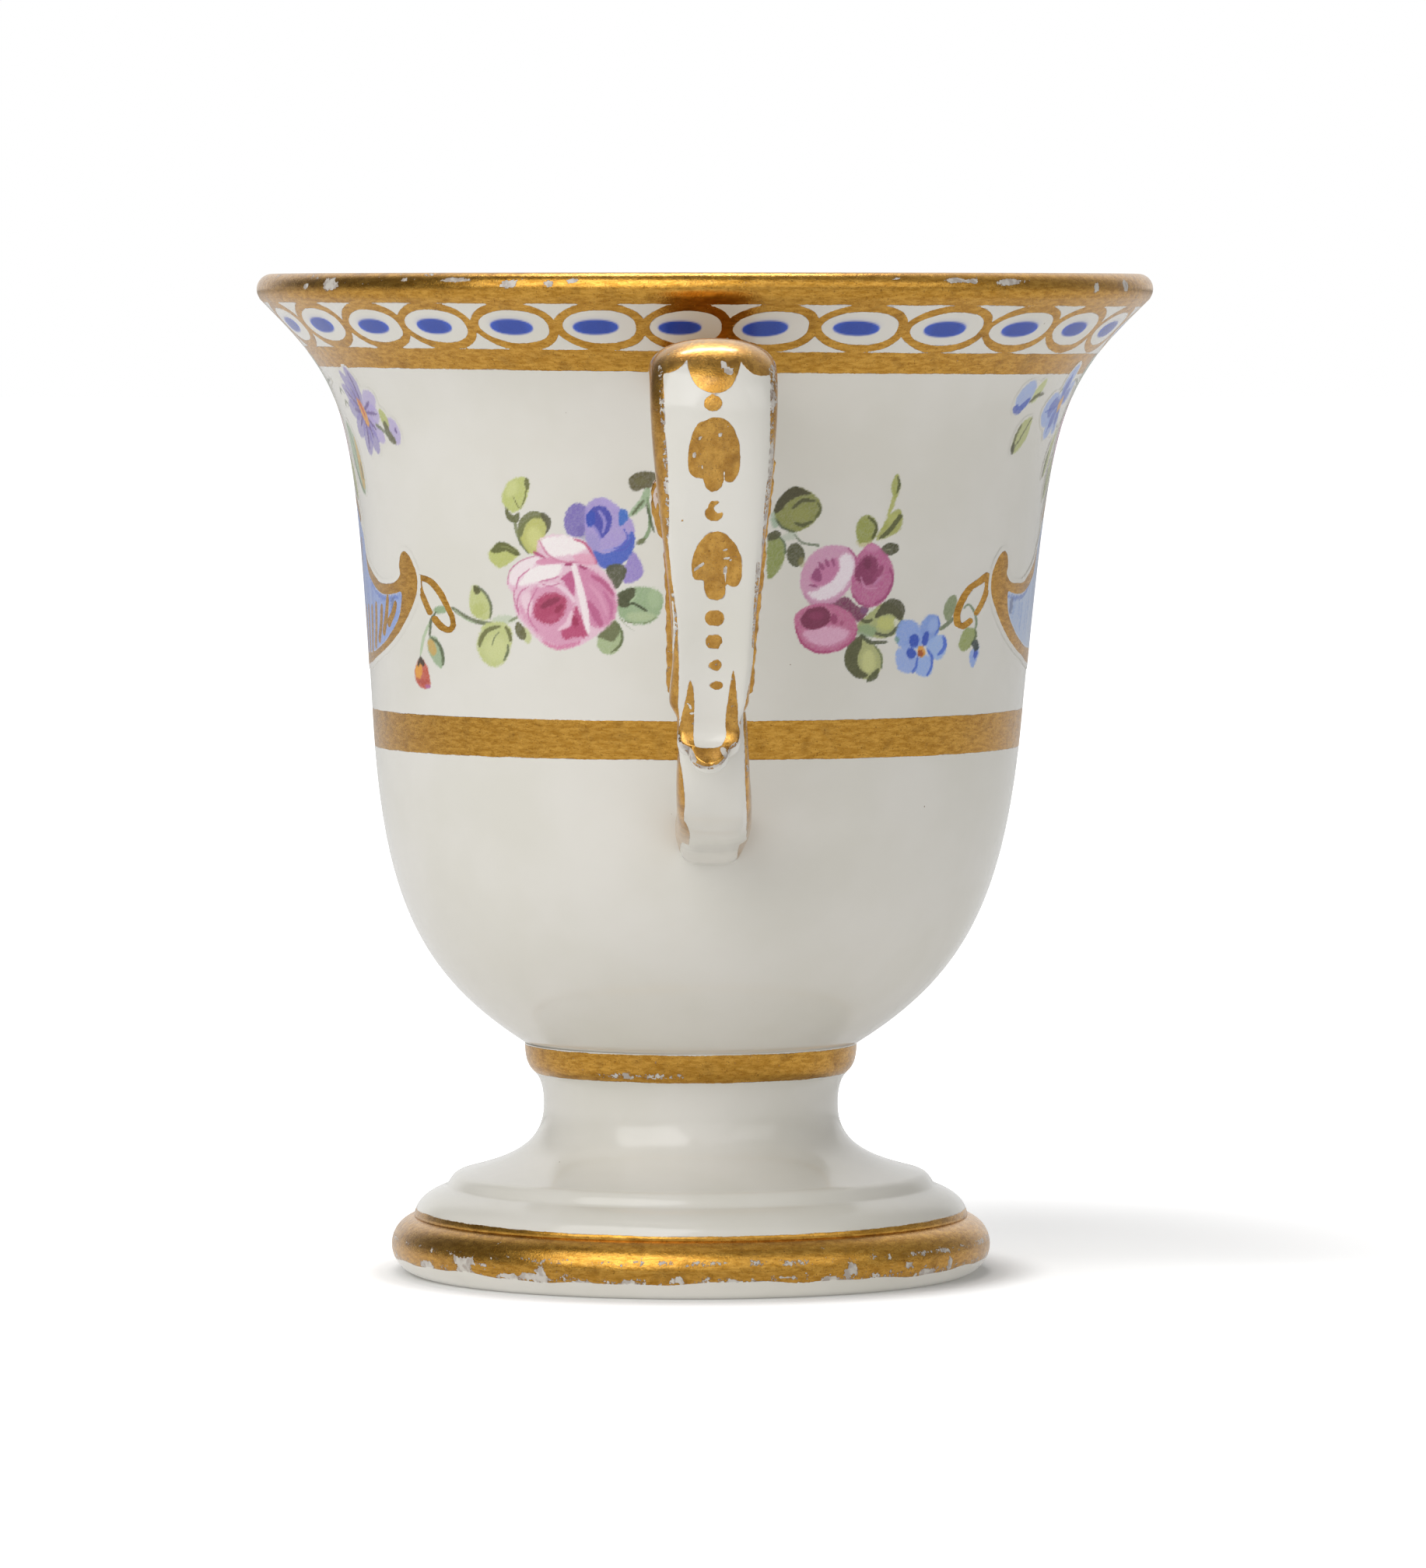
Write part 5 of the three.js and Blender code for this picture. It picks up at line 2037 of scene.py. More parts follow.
class FlowerBrush:
    """Paints leaves and flowers on a canvas whose units are millimetres."""

    def __init__(self, canvas: Canvas, soft: float = 0.13) -> None:
        """Takes the canvas and the softness of the brush's edge."""
        self.canvas = canvas
        self.soft = soft

    def petal(
        self,
        base: Pair,
        tip: Pair,
        width: float,
        colour: Colour,
        strength: float = 0.9,
        fullness: float = 0.62,
    ) -> None:
        """Paints a petal or a leaf that is widest at its fullness, a share of its length.

        Args:
            base: Where it starts.
            tip: Where it ends.
            width: Its greatest width.
            colour: Colour as display values.
            strength: How much the paint covers, up to 1.
            fullness: Where it is widest, as a share of its length.
        """
        start = np.array(base)
        along = np.array(tip) - start
        aside = half_across(along, width)
        low = start + along * fullness * 0.35
        full = start + along * fullness
        high = start + along * (fullness + (1 - fullness) * 0.75)
        outline = [start, low - aside * 0.6, full - aside, high - aside * 0.62, start + along,
                   high + aside * 0.62, full + aside, low + aside * 0.6]
        self.canvas.blob(as_points(outline), colour, strength, self.soft, 0.8)

    def line(self, points: Points, width: float, colour: Colour, strength: float = 0.85) -> None:
        """Paints a thin line."""
        self.canvas.stroke(points, width / 2, colour, (0.7, 0.3), strength, self.soft * 0.7, 0.8)

    def spot(
        self, centre: Pair, radii: Pair, colour: Colour, tilt: float = 0.0,
        strength: float = 0.9,
    ) -> None:
        """Paints a soft oval."""
        self.canvas.dab(centre, radii, colour, tilt, strength, self.soft, 0.8)

    def leaf(
        self, base: Pair, tip: Pair, width: float, colour: Colour, dark: Colour
    ) -> None:
        """Paints a leaf with a dark rib and a dark edge along its lower half.

        Args:
            base: Where it starts.
            tip: Where it ends.
            width: Its greatest width.
            colour: Colour as display values.
            dark: Colour of the rib and the edge.
        """
        self.petal(base, tip, width, colour, 0.82, 0.45)
        start = np.array(base)
        along = np.array(tip) - start
        aside = half_across(along, width)
        rib = [start, start + along * 0.45 + aside * 0.12, start + along * 0.9]
        edge = [start + along * 0.4 - aside * 0.9, start + along * 0.72 - aside * 0.62, start + along]
        self.line(as_points(rib), 0.17, dark, 0.7)
        self.line(as_points(edge), 0.3, dark, 0.75)

    def rose(self, centre: Pair, radius: float, pale: Colour, middle: Colour, deep: Colour) -> None:
        """Paints a full rose: two rings of petals, shaded folds and a dark heart.

        Args:
            centre: Its middle.
            radius: Its radius.
            pale: Colour of the petals.
            middle: Colour of the outer folds.
            deep: Colour of the inner folds and the heart.
        """
        middle_place = np.array(centre)
        self.spot(centre, (radius * 0.9, radius * 0.86), pale)
        for ring, count, colour in ((0.66, 7, middle), (0.38, 5, deep)):
            for index in range(count):
                angle = 360.0 / count * index + 25.0 * count
                spot = middle_place + direction(angle) * radius * ring
                size = radius * (0.34 if count == 7 else 0.22)
                self.spot(tuple(map(float, spot)), (size, size * 0.8), pale, angle + 90, 0.8)
                fold = [middle_place + direction(angle + turn) * radius * (ring + lift)
                        for turn, lift in ((-22, 0.16), (0, 0.25), (22, 0.16))]
                self.line(as_points(fold), radius * 0.1, colour, 0.7)
        self.spot(centre, (radius * 0.24, radius * 0.2), deep, 20, 0.85)
        self.line([(centre[0] - radius * 0.3, centre[1] + radius * 0.12), (centre[0],
                                                                           centre[1] + radius * 0.32),
                   (centre[0] + radius * 0.3, centre[1] + radius * 0.1)], radius * 0.12, deep)


@dataclass
class WallMotif:
    """A motif on the wall, drawn in millimetres across from its middle line and up from the table."""

    bowl: Bowl
    name: str
    middle: float
    half_turn: float = 38.0
    low: float = 39.6
    high: float = 52.2
    spacing: float = 0.1
    proud: float = 0.045
    seed: int = 21

    def paint(self, turn: Array, height: Array) -> Canvas:
        """Paints the motif on the corners of its patch.

        Args:
            turn: Angles from the handle, in degrees.
            height: Heights in millimetres.

        Returns:
            The painted canvas.
        """
        across = np.radians(turn - self.middle) * self.bowl.radius_at(height)
        canvas = Canvas(across, height, self.seed)
        self.draw(canvas)
        canvas.wear_alike()
        return canvas

    def draw(self, canvas: Canvas) -> None:
        """Draws the motif; each kind has its own."""
        raise NotImplementedError

    def build(self, glaze: Material) -> None:
        """Builds the motif's patch, a little proud of the others."""
        span = (self.middle - self.half_turn, self.middle + self.half_turn, self.low, self.high)
        PaintedSkin(self.name, self.bowl, *span, self.spacing, self.proud).build(glaze, self.paint)


def mirrored(half: Points) -> Points:
    """Adds the left half to an outline's right half, which starts and ends on the middle line."""
    return [*half, *((-across, up) for across, up in reversed(half) if across != 0.0)]


class PanelStyle(Enum):
    """How a side panel is filled."""

    FLUTED = "fluted"
    PLAIN = "plain"


@dataclass
class SidePanel(WallMotif):
    """A gilt-framed blue panel at the cup's side, shaped like a shallow basket with horns and a crest."""

    style: PanelStyle = PanelStyle.FLUTED
    base_height: float = 45.0
    narrowing: float = 1.0
    flute_spacing: float = 1.25
    reach: float = 10.4
    streaks: int = 34
    streak_spacing: float = 0.63

    def place(self, points: Points) -> Points:
        """Moves points from the panel's own middle to the canvas."""
        return [(across * self.narrowing, up + self.base_height) for across, up in points]

    def draw(self, canvas: Canvas) -> None:
        """Draws the frame, the filling, and the flutes if there are any.

        Args:
            canvas: Canvas to paint on.
        """
        frame_half = [(0.0, -4.75), (3.5, -4.5), (5.7, -4.0), (7.9, -3.4), (9.9, -2.5), (11.2, -1.6),
                      (12.2, -0.7), (13.0, 0.3), (13.2, 1.4), (12.8, 2.3), (12.3, 2.85), (11.8, 3.0),
                      (11.3, 2.7), (11.0, 2.0), (11.0, 1.45), (10.1, 0.95), (8.9, 0.82), (7.6, 0.85),
                      (6.7, 1.15), (5.6, 1.65), (4.6, 2.3), (3.9, 3.1), (2.0, 2.6), (0.0, 2.4)]
        filling_half = [(0.0, -4.0), (4.7, -3.75), (7.3, -3.15), (9.0, -2.35), (10.2, -1.5), (10.8, -0.6),
                        (11.0, 0.3), (10.2, 0.25), (8.9, 0.12), (7.8, 0.15), (6.7, 0.42), (5.6, 0.9),
                        (4.7, 1.5), (4.3, 2.4), (4.1, 3.6), (3.2, 4.7), (2.0, 5.6), (0.0, 6.0)]
        fluted = self.style is PanelStyle.FLUTED
        if not fluted:
            filling_half = [(across * 0.95, up * 0.93) for across, up in filling_half]
        filling = self.place(mirrored(filling_half))
        canvas.gild_outline(self.place(mirrored(frame_half)), steps=5)
        canvas.scrape_outline(filling)
        colour = INK.panel if fluted else INK.panel_pale
        canvas.blob(filling, colour, 0.85, 0.16, 0.9)
        self.shade(canvas, fluted)
        if fluted:
            self.gild_flutes(canvas)
        for side in (-1, 1):
            canvas.gild_stroke(self.place([(side * 3.3, 5.0), (side * 2.3, 6.0), (side * 0.9, 6.3),
                                           (0.0, 5.7)]), 0.3)
        for across in (-2.7, -1.4, 0.0, 1.4, 2.7):
            top = 4.7 - 0.42 * abs(across)
            ray = self.place([(across * 0.4, 0.9), (across * 0.7, top * 0.6), (across, top)])
            canvas.gild_stroke(ray, 0.19, (0.4, 0.9))

    def shade(self, canvas: Canvas, fluted: bool) -> None:
        """Lays brush streaks of deeper and paler blue over the filling.

        Args:
            canvas: Canvas to paint on.
            fluted: Whether the filling is the deeper, fluted one.
        """
        chance = np.random.default_rng(self.seed)
        deep = INK.panel_deep if fluted else INK.panel
        for index in range(self.streaks):
            across = -self.reach + self.streak_spacing * index
            floor = -3.6 + 2.7 * (abs(across) / self.reach) ** 2.4
            roof = -0.1 if abs(across) > 5.5 else 4.4 - 0.45 * abs(across)
            start = floor + (roof - floor) * float(chance.uniform(0.05, 0.3))
            end = floor + (roof - floor) * float(chance.uniform(0.6, 0.95))
            line = self.place([(across, start), (across + 0.1, (start + end) / 2), (across, end)])
            colour = deep if index % 3 else INK.panel_pale
            canvas.stroke(line, 0.2, colour, (0.5, 0.3), 0.3, 0.2, 1.4)
        for side in (-1, 1):
            rim = self.place([(side * self.reach, 0.0), (side * 8.6, -0.15), (side * 6.8, 0.1),
                              (side * 5.2, 1.0)])
            canvas.stroke(rim, 0.14, INK.panel_deep, (0.6, 0.4), 0.6, 0.12, 1.2)
            canvas.dab(self.place([(side * 9.6, -0.6)])[0], (0.32, 0.6), (88, 96, 132), 0.0, 0.55, 0.2, 1.0)

    def gild_flutes(self, canvas: Canvas) -> None:
        """Gilds flutes that hang down the filling and draw closer towards the foot of the panel.

        Args:
            canvas: Canvas to paint on.
        """
        count = math.floor(self.reach / self.flute_spacing)
        for index in range(-count, count + 1):
            top = index * self.flute_spacing
            share = abs(top) / self.reach
            start = -0.9 + (1.35 if index % 2 else 0.5) * share**3
            end = -4.1 + 2.6 * share**2.2
            line = self.place([(top, start), (top * 0.95, (start + end) / 2), (top * 0.87, end)])
            canvas.gild_stroke(line, 0.27, (0.75, 1.1))


class BouquetStyle(Enum):
    """The colours of a bouquet's side flowers."""

    VIOLET = "violet"
    BLUE = "blue"


@dataclass
class Bouquet(WallMotif):
    """A bouquet above a side panel: a rose in the middle, a flower at either side, leaves and buds."""

    low: float = 50.0
    high: float = 61.4
    style: BouquetStyle = BouquetStyle.VIOLET

    def draw(self, canvas: Canvas) -> None:
        """Draws the leaves, the rose and the side flowers.

        Args:
            canvas: Canvas to paint on.
        """
        brush = FlowerBrush(canvas)
        for side in (-1, 1):
            self.draw_leaves(brush, side)
        brush.rose((0.0, 55.6), 2.9, INK.pink_pale, INK.pink, INK.rose)
        for side in (-1, 1):
            if self.style is BouquetStyle.VIOLET:
                self.draw_daisy(brush, side)
            else:
                self.draw_blue_flower(brush, side)

    def draw_leaves(self, brush: FlowerBrush, side: int) -> None:
        """Draws the leaves of one half.

        Args:
            brush: Brush to paint with.
            side: -1 for the left half, 1 for the right one.
        """
        brush.line([(side * 2.0, 58.0), (side * 3.4, 58.9), (side * 5.2, 59.1)], 0.28, INK.stem)
        brush.leaf((side * 1.2, 57.9), (side * 2.7, 60.7), 1.5, INK.sea_green, INK.sea_dark)
        brush.leaf((side * 2.6, 54.0), (side * 3.9, 51.2), 1.5, INK.olive, INK.olive_dark)
        if self.style is BouquetStyle.VIOLET:
            brush.leaf((side * 4.8, 56.4), (side * 6.6, 51.6), 2.3, INK.sea_green, INK.sea_dark)
            brush.petal((side * 6.2, 55.4), (side * 6.6, 51.9), 1.0, INK.ochre, 0.6)
            brush.line([(side * 6.5, 53.6), (side * 6.7, 52.6)], 0.3, INK.olive_dark, 0.7)
        brush.leaf((side * 0.4, 52.9), (side * 0.9, 50.6), 1.1, INK.olive_pale, INK.moss)
        for start in (57.4, 58.2):
            curl = [(side * 6.6, start), (side * 7.1, start + 0.3), (side * 7.5, start)]
            brush.line(curl, 0.22, INK.stem)

    def draw_daisy(self, brush: FlowerBrush, side: int) -> None:
        """Draws a violet flower with long petals, its bud and the bud's stem.

        Args:
            brush: Brush to paint with.
            side: -1 for the left half, 1 for the right one.
        """
        centre = (side * 9.97, 57.0)
        tips = ((0.7, 3.0), (-0.9, 2.7), (2.7, 1.2), (2.4, -0.1), (2.1, -1.9), (0.8, -2.7), (-0.8, -2.8),
                (-2.1, -1.5), (-2.5, 0.3), (-2.1, 1.7))
        for index, (across, up) in enumerate(tips):
            tip = (centre[0] + side * across, centre[1] + up)
            colour = INK.violet_pale if index in (2, 3, 4) else INK.violet
            brush.petal(centre, tip, 1.35, colour, 0.72)
        for index, (across, up) in enumerate(tips):
            far = 0.86 if index % 3 == 0 else 0.6
            line = [(centre[0] + side * across * share,
                     centre[1] + up * share) for share in (0.15, far * 0.6, far)]
            brush.line(line, 0.24, INK.violet_dark, 0.85)
        brush.spot(centre, (0.42, 0.95), INK.ochre, side * 12.0)
        brush.line([(centre[0] - side * 0.1, centre[1] + 0.8), (centre[0] + side * 0.1, centre[1] - 0.3)],
                   0.3, INK.rust)
        brush.spot((side * 13.6, 55.8), (0.75, 0.9), INK.violet_pale, 0.0, 0.7)
        brush.spot((side * 13.9, 55.85), (0.12, 0.14), INK.violet_dark)
        brush.spot((side * 12.8, 56.6), (0.45, 0.68), INK.olive, 10.0)
        brush.line([(side * 12.7, 56.2), (side * 12.9, 55.5), (side * 13.4, 55.1)], 0.72, INK.olive_dark)
        brush.line([(side * 11.4, 56.2), (side * 12.1, 55.9), (side * 12.8, 55.5)], 0.3, INK.stem)

    def draw_blue_flower(self, brush: FlowerBrush, side: int) -> None:
        """Draws a blue flower with five petals, its bud and two hanging leaves.

        Args:
            brush: Brush to paint with.
            side: -1 for the left half, 1 for the right one.
        """
        centre = (side * 6.0, 57.5)
        for across, up, width in ((0.9, 2.6, 1.7), (3.2, -0.6, 2.3), (1.4, -2.2, 1.6), (-0.8, -2.0, 1.3),
                                  (-1.6, 1.3, 1.6)):
            tip = (centre[0] + side * across, centre[1] + up)
            brush.petal(centre, tip, width, INK.blue_pale, 0.85)
            dark = (centre[0] + side * across * 0.7, centre[1] + up * 0.7)
            brush.petal(centre, dark, width * 0.62, INK.blue, 0.8)
            brush.line([centre, (centre[0] + side * across * 0.85, centre[1] + up * 0.85)], 0.16,
                       INK.blue_deep)
        brush.spot(centre, (0.42, 0.5), INK.ochre)
        brush.spot((side * 12.9, 58.1), (1.0, 1.0), INK.blue_pale, 0.0, 0.75)
        brush.line([(side * 13.6, 57.3), (side * 12.9, 57.2), (side * 12.1, 57.9)], 0.6, INK.blue)
        brush.spot((side * 11.4, 58.4), (0.5, 0.8), INK.olive_pale, -15.0)
        brush.line([(side * 11.9, 57.7), (side * 11.3, 58.1), (side * 10.4, 58.2)], 0.34, INK.olive_dark)
        brush.leaf((side * 10.6, 56.7), (side * 12.1, 54.4), 1.7, INK.olive, INK.olive_dark)
        brush.line([(side * 12.1, 54.9), (side * 12.0, 54.4)], 0.5, INK.shadow_leaf)
        brush.petal((side * 3.9, 56.0), (side * 5.4, 52.7), 1.1, INK.olive, 0.85)
        brush.line([(side * 5.0, 54.3), (side * 5.5, 52.6)], 0.4, INK.olive_dark)


@dataclass
class JoiningRose(WallMotif):
    """A small rose and leaves behind, where the two sprays' ends meet opposite the handle."""

    half_turn: float = 14.0
    low: float = 40.4

    def draw(self, canvas: Canvas) -> None:
        """Draws the leaves and the rose.

        Args:
            canvas: Canvas to paint on.
        """
        brush = FlowerBrush(canvas)
        leaves = ((-1.4, 47.6, -4.0, 49.4, 1.9), (-1.6, 45.4, -4.2, 43.8, 1.8), (1.4, 47.5, 4.2, 49.0, 1.9),
                  (1.5, 45.2, 4.1, 43.6, 1.9), (0.3, 44.2, 0.9, 41.0, 1.6), (-0.4, 48.6, -0.9, 51.4, 1.5))
        for index, (base_across, base_up, tip_across, tip_up, width) in enumerate(leaves):
            green = INK.olive if index % 2 else INK.sea_green
            dark = INK.olive_dark if index % 2 else INK.sea_dark
            brush.leaf((base_across, base_up), (tip_across, tip_up), width, green, dark)
        brush.rose((0.0, 46.5), 2.5, INK.pink_pale, INK.pink, INK.crimson)


# Foot


@dataclass
class Foot:
    """The turned foot: gilt ring, concave stem, step, convex base, rolled edge, hollow below."""

    centre: float
    seat_height: float = 15.2
    seat_radius: float = 11.0
    ring_height: float = 1.85
    ring_inset: float = 0.55
    neck_height: float = 11.1
    neck_radius: float = 9.75
    shoulder_height: float = 6.6
    shoulder_radius: float = 15.35
    step_depth: float = 0.9
    step_width: float = 0.85
    base_top_height: float = 3.75
    base_top_radius: float = 18.35
    radius: float = 19.83
    roll_radius: float = 1.9
    standing_width: float = 2.1
    hollow_depth: float = 10.6
    ring_gold_middle: float = 14.2
    ring_gold_half: float = 0.92
    ring_inner_radius: float = 9.0
    ring_worn: Pair = (-42.0, 2.0)
    ring_worn_height: float = 13.72
    ring_worn_amount: float = 0.62
    edge_gold_top: float = 4.24
    edge_gold_bottom: float = 1.1
    edge_inner_radius: float = 15.0
    front_dip: float = 0.22
    even_wear: float = 0.1
    low_worn_amount: float = 0.34
    rubbed_height: float = 2.42
    rubbed_amount: float = 0.36
    hollow_radius: float = 17.0
    hollow_steps: int = 26
    aside: float = -0.42
    segments: int = 320
    chips: tuple[tuple[float, float, float, float], ...] = (
        (-51.5, 1.95, 0.4, 0.28), (-48.4, 1.95, 0.8, 0.2), (-49.8, 1.5, 0.7, 0.5), (-44.3, 1.8, 0.4, 0.13),
        (-62.0, 1.3, 0.9, 0.25), (-38.0, 1.2, 0.7, 0.2), (-33.5, 1.3, 0.8, 0.28), (-30.8, 1.7, 0.24, 0.42),
        (-30.4, 1.25, 0.5, 0.35), (-22.0, 1.1, 0.7, 0.16), (-13.0, 1.1, 0.6, 0.2), (-3.2, 1.35, 0.2, 0.22),
        (7.0, 1.15, 0.4, 0.24), (16.9, 1.5, 0.8, 0.1), (26.0, 1.1, 0.9, 0.25), (30.5, 1.85, 0.3, 0.3),
        (29.4, 1.5, 0.24, 0.3), (44.3, 1.75, 0.5, 0.16), (57.4, 1.5, 0.3, 0.42), (50.0, 1.15, 0.9, 0.25),
        (98.0, 1.3, 1.0, 0.35), (165.0, 1.25, 1.2, 0.4), (-120.0, 1.2, 0.9, 0.3),
    )

    def outline(self) -> Array:
        """Draws the outline from the seat's middle round to the hollow's top.

        Returns:
            Radius and height of each point, in millimetres.
        """
        seat = np.array([self.seat_radius, self.seat_height])
        ring_end = np.array([self.seat_radius - self.ring_inset, self.seat_height - self.ring_height])
        neck = np.array([self.neck_radius, self.neck_height])
        shoulder = np.array([self.shoulder_radius, self.shoulder_height])
        step_foot = shoulder + np.array([self.step_width, -self.step_depth])
        base_top = np.array([self.base_top_radius, self.base_top_height])
        roll_centre = np.array([self.radius - self.roll_radius, self.roll_radius - 0.05])
        down = np.array([0.0, -1.0])
        ring = eased_curve(seat, down, 0.6, ring_end, direction(-137), 0.2, 10)
        upper = eased_curve(ring_end, direction(-137), 0.3, neck, down, 0.45, 10)
        lower = eased_curve(neck, down, 0.34, shoulder, direction(-14), 0.56, 30)
        step = eased_curve(shoulder, direction(-16), 0.4, step_foot, direction(-50), 0.3, 10)
        base = eased_curve(step_foot, direction(-21), 0.42, base_top, direction(-80), 0.38, 16)
        flat_edge = -math.degrees(math.asin(roll_centre[1] / self.roll_radius))
        roll = arc(roll_centre, self.roll_radius, 78, flat_edge, 24)
        hollow_edge = np.array([roll[-1][0] - self.standing_width, 0.0])
        top = np.array([0.0, self.hollow_depth])
        hollow = eased_curve(hollow_edge, direction(137), 0.26, top, np.array([-1.0, 0.0]), 0.39,
                             self.hollow_steps)
        middle = np.array([[0.0, self.seat_height]])
        return joined(middle, ring, upper, lower, step, base, roll, hollow)

    def build(self, glaze: Material) -> None:
        """Builds the foot with its gilt ring and gilt, worn edge.

        Args:
            glaze: The piece's material.
        """
        mesh = turned(self.outline(), self.centre, self.segments)
        places = corner_places(mesh) / MM
        across = places[:, 0]
        along = self.centre - places[:, 1]
        height = places[:, 2]
        radius = np.hypot(across, along)
        turn = np.arctan2(across, along)
        ring = self.ring_gold_half - np.abs(height - self.ring_gold_middle)
        uneven = 0.09 * np.sin(5 * turn + 0.6) + 0.06 * np.sin(13 * turn) + 0.04 * np.sin(29 * turn + 1.0)
        top = self.edge_gold_top - self.front_dip * np.maximum(np.cos(turn), 0.0) ** 2
        edge = np.minimum(top - height, height - self.edge_gold_bottom - uneven)
        outer = radius > self.edge_inner_radius
        gilt = np.maximum(np.where(radius > self.ring_inner_radius, ring, -1.0), np.where(outer, edge, -1.0))
        low = (height < self.hollow_depth + 0.1) & (radius < self.hollow_radius)
        hollow = low & self.below_shell(radius, height)
        set_number(mesh, "gilt", np.where(hollow, -1.0, gilt))
        wears = (self.edge_wear(np.degrees(turn), height), self.ring_wear(np.degrees(turn), height))
        set_number(mesh, "wear", np.maximum(*wears))
        shift_across(mesh, places, self.aside)
        piece = finished_object("foot_body", mesh, glaze)
        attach(piece, BODY)
        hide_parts("foot")

    def ring_wear(self, turn: Array, height: Array) -> Array:
        """Returns the wear of the gilt ring: rubbed low down at its left.

        Args:
            turn: Angles from the handle, in degrees.
            height: Heights in millimetres.

        Returns:
            The wear of each point.
        """
        start, end = self.ring_worn
        along = smooth_step(turn, start, start + 8.0) * smooth_step(-turn, -end, 8.0 - end)
        level = smooth_step(-np.abs(height - self.ring_worn_height), -0.34, -0.1)
        return self.ring_worn_amount * along * level

    def edge_wear(self, turn: Array, height: Array) -> Array:
        """Returns the wear of the foot's gilding: rubbed low down, with whole chips out of it.

        Args:
            turn: Angles from the handle, in degrees.
            height: Heights in millimetres.

        Returns:
            The wear of each point.
        """
        low = self.low_worn_amount * smooth_step(-height, -2.0, -1.2) * (height < 4.2)
        rubbed = self.rubbed_amount * smooth_step(-np.abs(height - self.rubbed_height), -0.3, -0.08)
        wear = self.even_wear + np.maximum(low, rubbed)
        for middle, level, half_width, half_height in self.chips:
            across = np.radians((turn - middle + 180) % 360 - 180) * self.radius / half_width
            wear = np.maximum(wear, chip_wear(across, (height - level) / half_height))
        return wear

    def below_shell(self, radius: Array, height: Array) -> Array:
        """Tells which points lie on the hollow's wall rather than on the outside.

        Args:
            radius: Distances from the axis, in millimetres.
            height: Heights in millimetres.

        Returns:
            Which points they are.
        """
        line = self.outline()
        hollow = line[-self.hollow_steps - 1:][::-1]
        return np.abs(height - np.interp(radius, hollow[:, 0], hollow[:, 1])) < 0.2


# Handle


@dataclass
class SideCurve:
    """A curve in the handle's own plane, followed by its length."""

    points: Array
    travelled: Array = field(init=False)

    def __post_init__(self) -> None:
        """Measures the way along the curve."""
        gaps = np.linalg.norm(np.diff(self.points, axis=0), axis=1)
        self.travelled = np.concatenate([[0.0], np.cumsum(gaps)])

    @property
    def length(self) -> float:
        """Returns the curve's length."""
        return float(self.travelled[-1])

    def place(self, distance: Array) -> Array:
        """Returns the reach and height at distances along the curve.

        Args:
            distance: Distances along the curve, in millimetres.

        Returns:
            One row for each distance.
        """
        reach = np.interp(distance, self.travelled, self.points[:, 0])
        height = np.interp(distance, self.travelled, self.points[:, 1])
        return np.stack([reach, height], axis=-1)

    def way(self, distance: Array) -> Array:
        """Returns the direction of travel at distances along the curve.

        Args:
            distance: Distances along the curve, in millimetres.

        Returns:
            One unit vector for each distance.
        """
        step = 0.12
        ahead = self.place(np.minimum(distance + step, self.length))
        behind = self.place(np.maximum(distance - step, 0.0))
        change = ahead - behind
        return change / np.linalg.norm(change, axis=-1, keepdims=True)

    def distance_at(self, height: float) -> float:
        """Returns the distance at which the curve passes a height on its way down."""
        above = np.nonzero(self.points[:, 1] >= height)[0]
        return float(self.travelled[above[-1]])


Section = Callable[[Array, Array], tuple[Array, Array]]
Dress = Callable[[Array, Array, Array], Canvas]


def swept_tube(
    curve: SideCurve,
    centre: float,
    distances: Array,
    sides: int,
    section: Section,
    dress: Dress,
) -> Mesh:
    """Sweeps a changing section along a side curve.

    Args:
        curve: The curve that the section follows.
        centre: Place of the cup's axis along Y, in millimetres.
        distances: Distance along the curve of each ring.
        sides: Number of corners round a ring.
        section: Gives the way across and outwards, from distances and angles round the section.
        dress: Paints the canvas, from places, distances and angles.

    Returns:
        A closed mesh in metres.
    """
    rows = len(distances) - 1
    mesh, around, along = grid_mesh(sides, rows)
    distance = distances[np.rint(along * rows).astype(int)]
    angle = around * 2 * math.pi
    across, out = section(distance, angle)
    place = curve.place(distance)
    way = curve.way(distance)
    reach = place[:, 0] - way[:, 1] * out
    height = place[:, 1] + way[:, 0] * out
    places = np.stack([across, centre - reach, height], axis=1)
    set_places(mesh, places)
    dress(places, distance, angle).store(mesh)
    body = bmesh.new()
    body.from_mesh(mesh)
    bmesh.ops.remove_doubles(body, verts=body.verts, dist=2e-7)
    rims = [edge for edge in body.edges if edge.is_boundary]
    filled = bmesh.ops.holes_fill(body, edges=rims, sides=0)
    bmesh.ops.triangulate(body, faces=filled["faces"])
    bmesh.ops.recalc_face_normals(body, faces=body.faces)
    body.to_mesh(mesh)
    body.free()
    return mesh


def eased_power(value: Array, squareness: Array | float) -> Array:
    """Squares off a sine or cosine, as a superellipse does."""
    return np.sign(value) * np.abs(value) ** (2 / squareness)


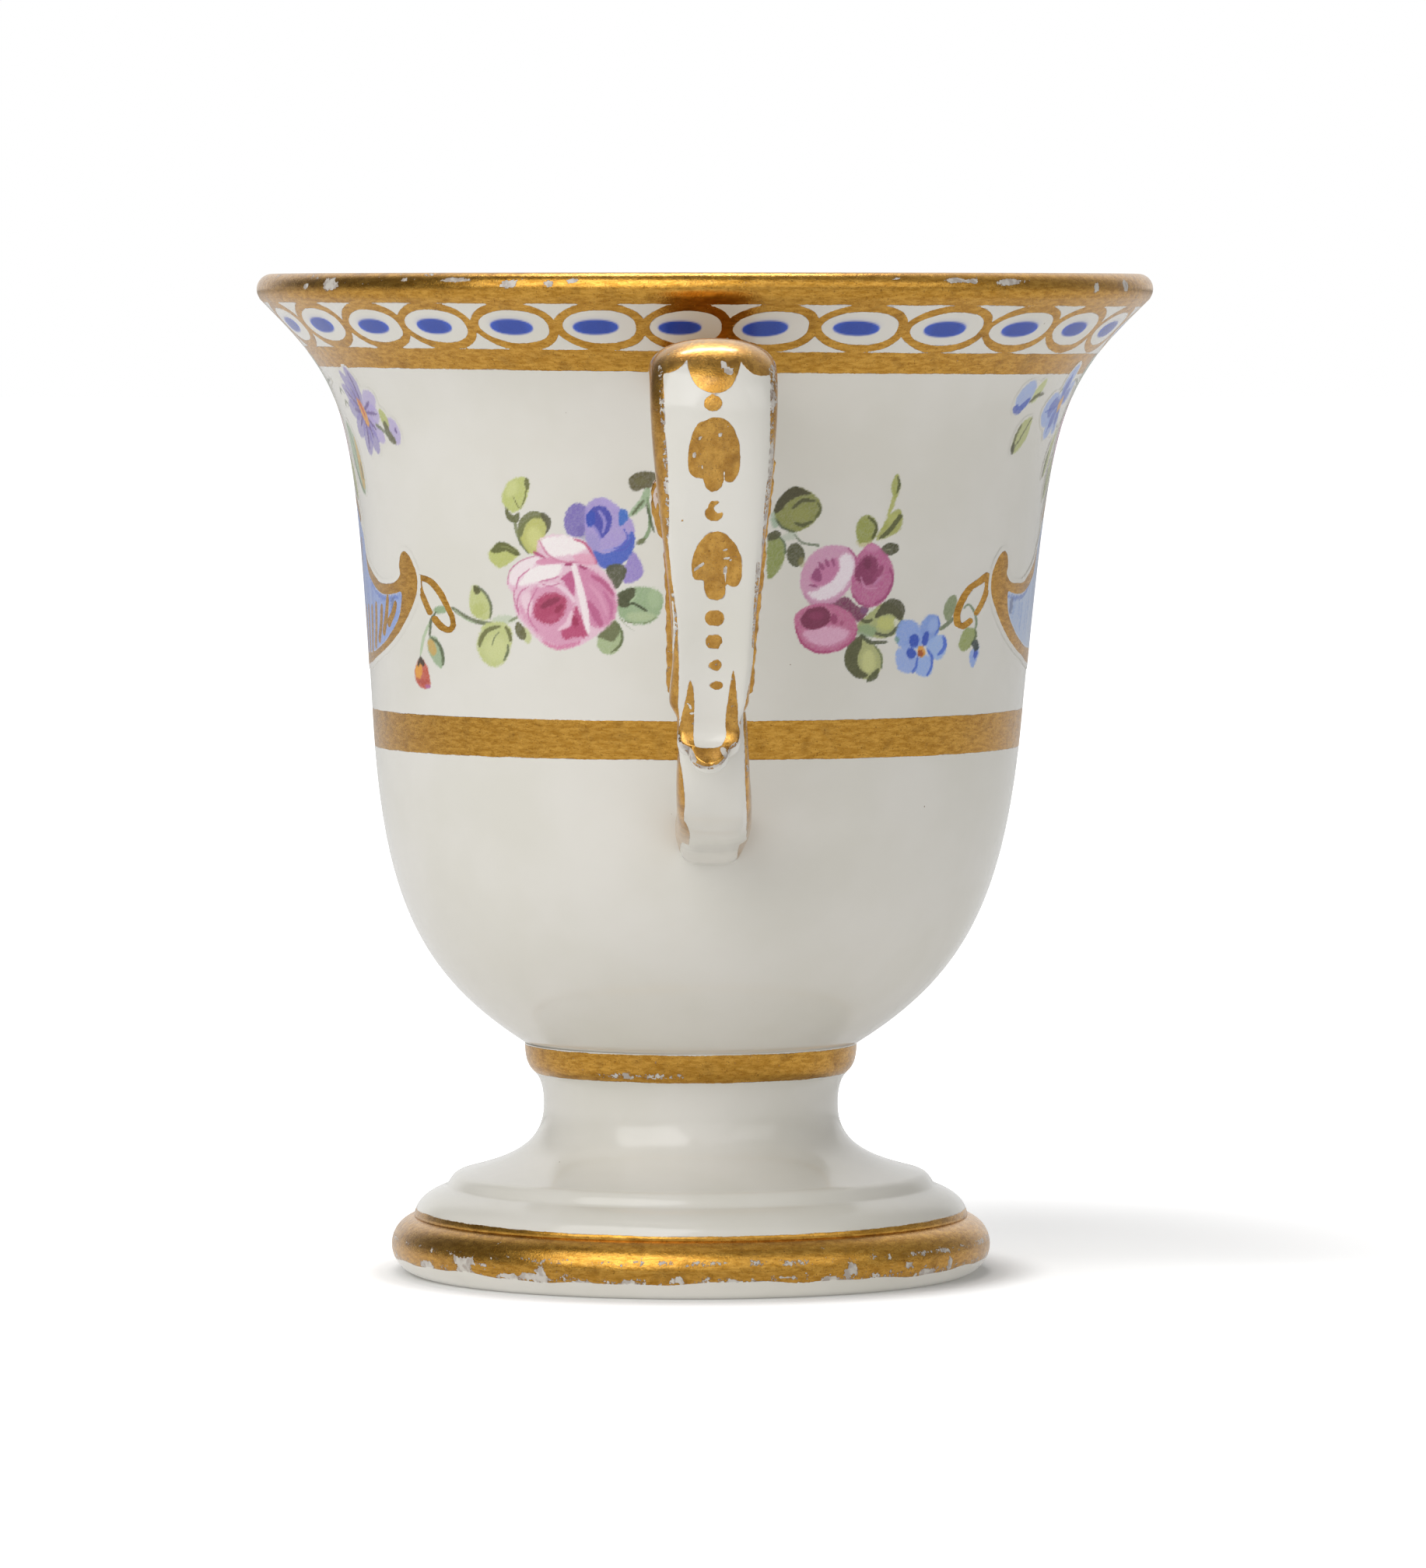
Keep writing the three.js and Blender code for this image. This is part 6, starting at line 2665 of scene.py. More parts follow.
@dataclass
class Handle:
    """The scroll handle: strap with a leaf tip, under-leaf behind it, and lower branch."""

    bowl: Bowl
    view: FrontView
    reach: float = 44.3
    top_drop: float = 4.1
    root_drop: float = 6.7
    root_flare: float = 1.3
    root_length: float = 5.0
    root_narrowing: float = 1.1
    run_length: float = 13.0
    top_width: float = 7.9
    low_width: float = 4.95
    thickness: float = 2.7
    taper_start: float = 59.0
    taper_end: float = 41.0
    bend_radius: float = 3.3
    tuck_height: float = 38.6
    tuck_inset: float = 4.1
    tuck_angle: float = 18.0
    tip_height: float = 35.3
    tip_thickness: float = 1.3
    tip_curl: float = 1.6
    tip_width: float = 3.95
    middle_lobe_width: float = 2.55
    middle_lobe_length: float = 1.5
    side_lobe_length: float = 0.75
    notch_height: float = 39.6
    notch_length: float = 1.3
    channel: float = 0.35
    buried: float = 1.1
    gap: float = 0.3
    leaf_top_gap: float = 0.2
    leaf_end_height: float = 38.5
    leaf_thickness: float = 1.0
    leaf_margin: float = 0.04
    upper_lobe_height: float = 51.0
    upper_lobe_length: float = 3.9
    upper_lobe_width: float = 0.55
    lower_lobe_height: float = 43.4
    lower_lobe_length: float = 11.0
    lower_lobe_width: float = 0.27
    leaf_lean: float = 0.23
    leaf_aside: float = 0.13
    leaf_squareness: float = 3.0
    low_sway: float = 0.22
    branch_top: float = 46.5
    branch_peel: float = 41.8
    branch_root: float = 29.7
    branch_thin: float = 0.9
    branch_thick: float = 3.0
    branch_narrow: float = 3.2
    branch_wide: float = 4.7
    branch_root_width: float = 4.0
    branch_flare: float = 0.7
    branch_squareness: float = 3.2
    branch_aside: float = 0.12
    branch_low_aside: float = 0.25
    branch_top_aside: float = 0.34
    knee_inset: float = 6.6
    knee_height: float = 36.6
    strap_sides: int = 150
    strap_rings: int = 400
    lobe_rings: int = 26
    leaf_sides: int = 96
    leaf_rings: int = 190
    branch_sides: int = 110
    branch_rings: int = 230
    strap_wear: float = 0.14
    leaf_wear: float = 0.24
    branch_wear: float = 0.16
    blush: Colour = (206, 172, 158)
    pixel_size: float = 0.04775
    cover_look: Look = Look((818.0, 420.0), 5.6)
    edge_look: Look = Look((790.0, 340.0), 3.2)
    middle_look: Look = Look((819.6, 680.0), 7.11)
    low_look: Look = Look((800.0, 670.0), 3.47)
    strap: SideCurve = field(init=False)
    branch: SideCurve = field(init=False)

    def __post_init__(self) -> None:
        """Draws the side curves of the strap and the branch."""
        face = self.reach - self.thickness / 2
        root_height = self.bowl.height - self.root_drop
        root_radius = float(self.bowl.radius_at(root_height)) - self.bowl.wall
        root = np.array([root_radius, root_height - 0.2])
        top = self.bowl.height - self.top_drop - self.thickness / 2
        bend = np.array([face - self.bend_radius, top - self.bend_radius])
        tuck = np.array([face - self.tuck_inset, self.tuck_height])
        tuck_way = direction(-90 - self.tuck_angle)
        tip = np.array([tuck[0] + self.tip_curl, self.tip_height])
        above = bend + np.array([0.0, self.bend_radius])
        beside = bend + np.array([self.bend_radius, 0.0])
        level = np.array([1.0, 0.0])
        down = np.array([0.0, -1.0])
        run = joined(
            eased_curve(root, direction(6), 0.35, above, level, 0.35, 90),
            arc(bend, self.bend_radius, 90, 0, 60),
            eased_curve(beside, down, 0.38, tuck, tuck_way, 0.3, 160),
            eased_curve(tuck, tuck_way, 0.42, tip, direction(-38), 0.45, 60),
        )
        self.strap = SideCurve(run)
        self.branch = self.branch_curve()

    def body_half_width(self, height: Array) -> Array:
        """Returns half the strap's width at heights, without the notch above its leaf tip."""
        taper = smooth_step(height, self.taper_end, self.taper_start)
        return (self.low_width + (self.top_width - self.low_width) * taper) / 2

    def half_width(self, height: Array) -> Array:
        """Returns half the strap's width at heights on its way down.

        Args:
            height: Heights in millimetres.

        Returns:
            Half the width at each height.
        """
        tip = self.tip_width / 2
        notch = smooth_step(height, self.notch_height - self.notch_length, self.notch_height)
        return tip + (self.body_half_width(height) - tip) * notch

    def depths(self, distance: Array) -> dict[str, Array]:
        """Returns the strap's section at distances: front and back depth, shift and shape.

        Args:
            distance: Distances along the curve, in millimetres.

        Returns:
            The parts of the section by name.
        """
        start = self.strap.distance_at(self.taper_start)
        end = self.strap.distance_at(self.taper_end)
        low = smooth_step(distance, start, end)
        thin = smooth_step(distance, end, self.strap.length)
        thick = self.thickness + (self.tip_thickness - self.thickness) * (0.35 * low + 0.65 * thin)
        dome = 0.75 - 0.25 * low
        return {
            "front": thick * dome,
            "back": thick * (1 - dome),
            "shift": thick * (0.5 - dome),
            "squareness": 2.2 + 1.4 * low,
            "channel": self.channel * low * (1 - 0.6 * thin),
        }

    def sway(self, height: Array) -> Array:
        """Returns how far the hand-set strap leans aside at heights."""
        return -self.low_sway * (1 - smooth_step(height, 39.5, 42.5))

    def tip_half_width(self, from_end: Array) -> Array:
        """Returns half the leaf tip's width at distances from its end: middle lobe, side lobes.

        Args:
            from_end: Distances back from the tip's end, in millimetres.

        Returns:
            Half the width at each distance.
        """
        inner = np.clip(from_end / self.middle_lobe_length, 0.0, 1.0)
        outer = np.clip((from_end - self.middle_lobe_length) / self.side_lobe_length, 0.0, 1.0)
        middle = self.middle_lobe_width / 2 * np.sqrt(1 - (1 - inner) ** 2)
        return middle + (self.tip_width - self.middle_lobe_width) / 2 * np.sqrt(1 - (1 - outer) ** 2)

    def strap_section(self, distance: Array, angle: Array) -> tuple[Array, Array]:
        """Returns the strap's section: across and outwards.

        Args:
            distance: Distances along the curve, in millimetres.
            angle: Angles round the section, in radians.

        Returns:
            The way across and the way outwards of each point.
        """
        deep = self.depths(distance)
        height = self.strap.place(distance)[:, 1]
        falling = distance > self.strap.distance_at(self.taper_start)
        from_wall = distance - self.bowl.wall
        swell = (1 - smooth_step(from_wall, 0.0, self.root_length)) ** 2
        narrowing = self.root_narrowing * (1 - smooth_step(from_wall, 0.0, self.run_length))
        half = np.where(falling, self.half_width(height), (self.top_width - narrowing) / 2)
        front = deep["front"] + self.root_flare * swell / 2
        back = deep["back"] + self.root_flare * swell / 2
        from_end = np.maximum(self.strap.length - distance, 0.0)
        on_tip = from_end < self.middle_lobe_length + self.side_lobe_length
        tip = np.maximum(self.tip_half_width(from_end), 0.004)
        half = np.where(on_tip, tip, half)
        fade = np.where(on_tip, np.sqrt(np.minimum(1.0, tip / (self.middle_lobe_width / 2))), 1.0)
        fade = 0.4 + 0.6 * fade
        across = eased_power(np.cos(angle), deep["squareness"])
        out = eased_power(np.sin(angle), deep["squareness"])
        dip = np.where(out > 0, deep["channel"] * np.maximum(0, 1 - (across / 0.85) ** 2), 0.0)
        depth = np.where(out > 0, front, back) * fade
        return across * half + self.sway(height), deep["shift"] + out * depth - dip * fade

    def strap_distances(self) -> Array:
        """Returns the rings' distances along the strap, closer together round the tip's lobes.

        Returns:
            The distances in millimetres.
        """
        turn = np.linspace(math.pi / 2, 0.0, self.lobe_rings)
        side_end = self.strap.length - self.middle_lobe_length
        side_start = side_end - self.side_lobe_length
        plain = np.linspace(self.buried, side_start, self.strap_rings)[:-1]
        side = side_end - self.side_lobe_length * (1 - np.cos(turn))
        middle = self.strap.length - self.middle_lobe_length * (1 - np.cos(turn))
        return np.concatenate([plain, side[:-1], middle])

    def front_canvas(self, places: Array, seed: int, wear: float) -> Canvas:
        """Starts a canvas in pixels of the front view.

        Args:
            places: Rows of x, y, z in millimetres.
            seed: Number that fixes the grain of the brush.
            wear: Wear of all the gilding.

        Returns:
            The bare canvas.
        """
        column, row = self.view.project(places, self.bowl.centre)
        canvas = Canvas(column, row, seed)
        canvas.wear[:] = wear
        return canvas

    def paint_strap(self, places: Array, distance: Array, angle: Array) -> Canvas:
        """Gilds the strap: covered top, scallops, palmettes, dots, edges and leaf tip.

        Args:
            places: Rows of x, y, z in millimetres.
            distance: Distances along the curve, in millimetres.
            angle: Angles round the section, in radians.

        Returns:
            The painted canvas.
        """
        canvas = self.front_canvas(places, 5, self.strap_wear)
        canvas.look(self.cover_look, self.pixel_size)
        self.gild_top(canvas)
        canvas.look(self.edge_look, self.pixel_size)
        self.gild_upper_edges(canvas)
        canvas.look(self.middle_look, self.pixel_size)
        self.gild_middle(canvas)
        canvas.look(self.low_look, self.pixel_size)
        self.gild_lower_edges(canvas)
        self.gild_tip(canvas)
        front = np.sin(angle) > -0.25
        bend = self.strap.distance_at(self.bowl.height - self.top_drop - self.thickness / 2 - 0.5)
        inner_run = distance < bend
        canvas.gilt = np.where(inner_run, 1.0, canvas.gilt)
        canvas.gilt = np.where(front, canvas.gilt, -1.0)
        return canvas

    def gild_top(self, canvas: Canvas) -> None:
        """Gilds the cover of the bend, its scallops, the first dot, palmette and crescent.

        Args:
            canvas: Canvas to paint on.
        """
        canvas.gild_outline([(60, -400), (1040, -400), (1040, 240), (900, 200), (740, 205), (560, 200),
                             (370, 205), (200, 200), (60, 220)])
        canvas.gild_outline([(78, 150), (200, 120), (340, 150), (354, 240), (322, 292), (268, 322),
                             (196, 338), (126, 322), (70, 250)])
        canvas.gild_outline([(362, 170), (550, 130), (750, 160), (750, 250), (722, 360), (684, 432),
                             (610, 474), (520, 470), (438, 426), (390, 350), (366, 260)])
        canvas.gild_outline([(742, 180), (900, 130), (1010, 180), (1012, 300), (960, 347), (898, 352),
                             (838, 336), (778, 282), (746, 235)])
        canvas.chip_outline([(604, 240), (642, 255), (656, 290), (692, 310), (690, 342), (650, 340),
                             (624, 300), (602, 270)])
        canvas.gild_dot((553, 552), (64, 57))
        canvas.gild_outline([(550, 655), (640, 668), (702, 735), (738, 830), (744, 900), (747, 950),
                             (737, 1040), (700, 1110), (660, 1120), (628, 1110), (614, 1150), (574, 1187),
                             (534, 1187), (498, 1150), (478, 1096), (428, 1086), (384, 1046), (371, 960),
                             (379, 860), (410, 760), (450, 694), (500, 678)])
        canvas.scrape_stroke([(476, 1092), (484, 1040), (470, 1000)], 7)
        canvas.scrape_stroke([(628, 1108), (630, 1060), (646, 1020)], 7)
        for scratch in ([(458, 795), (466, 822)], [(592, 760), (612, 785)], [(408, 905), (428, 945)]):
            canvas.wear_stroke(scratch, 10, CHIPPED)
        canvas.gild_outline([(597, 1265), (573, 1250), (540, 1259), (521, 1286), (517, 1306), (500, 1316),
                             (493, 1347), (510, 1380), (541, 1398), (577, 1400), (610, 1380), (625, 1347),
                             (621, 1330), (603, 1346), (580, 1342), (562, 1324), (551, 1301), (557, 1280),
                             (575, 1271), (593, 1280)])
        canvas.gild_dot((330, 1395), (8, 8))
        canvas.wear_dot((250, 190), (160, 60), 0.34)
        canvas.wear_dot((880, 180), (150, 60), 0.28)
        canvas.wear_dot((560, 60), (420, 70), 0.24)
        canvas.wear_dot((600, 900), (90, 160), 0.22)

    def gild_upper_edges(self, canvas: Canvas) -> None:
        """Gilds the strap's two edges down to its middle; their inner sides are rubbed.

        Args:
            canvas: Canvas to paint on.
        """
        left = [(172, 425), (176, 500), (182, 600), (186, 700), (192, 800), (198, 900), (204, 1000),
                (208, 1120)]
        left_side = [(140, 425), (148, 550), (160, 700), (172, 850), (182, 950), (190, 1100), (196, 1250)]
        right = [(660, 425), (660, 520), (658, 640), (655, 760), (650, 850), (640, 940), (630, 1040),
                 (622, 1150)]
        right_side = [(686, 425), (686, 600), (682, 760), (672, 880), (656, 1000), (642, 1150)]
        canvas.gild_stroke(left, 24, (1.2, 0.5))
        canvas.gild_stroke(left_side, 24)
        canvas.gild_stroke(right, 17, (1.2, 0.7))
        canvas.gild_stroke(right_side, 22)
        canvas.wear_stroke([(place[0] + 16, place[1]) for place in left], 17, 0.62)
        canvas.wear_stroke([(place[0] - 12, place[1]) for place in right], 18, 0.66)
        canvas.wear_stroke([(660, 470), (659, 560)], 22, 0.56)
        canvas.gild_stroke([(208, 940), (212, 980)], 6)
        canvas.gild_stroke([(214, 1010), (216, 1040)], 5)

    def gild_middle(self, canvas: Canvas) -> None:
        """Gilds the second palmette and scratches it.

        Args:
            canvas: Canvas to paint on.
        """
        canvas.gild_outline([(718, 20), (800, 44), (870, 110), (922, 190), (952, 290), (950, 430),
                             (916, 512), (868, 530), (824, 506), (806, 482), (804, 590), (770, 642),
                             (710, 657), (648, 636), (613, 570), (603, 482), (578, 466), (528, 463),
                             (503, 420), (496, 310), (524, 200), (574, 110), (640, 44)])
        canvas.scrape_stroke([(604, 486), (606, 440), (600, 410)], 6)
        canvas.scrape_stroke([(806, 486), (800, 430), (806, 400)], 7)
        for scratch in (
            [(524, 372), (560, 345), (596, 322)], [(690, 286), (708, 262), (716, 240)],
            [(790, 268), (820, 270), (856, 292)], [(796, 350), (800, 400)], [(786, 176), (810, 200)],
        ):
            canvas.wear_stroke(scratch, 11, CHIPPED)

    def gild_lower_edges(self, canvas: Canvas) -> None:
        """Gilds the run of dots and the strap's edges beside them.

        Args:
            canvas: Canvas to paint on.
        """
        canvas.gild_dot((412, 433), (42, 38))
        canvas.gild_dot((409, 538), (38, 37))
        canvas.scrape_outline([(438, 548), (470, 545), (470, 580), (440, 576)])
        canvas.gild_dot((412, 642), (30, 28))
        canvas.gild_dot((416, 733), (33, 20))
        left = [(190, 60), (198, 200), (214, 340), (226, 450), (232, 600), (232, 750), (230, 820), (240, 880),
                (244, 930)]
        canvas.gild_stroke(left, 19, (0.5, 0.5))
        canvas.gild_stroke([(170, 60), (176, 200), (190, 340), (204, 500), (210, 700), (208, 800)], 20)
        canvas.wear_stroke([(226, 330), (236, 420), (236, 520)], 13, 0.62)
        canvas.scrape_stroke([(224, 360), (230, 440), (230, 520), (222, 610)], 4)
        right = [(636, 60), (630, 200), (620, 330), (608, 470), (598, 600), (584, 700), (566, 790),
                 (550, 860), (532, 900)]
        canvas.gild_stroke(right, 13, (0.8, 0.7))
        canvas.gild_stroke([(656, 60), (648, 250), (634, 450), (620, 600), (604, 720)], 20)
        canvas.wear_stroke([(604, 190), (600, 300), (592, 450), (586, 560)], 15, 0.5)
        canvas.gild_stroke([(606, 190), (602, 260), (598, 330), (590, 450), (584, 560)], 7)
        canvas.wear_stroke([(606, 190), (602, 260), (598, 330), (590, 450), (584, 560)], 14, 0.62)

    def gild_tip(self, canvas: Canvas) -> None:
        """Gilds the leaf tip: two widening stripes, joined round its lobes.

        Args:
            canvas: Canvas to paint on.
        """
        canvas.gild_outline([(302, 710), (316, 745), (320, 830), (318, 920), (320, 984), (334, 1008),
                             (398, 1013), (440, 1003), (462, 960), (460, 900), (468, 820), (482, 730),
                             (495, 668), (505, 730), (513, 820), (516, 900), (524, 945), (512, 996),
                             (484, 1018), (468, 1052), (432, 1094), (394, 1106), (348, 1102), (306, 1072),
                             (288, 1030), (256, 1008), (244, 960), (262, 880), (282, 800), (292, 740)])
        canvas.scrape_stroke([(286, 812), (300, 822), (306, 840)], 6)
        canvas.scrape_stroke([(300, 860), (316, 858)], 5)
        canvas.wear_stroke([(256, 1000), (300, 1020), (322, 1068)], 12, 1.2)
        canvas.wear_stroke([(448, 1020), (462, 1046)], 14, 1.2)
        canvas.wear_stroke([(250, 960), (262, 1004), (292, 1030), (312, 1076), (350, 1100), (400, 1104),
                            (440, 1088), (470, 1050), (488, 1014), (514, 990)], 17, 0.58)
        canvas.wear_stroke([(495, 680), (492, 740)], 22, 0.5)

    def leaf_section(self, distance: Array, angle: Array) -> tuple[Array, Array]:
        """Returns the under-leaf's section, behind the strap's back; it shows most at the left.

        Args:
            distance: Distances along the curve, in millimetres.
            angle: Angles round the section, in radians.

        Returns:
            The way across and the way outwards of each point.
        """
        start, end = self.leaf_span()
        share = (distance - start) / (end - start)
        height = self.strap.place(distance)[:, 1]
        strap = self.depths(distance)
        upper = self.upper_lobe_width * self.lobe(height, self.upper_lobe_height, self.upper_lobe_length)
        lower = self.lower_lobe_width * self.lobe(height, self.lower_lobe_height, self.lower_lobe_length)
        rounded = np.sqrt(np.minimum(1.0, np.minimum((1 - share) * 20 + 0.03, share * 6 + 0.03)))
        ripple = 0.03 * np.sin(height * 4.1) + 0.02 * np.sin(height * 9.3 + 1.0)
        half = (self.body_half_width(height) + self.leaf_margin + 0.55 * upper + lower + ripple) * rounded
        depth = self.leaf_thickness / 2 * (0.3 + 0.7 * rounded)
        shift = strap["shift"] - strap["back"] - self.gap - self.leaf_thickness / 2
        across = eased_power(np.cos(angle), self.leaf_squareness)
        out = eased_power(np.sin(angle), self.leaf_squareness)
        lean = self.leaf_lean * (1 - smooth_step(height, 39.5, 49.0))
        aside = self.leaf_aside - lean - 0.45 * upper
        return across * half + aside, shift + out * depth

    def leaf_span(self) -> Pair:
        """Returns the distances along the strap at which the under-leaf starts and ends.

        Returns:
            The two distances in millimetres.
        """
        bend_middle = self.bowl.height - self.top_drop - self.thickness / 2 - self.bend_radius
        start = self.strap.distance_at(bend_middle - self.leaf_top_gap)
        return start, self.strap.distance_at(self.leaf_end_height)

    def lobe(self, height: Array, middle: float, length: float) -> Array:
        """Returns a rounded lobe: 1 at its middle, 0 at half its length above and below."""
        offset = (height - middle) / (length / 2)
        return np.sqrt(np.maximum(0.0, 1 - offset * offset))

    def paint_leaf(self, places: Array, distance: Array, angle: Array) -> Canvas:
        """Gilds the whole under-leaf; its upper lobe is rubbed to loops on a blushed ground.

        Args:
            places: Rows of x, y, z in millimetres.
            distance: Not used.
            angle: Not used.

        Returns:
            The painted canvas.
        """
        canvas = self.front_canvas(places, 8, self.leaf_wear)
        canvas.gilt[:] = 1.0
        canvas.look(self.edge_look, self.pixel_size)
        canvas.scrape_outline([(166, 925), (184, 905), (210, 930), (215, 1010), (204, 1070), (186, 1060),
                               (168, 1010), (160, 965)])
        canvas.gild_stroke([(196, 960), (180, 990), (176, 1030), (192, 1052), (204, 1030)], 5)
        canvas.gild_stroke([(170, 940), (182, 970), (196, 1010)], 4)
        canvas.colour[:] = self.blush
        canvas.cover[:] = 0.5
        return canvas

    def branch_curve(self) -> SideCurve:
        """Draws the branch's side curve: behind the under-leaf, round the knee, into the bowl.

        Returns:
            The curve.
        """
        heights = (self.branch_top, (self.branch_top + self.branch_peel) / 2, self.branch_peel)
        behind = []
        for height in heights:
            distance = np.array([self.strap.distance_at(height)])
            place = self.strap.place(distance)[0]
            way = self.strap.way(distance)[0]
            deep = self.depths(distance)
            layers = deep["back"][0] - deep["shift"][0] + self.gap + self.leaf_thickness
            layers += self.branch_thin / 2
            behind.append((place[0] + way[1] * layers, place[1] - way[0] * layers))
        knee = (self.reach - self.thickness / 2 - self.knee_inset, self.knee_height)
        upper = smooth_line([*behind, knee], steps=24)
        way = upper[-1] - upper[-2]
        root_radius = float(self.bowl.radius_at(self.branch_root)) - self.bowl.wall
        root = np.array([root_radius, self.branch_root - 0.2])
        lower = eased_curve(np.array(knee), way / np.linalg.norm(way), 0.32, root, direction(-163), 0.42, 90)
        return SideCurve(joined(upper, lower))

    def branch_section(self, distance: Array, angle: Array) -> tuple[Array, Array]:
        """Returns the branch's section, which swells from its thin top and flares at its root.

        Args:
            distance: Distances along the curve, in millimetres.
            angle: Angles round the section, in radians.

        Returns:
            The way across and the way outwards of each point.
        """
        length = self.branch.length
        swell = smooth_step(distance / length, 0.0, 0.5)
        thick = self.branch_thin + (self.branch_thick - self.branch_thin) * swell
        width = self.branch_narrow + (self.branch_wide - self.branch_narrow) * swell
        width = width + (self.branch_root_width - width) * smooth_step(distance / length, 0.8, 1.0)
        flare = self.branch_flare * (1 - smooth_step(length - distance - self.bowl.wall, 0.0, 4.0)) ** 2
        start = np.sqrt(np.minimum(1.0, distance / 1.2 + 0.04))
        across = eased_power(np.cos(angle), self.branch_squareness)
        out = eased_power(np.sin(angle), self.branch_squareness)
        height = self.branch.place(distance)[:, 1]
        low = 1 - smooth_step(height, 30.5, 35.0)
        top = smooth_step(height, 37.5, 42.5)
        aside = self.branch_aside + self.branch_low_aside * low - self.branch_top_aside * top
        return across * width / 2 * start + aside, out * (thick + flare) / 2 * (0.5 + 0.5 * start)

    def paint_branch(self, places: Array, distance: Array, angle: Array) -> Canvas:
        """Gilds the branch's edges and the blot at its left.

        Args:
            places: Rows of x, y, z in millimetres.
            distance: Not used.
            angle: Angles round the section, in radians.

        Returns:
            The painted canvas.
        """
        canvas = self.front_canvas(places, 9, self.branch_wear)
        canvas.look(self.low_look, self.pixel_size)
        canvas.gild_stroke([(224, 850), (230, 980), (244, 1080), (256, 1160), (263, 1240), (258, 1340)], 15)
        canvas.gild_stroke([(200, 850), (208, 980), (222, 1080), (234, 1160), (240, 1240), (234, 1340)], 18)
        canvas.gild_outline([(232, 1330), (278, 1342), (300, 1400), (294, 1450), (284, 1492), (258, 1496),
                             (230, 1440), (226, 1380)])
        canvas.gild_stroke([(550, 860), (553, 1000), (557, 1150), (564, 1300), (563, 1400), (566, 1440),
                            (562, 1490)], 9)
        canvas.gild_stroke([(566, 860), (570, 1150), (580, 1300), (584, 1400), (580, 1470)], 12)
        canvas.wear_stroke([(552, 950), (557, 1150)], 12, 0.4)
        half = (self.branch_root_width + 0.5) / 2
        edge = np.abs(places[:, 0] - 0.2) - half + 0.42
        from_knee = self.reach - self.thickness / 2 - self.knee_inset - (self.bowl.centre - places[:, 1])
        upper_side = (np.sin(angle) < -0.2) & (from_knee > 2.0)
        hidden = (from_knee > 9.0) | upper_side
        canvas.gilt = np.where(hidden & (places[:, 2] < self.knee_height), edge, canvas.gilt)
        return canvas

    def build(self, glaze: Material) -> None:
        """Builds the strap, the under-leaf and the branch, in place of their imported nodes.

        Args:
            glaze: The piece's material.
        """
        strap_rings = self.strap_distances()
        start, end = self.leaf_span()
        along = 0.5 - 0.5 * np.cos(np.linspace(0, math.pi, self.leaf_rings))
        leaf_rings = start + (end - start) * along
        branch_rings = np.linspace(0.0, self.branch.length - self.buried, self.branch_rings)
        for name, curve, rings, sides, section, dress in (
            ("strap", self.strap, strap_rings, self.strap_sides, self.strap_section, self.paint_strap),
            ("underleaf", self.strap, leaf_rings, self.leaf_sides, self.leaf_section, self.paint_leaf),
            ("branch", self.branch, branch_rings, self.branch_sides, self.branch_section, self.paint_branch),
        ):
            mesh = swept_tube(curve, self.bowl.centre, rings, sides, section, dress)
            piece = finished_object(f"handle_{name}_body", mesh, glaze)
            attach(piece, BODY)
            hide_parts(f"handle_{name}")


# Studio


@dataclass(frozen=True)
class Lamp:
    """A soft lamp that points at the cup, in metres and watts."""

    name: str
    place: Colour
    size: Pair
    power: float

    def add(self) -> None:
        """Adds the lamp to the scene."""
        data = bpy.data.lights.new(self.name, "AREA")
        data.shape = "RECTANGLE"
        data.size, data.size_y = self.size
        data.energy = self.power
        lamp = bpy.data.objects.new(self.name, data)
        lamp.location = self.place
        lamp.rotation_mode = "QUATERNION"
        lamp.rotation_quaternion = (LAMP_TARGET - Vector(self.place)).to_track_quat("-Z", "Y")
        bpy.context.collection.objects.link(lamp)


@dataclass(frozen=True)
class MirroredRoom:
    """The room's brightness in reflections: a wide pale sheet in front, dark wings aside."""

    level: float = 0.5
    sheet: float = 1.15
    zenith: float = 0.35
    left_wing: float = 0.15
    right_wing: float = 0.38
    behind: float = 0.95

    def brightness(self, nodes: Nodes, parts: bpy.types.Node) -> Socket:
        """Builds the room.

        Args:
            nodes: Nodes of the world.
            parts: Node that gives the x, y and z of the direction looked in.

        Returns:
            The brightness in that direction.
        """
        right, back, up = (parts.outputs[axis] for axis in "XYZ")
        above = nodes.rise(up, 0.03, 0.2)
        top = nodes.rise(up, 0.72, 0.92)
        middle = nodes.between(top, nodes.between(above, self.level, self.sheet), self.zenith)
        on_left = nodes.rise(nodes.math("MULTIPLY", right, -1.0), 0.2, 0.6)
        on_right = nodes.rise(right, 0.25, 0.75)
        room = nodes.between(on_left, middle, nodes.between(above, self.level, self.left_wing))
        room = nodes.between(on_right, room, nodes.between(above, self.level, self.right_wing))
        return nodes.between(nodes.rise(back, 0.72, 0.97), room, self.behind)


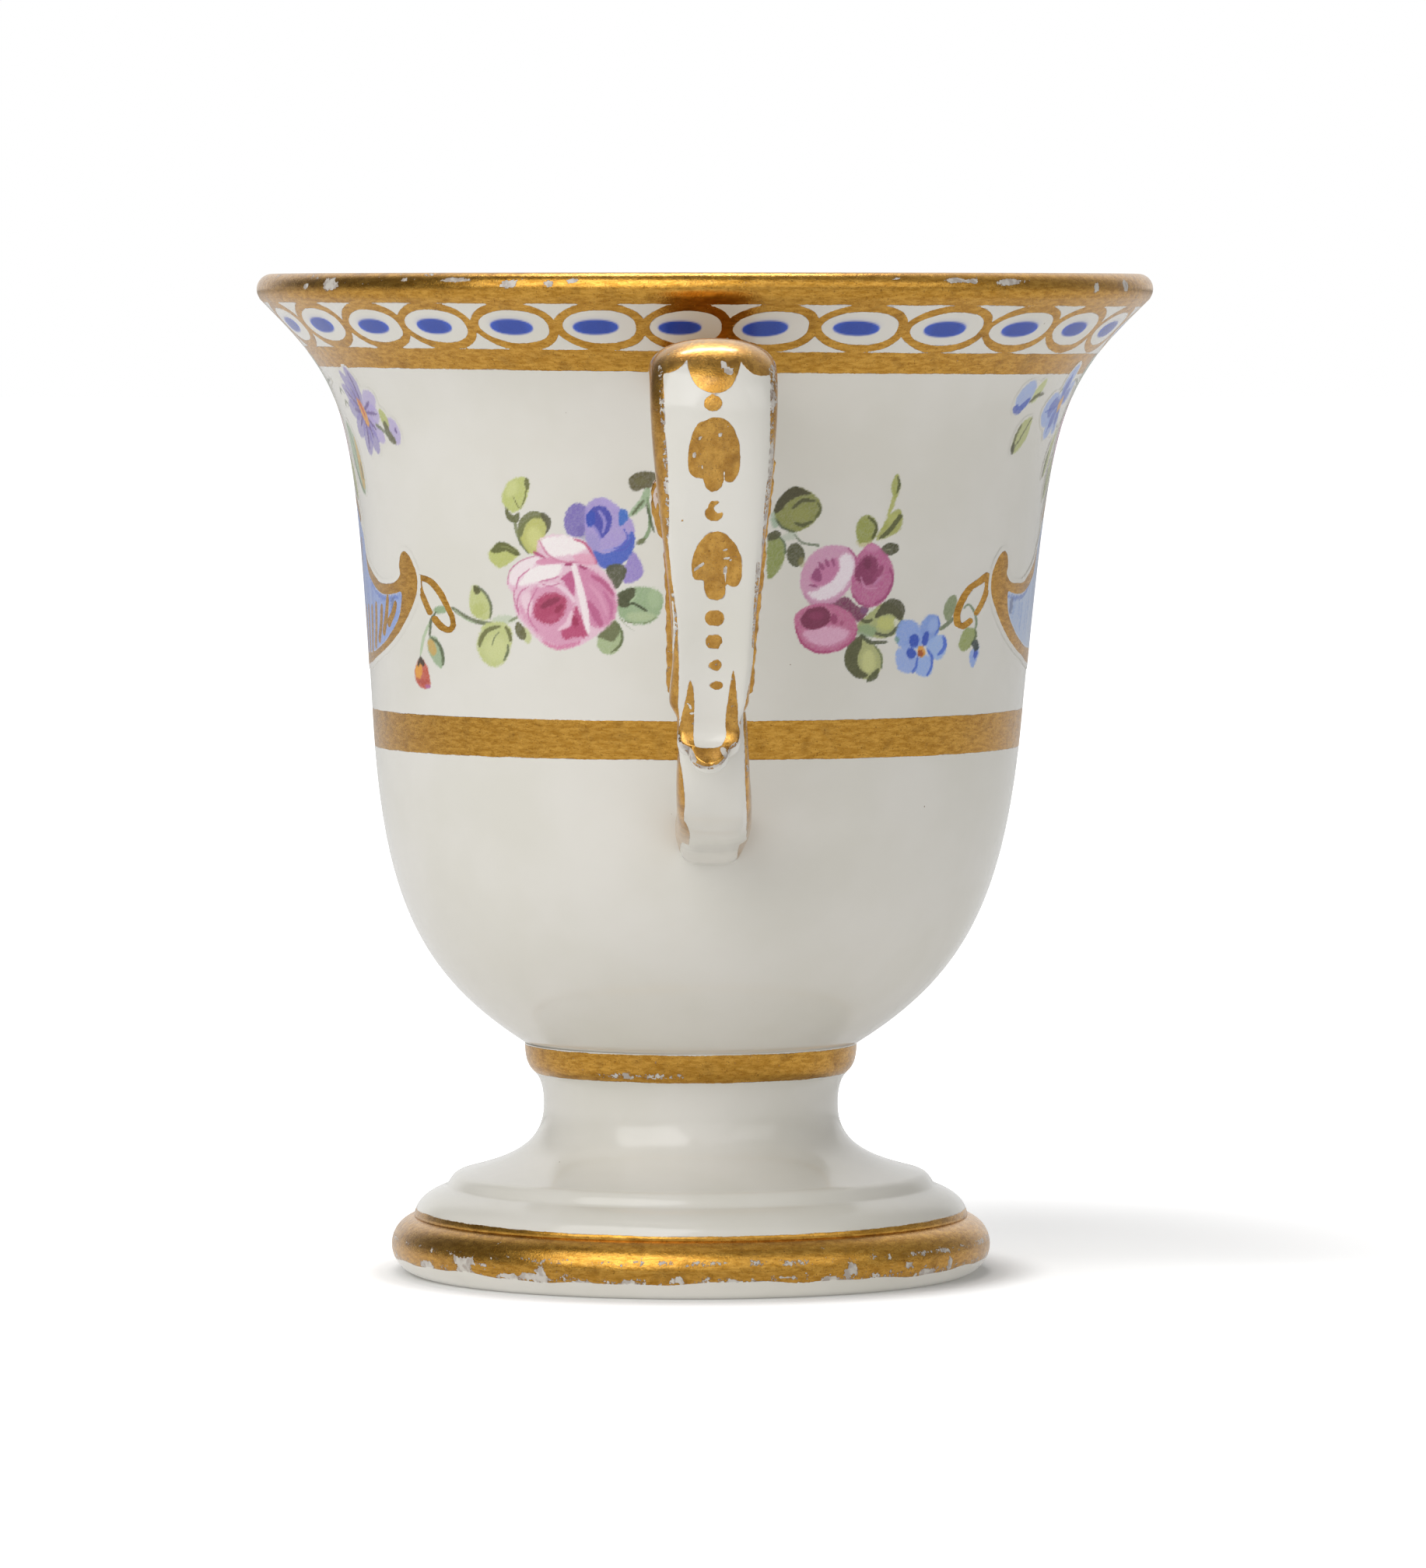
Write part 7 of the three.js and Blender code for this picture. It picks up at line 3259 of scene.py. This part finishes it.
@dataclass
class Studio:
    """Pale floor, plain white surroundings and soft lamps."""

    floor_size: float = 12.0
    floor_colour: Colour = (0.86, 0.86, 0.86)
    white: Colour = (1.0, 1.0, 1.0)
    foot_centre: float = 7.34
    near_glow: float = 0.52
    # Floor glow behind and right of the foot, lowered there as a painted shadow
    painted_shadow_glow: float = 0.29
    glow_from: float = 36.0
    glow_to: float = 92.0
    floor_shine: float = 0.12
    floor_bounce: float = 0.22
    level_light: float = 0.42
    overhead_light: float = 0.22
    right_shade: float = 0.78
    room: MirroredRoom = MirroredRoom()
    lamps: tuple[Lamp, ...] = (
        Lamp("key_lamp", (-0.55, -0.75, 0.75), (1.1, 1.1), 8.7),
        Lamp("fill_lamp", (0.8, -0.6, 0.5), (0.6, 0.6), 1.0),
        Lamp("top_lamp", (-0.03, 0.4, 0.9), (0.42, 0.13), 2.7),
    )

    def build(self) -> None:
        """Builds the floor, the world and the lamps."""
        self.build_floor()
        self.build_world()
        for lamp in self.lamps:
            lamp.add()
        bpy.context.scene.view_settings.view_transform = "Standard"

    def seen(self, nodes: Nodes, rays: bpy.types.Node) -> Socket:
        """Returns 1 for what the camera sees, straight or through glass, from the light path node."""
        return nodes.math("MAXIMUM", rays.outputs["Is Camera Ray"], rays.outputs["Is Transmission Ray"])

    def build_floor(self) -> None:
        """Builds the floor, seen as white by its glow, which is lowered behind and right of the foot and
        fades out at the foot: a painted shadow over the cup's real one.
        """
        sheet = bmesh.new()
        bmesh.ops.create_grid(sheet, x_segments=1, y_segments=1, size=self.floor_size / 2)
        mesh = bpy.data.meshes.new("floor")
        sheet.to_mesh(mesh)
        sheet.free()
        material = bpy.data.materials.new("pale_floor")
        material.use_nodes = True
        nodes = Nodes(material.node_tree)
        diffuse = nodes.add("ShaderNodeBsdfDiffuse")
        nodes.feed(diffuse.inputs["Color"], self.floor_colour)
        glow = nodes.add("ShaderNodeEmission")
        nodes.feed(glow.inputs["Color"], self.white)
        rays = nodes.add("ShaderNodeLightPath")
        seen = self.seen(nodes, rays)
        place = nodes.add("ShaderNodeVectorMath", operation="SUBTRACT")
        nodes.feed(place.inputs[0], nodes.millimetres())
        nodes.feed(place.inputs[1], (0.0, self.foot_centre, 0.0))
        away = nodes.add("ShaderNodeVectorMath", operation="LENGTH")
        nodes.feed(away.inputs[0], place.outputs["Vector"])
        sides = nodes.add("ShaderNodeSeparateXYZ")
        nodes.feed(sides.inputs[0], place.outputs["Vector"])
        # Behind and right of the foot the glow is lowered, a painted shadow that deepens the cup's real
        # shadow
        back = nodes.rise(sides.outputs["Y"], -15.0, 10.0)
        behind = nodes.math("MULTIPLY", back, nodes.rise(sides.outputs["X"], 0.0, 25.0))
        near = nodes.between(behind, self.near_glow, self.painted_shadow_glow)
        # The glow fades out at the foot's edge, a painted contact shadow
        near = nodes.math("MULTIPLY", near, nodes.rise(away.outputs["Value"], 19.0, 24.0))
        clear = nodes.rise(away.outputs["Value"], self.glow_from, self.glow_to)
        far = nodes.between(clear, near, 1.0)
        shiny = nodes.math("MULTIPLY", rays.outputs["Is Glossy Ray"], self.floor_shine)
        bounce = nodes.math("MULTIPLY_ADD", rays.outputs["Is Diffuse Ray"], self.floor_bounce, shiny)
        nodes.feed(glow.inputs["Strength"], nodes.math("MULTIPLY_ADD", seen, far, bounce))
        both = nodes.add("ShaderNodeAddShader")
        nodes.feed(both.inputs[0], diffuse.outputs[0])
        nodes.feed(both.inputs[1], glow.outputs[0])
        output = nodes.add("ShaderNodeOutputMaterial")
        nodes.feed(output.inputs["Surface"], both.outputs[0])
        floor = bpy.data.objects.new("floor", mesh)
        mesh.materials.append(material)
        bpy.context.collection.objects.link(floor)

    def build_world(self) -> None:
        """Sets white surroundings that grow darker overhead."""
        world = bpy.data.worlds.new("studio")
        world.use_nodes = True
        nodes = Nodes(world.node_tree)
        where = nodes.add("ShaderNodeTexCoord")
        parts = nodes.add("ShaderNodeSeparateXYZ")
        nodes.feed(parts.inputs[0], where.outputs["Generated"])
        overhead = nodes.rise(parts.outputs["Z"], 0.2, 0.75)
        rays = nodes.add("ShaderNodeLightPath")
        diffuse = nodes.between(overhead, self.level_light, self.overhead_light)
        shade = nodes.between(nodes.rise(parts.outputs["X"], 0.0, 0.9), 1.0, self.right_shade)
        diffuse = nodes.math("MULTIPLY", diffuse, shade)
        glossy = self.room.brightness(nodes, parts)
        seen = self.seen(nodes, rays)
        strength = nodes.between(rays.outputs["Is Glossy Ray"], diffuse, glossy)
        strength = nodes.between(seen, strength, 1.0)
        background = nodes.add("ShaderNodeBackground")
        nodes.feed(background.inputs["Color"], self.white)
        nodes.feed(background.inputs["Strength"], strength)
        output = nodes.add("ShaderNodeOutputWorld")
        nodes.feed(output.inputs["Surface"], background.outputs[0])
        bpy.context.scene.world = world


def main() -> None:
    """Builds the cup and its studio."""
    logging.basicConfig(level=logging.INFO, format="%(message)s")
    low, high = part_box("bowl")
    centre = (low[1] + high[1]) / 2 / MM
    view = FrontView()
    bowl_glaze = PaintedGlaze("bowl_glaze", enamelled=False).material()
    foot_glaze = PaintedGlaze("foot_glaze", speck_share=0.45, enamelled=False).material()
    handle_glaze = PaintedGlaze("handle_glaze", streak_scale=0.2, gold_sheen=0.6).material()
    enamels = PaintedGlaze("enamels").material()
    bowl = Bowl(centre)
    bowl.build(bowl_glaze)
    ChainBorder(bowl).build(enamels)
    RoseSpray(bowl, view).build(enamels, {"rose_spray": 0.0, "rose_spray_behind": 180.0})
    ThreeRoseSpray(bowl, view).build(enamels, {"three_rose_spray": 0.0, "three_rose_spray_behind": 180.0})
    SidePanel(bowl, "left_panel", middle=-90.8).build(enamels)
    plain = PanelStyle.PLAIN
    SidePanel(bowl, "right_panel", middle=89.2, style=plain, narrowing=0.95).build(enamels)
    Bouquet(bowl, "left_bouquet", middle=-92.0, seed=22).build(enamels)
    blue = BouquetStyle.BLUE
    Bouquet(bowl, "right_bouquet", middle=87.5, seed=23, style=blue).build(enamels)
    JoiningRose(bowl, "joining_rose", middle=182.0).build(enamels)
    Foot(centre).build(foot_glaze)
    Handle(bowl, view).build(handle_glaze)
    Studio().build()
    view.make_camera(centre)


if __name__ == "__main__":
    main()
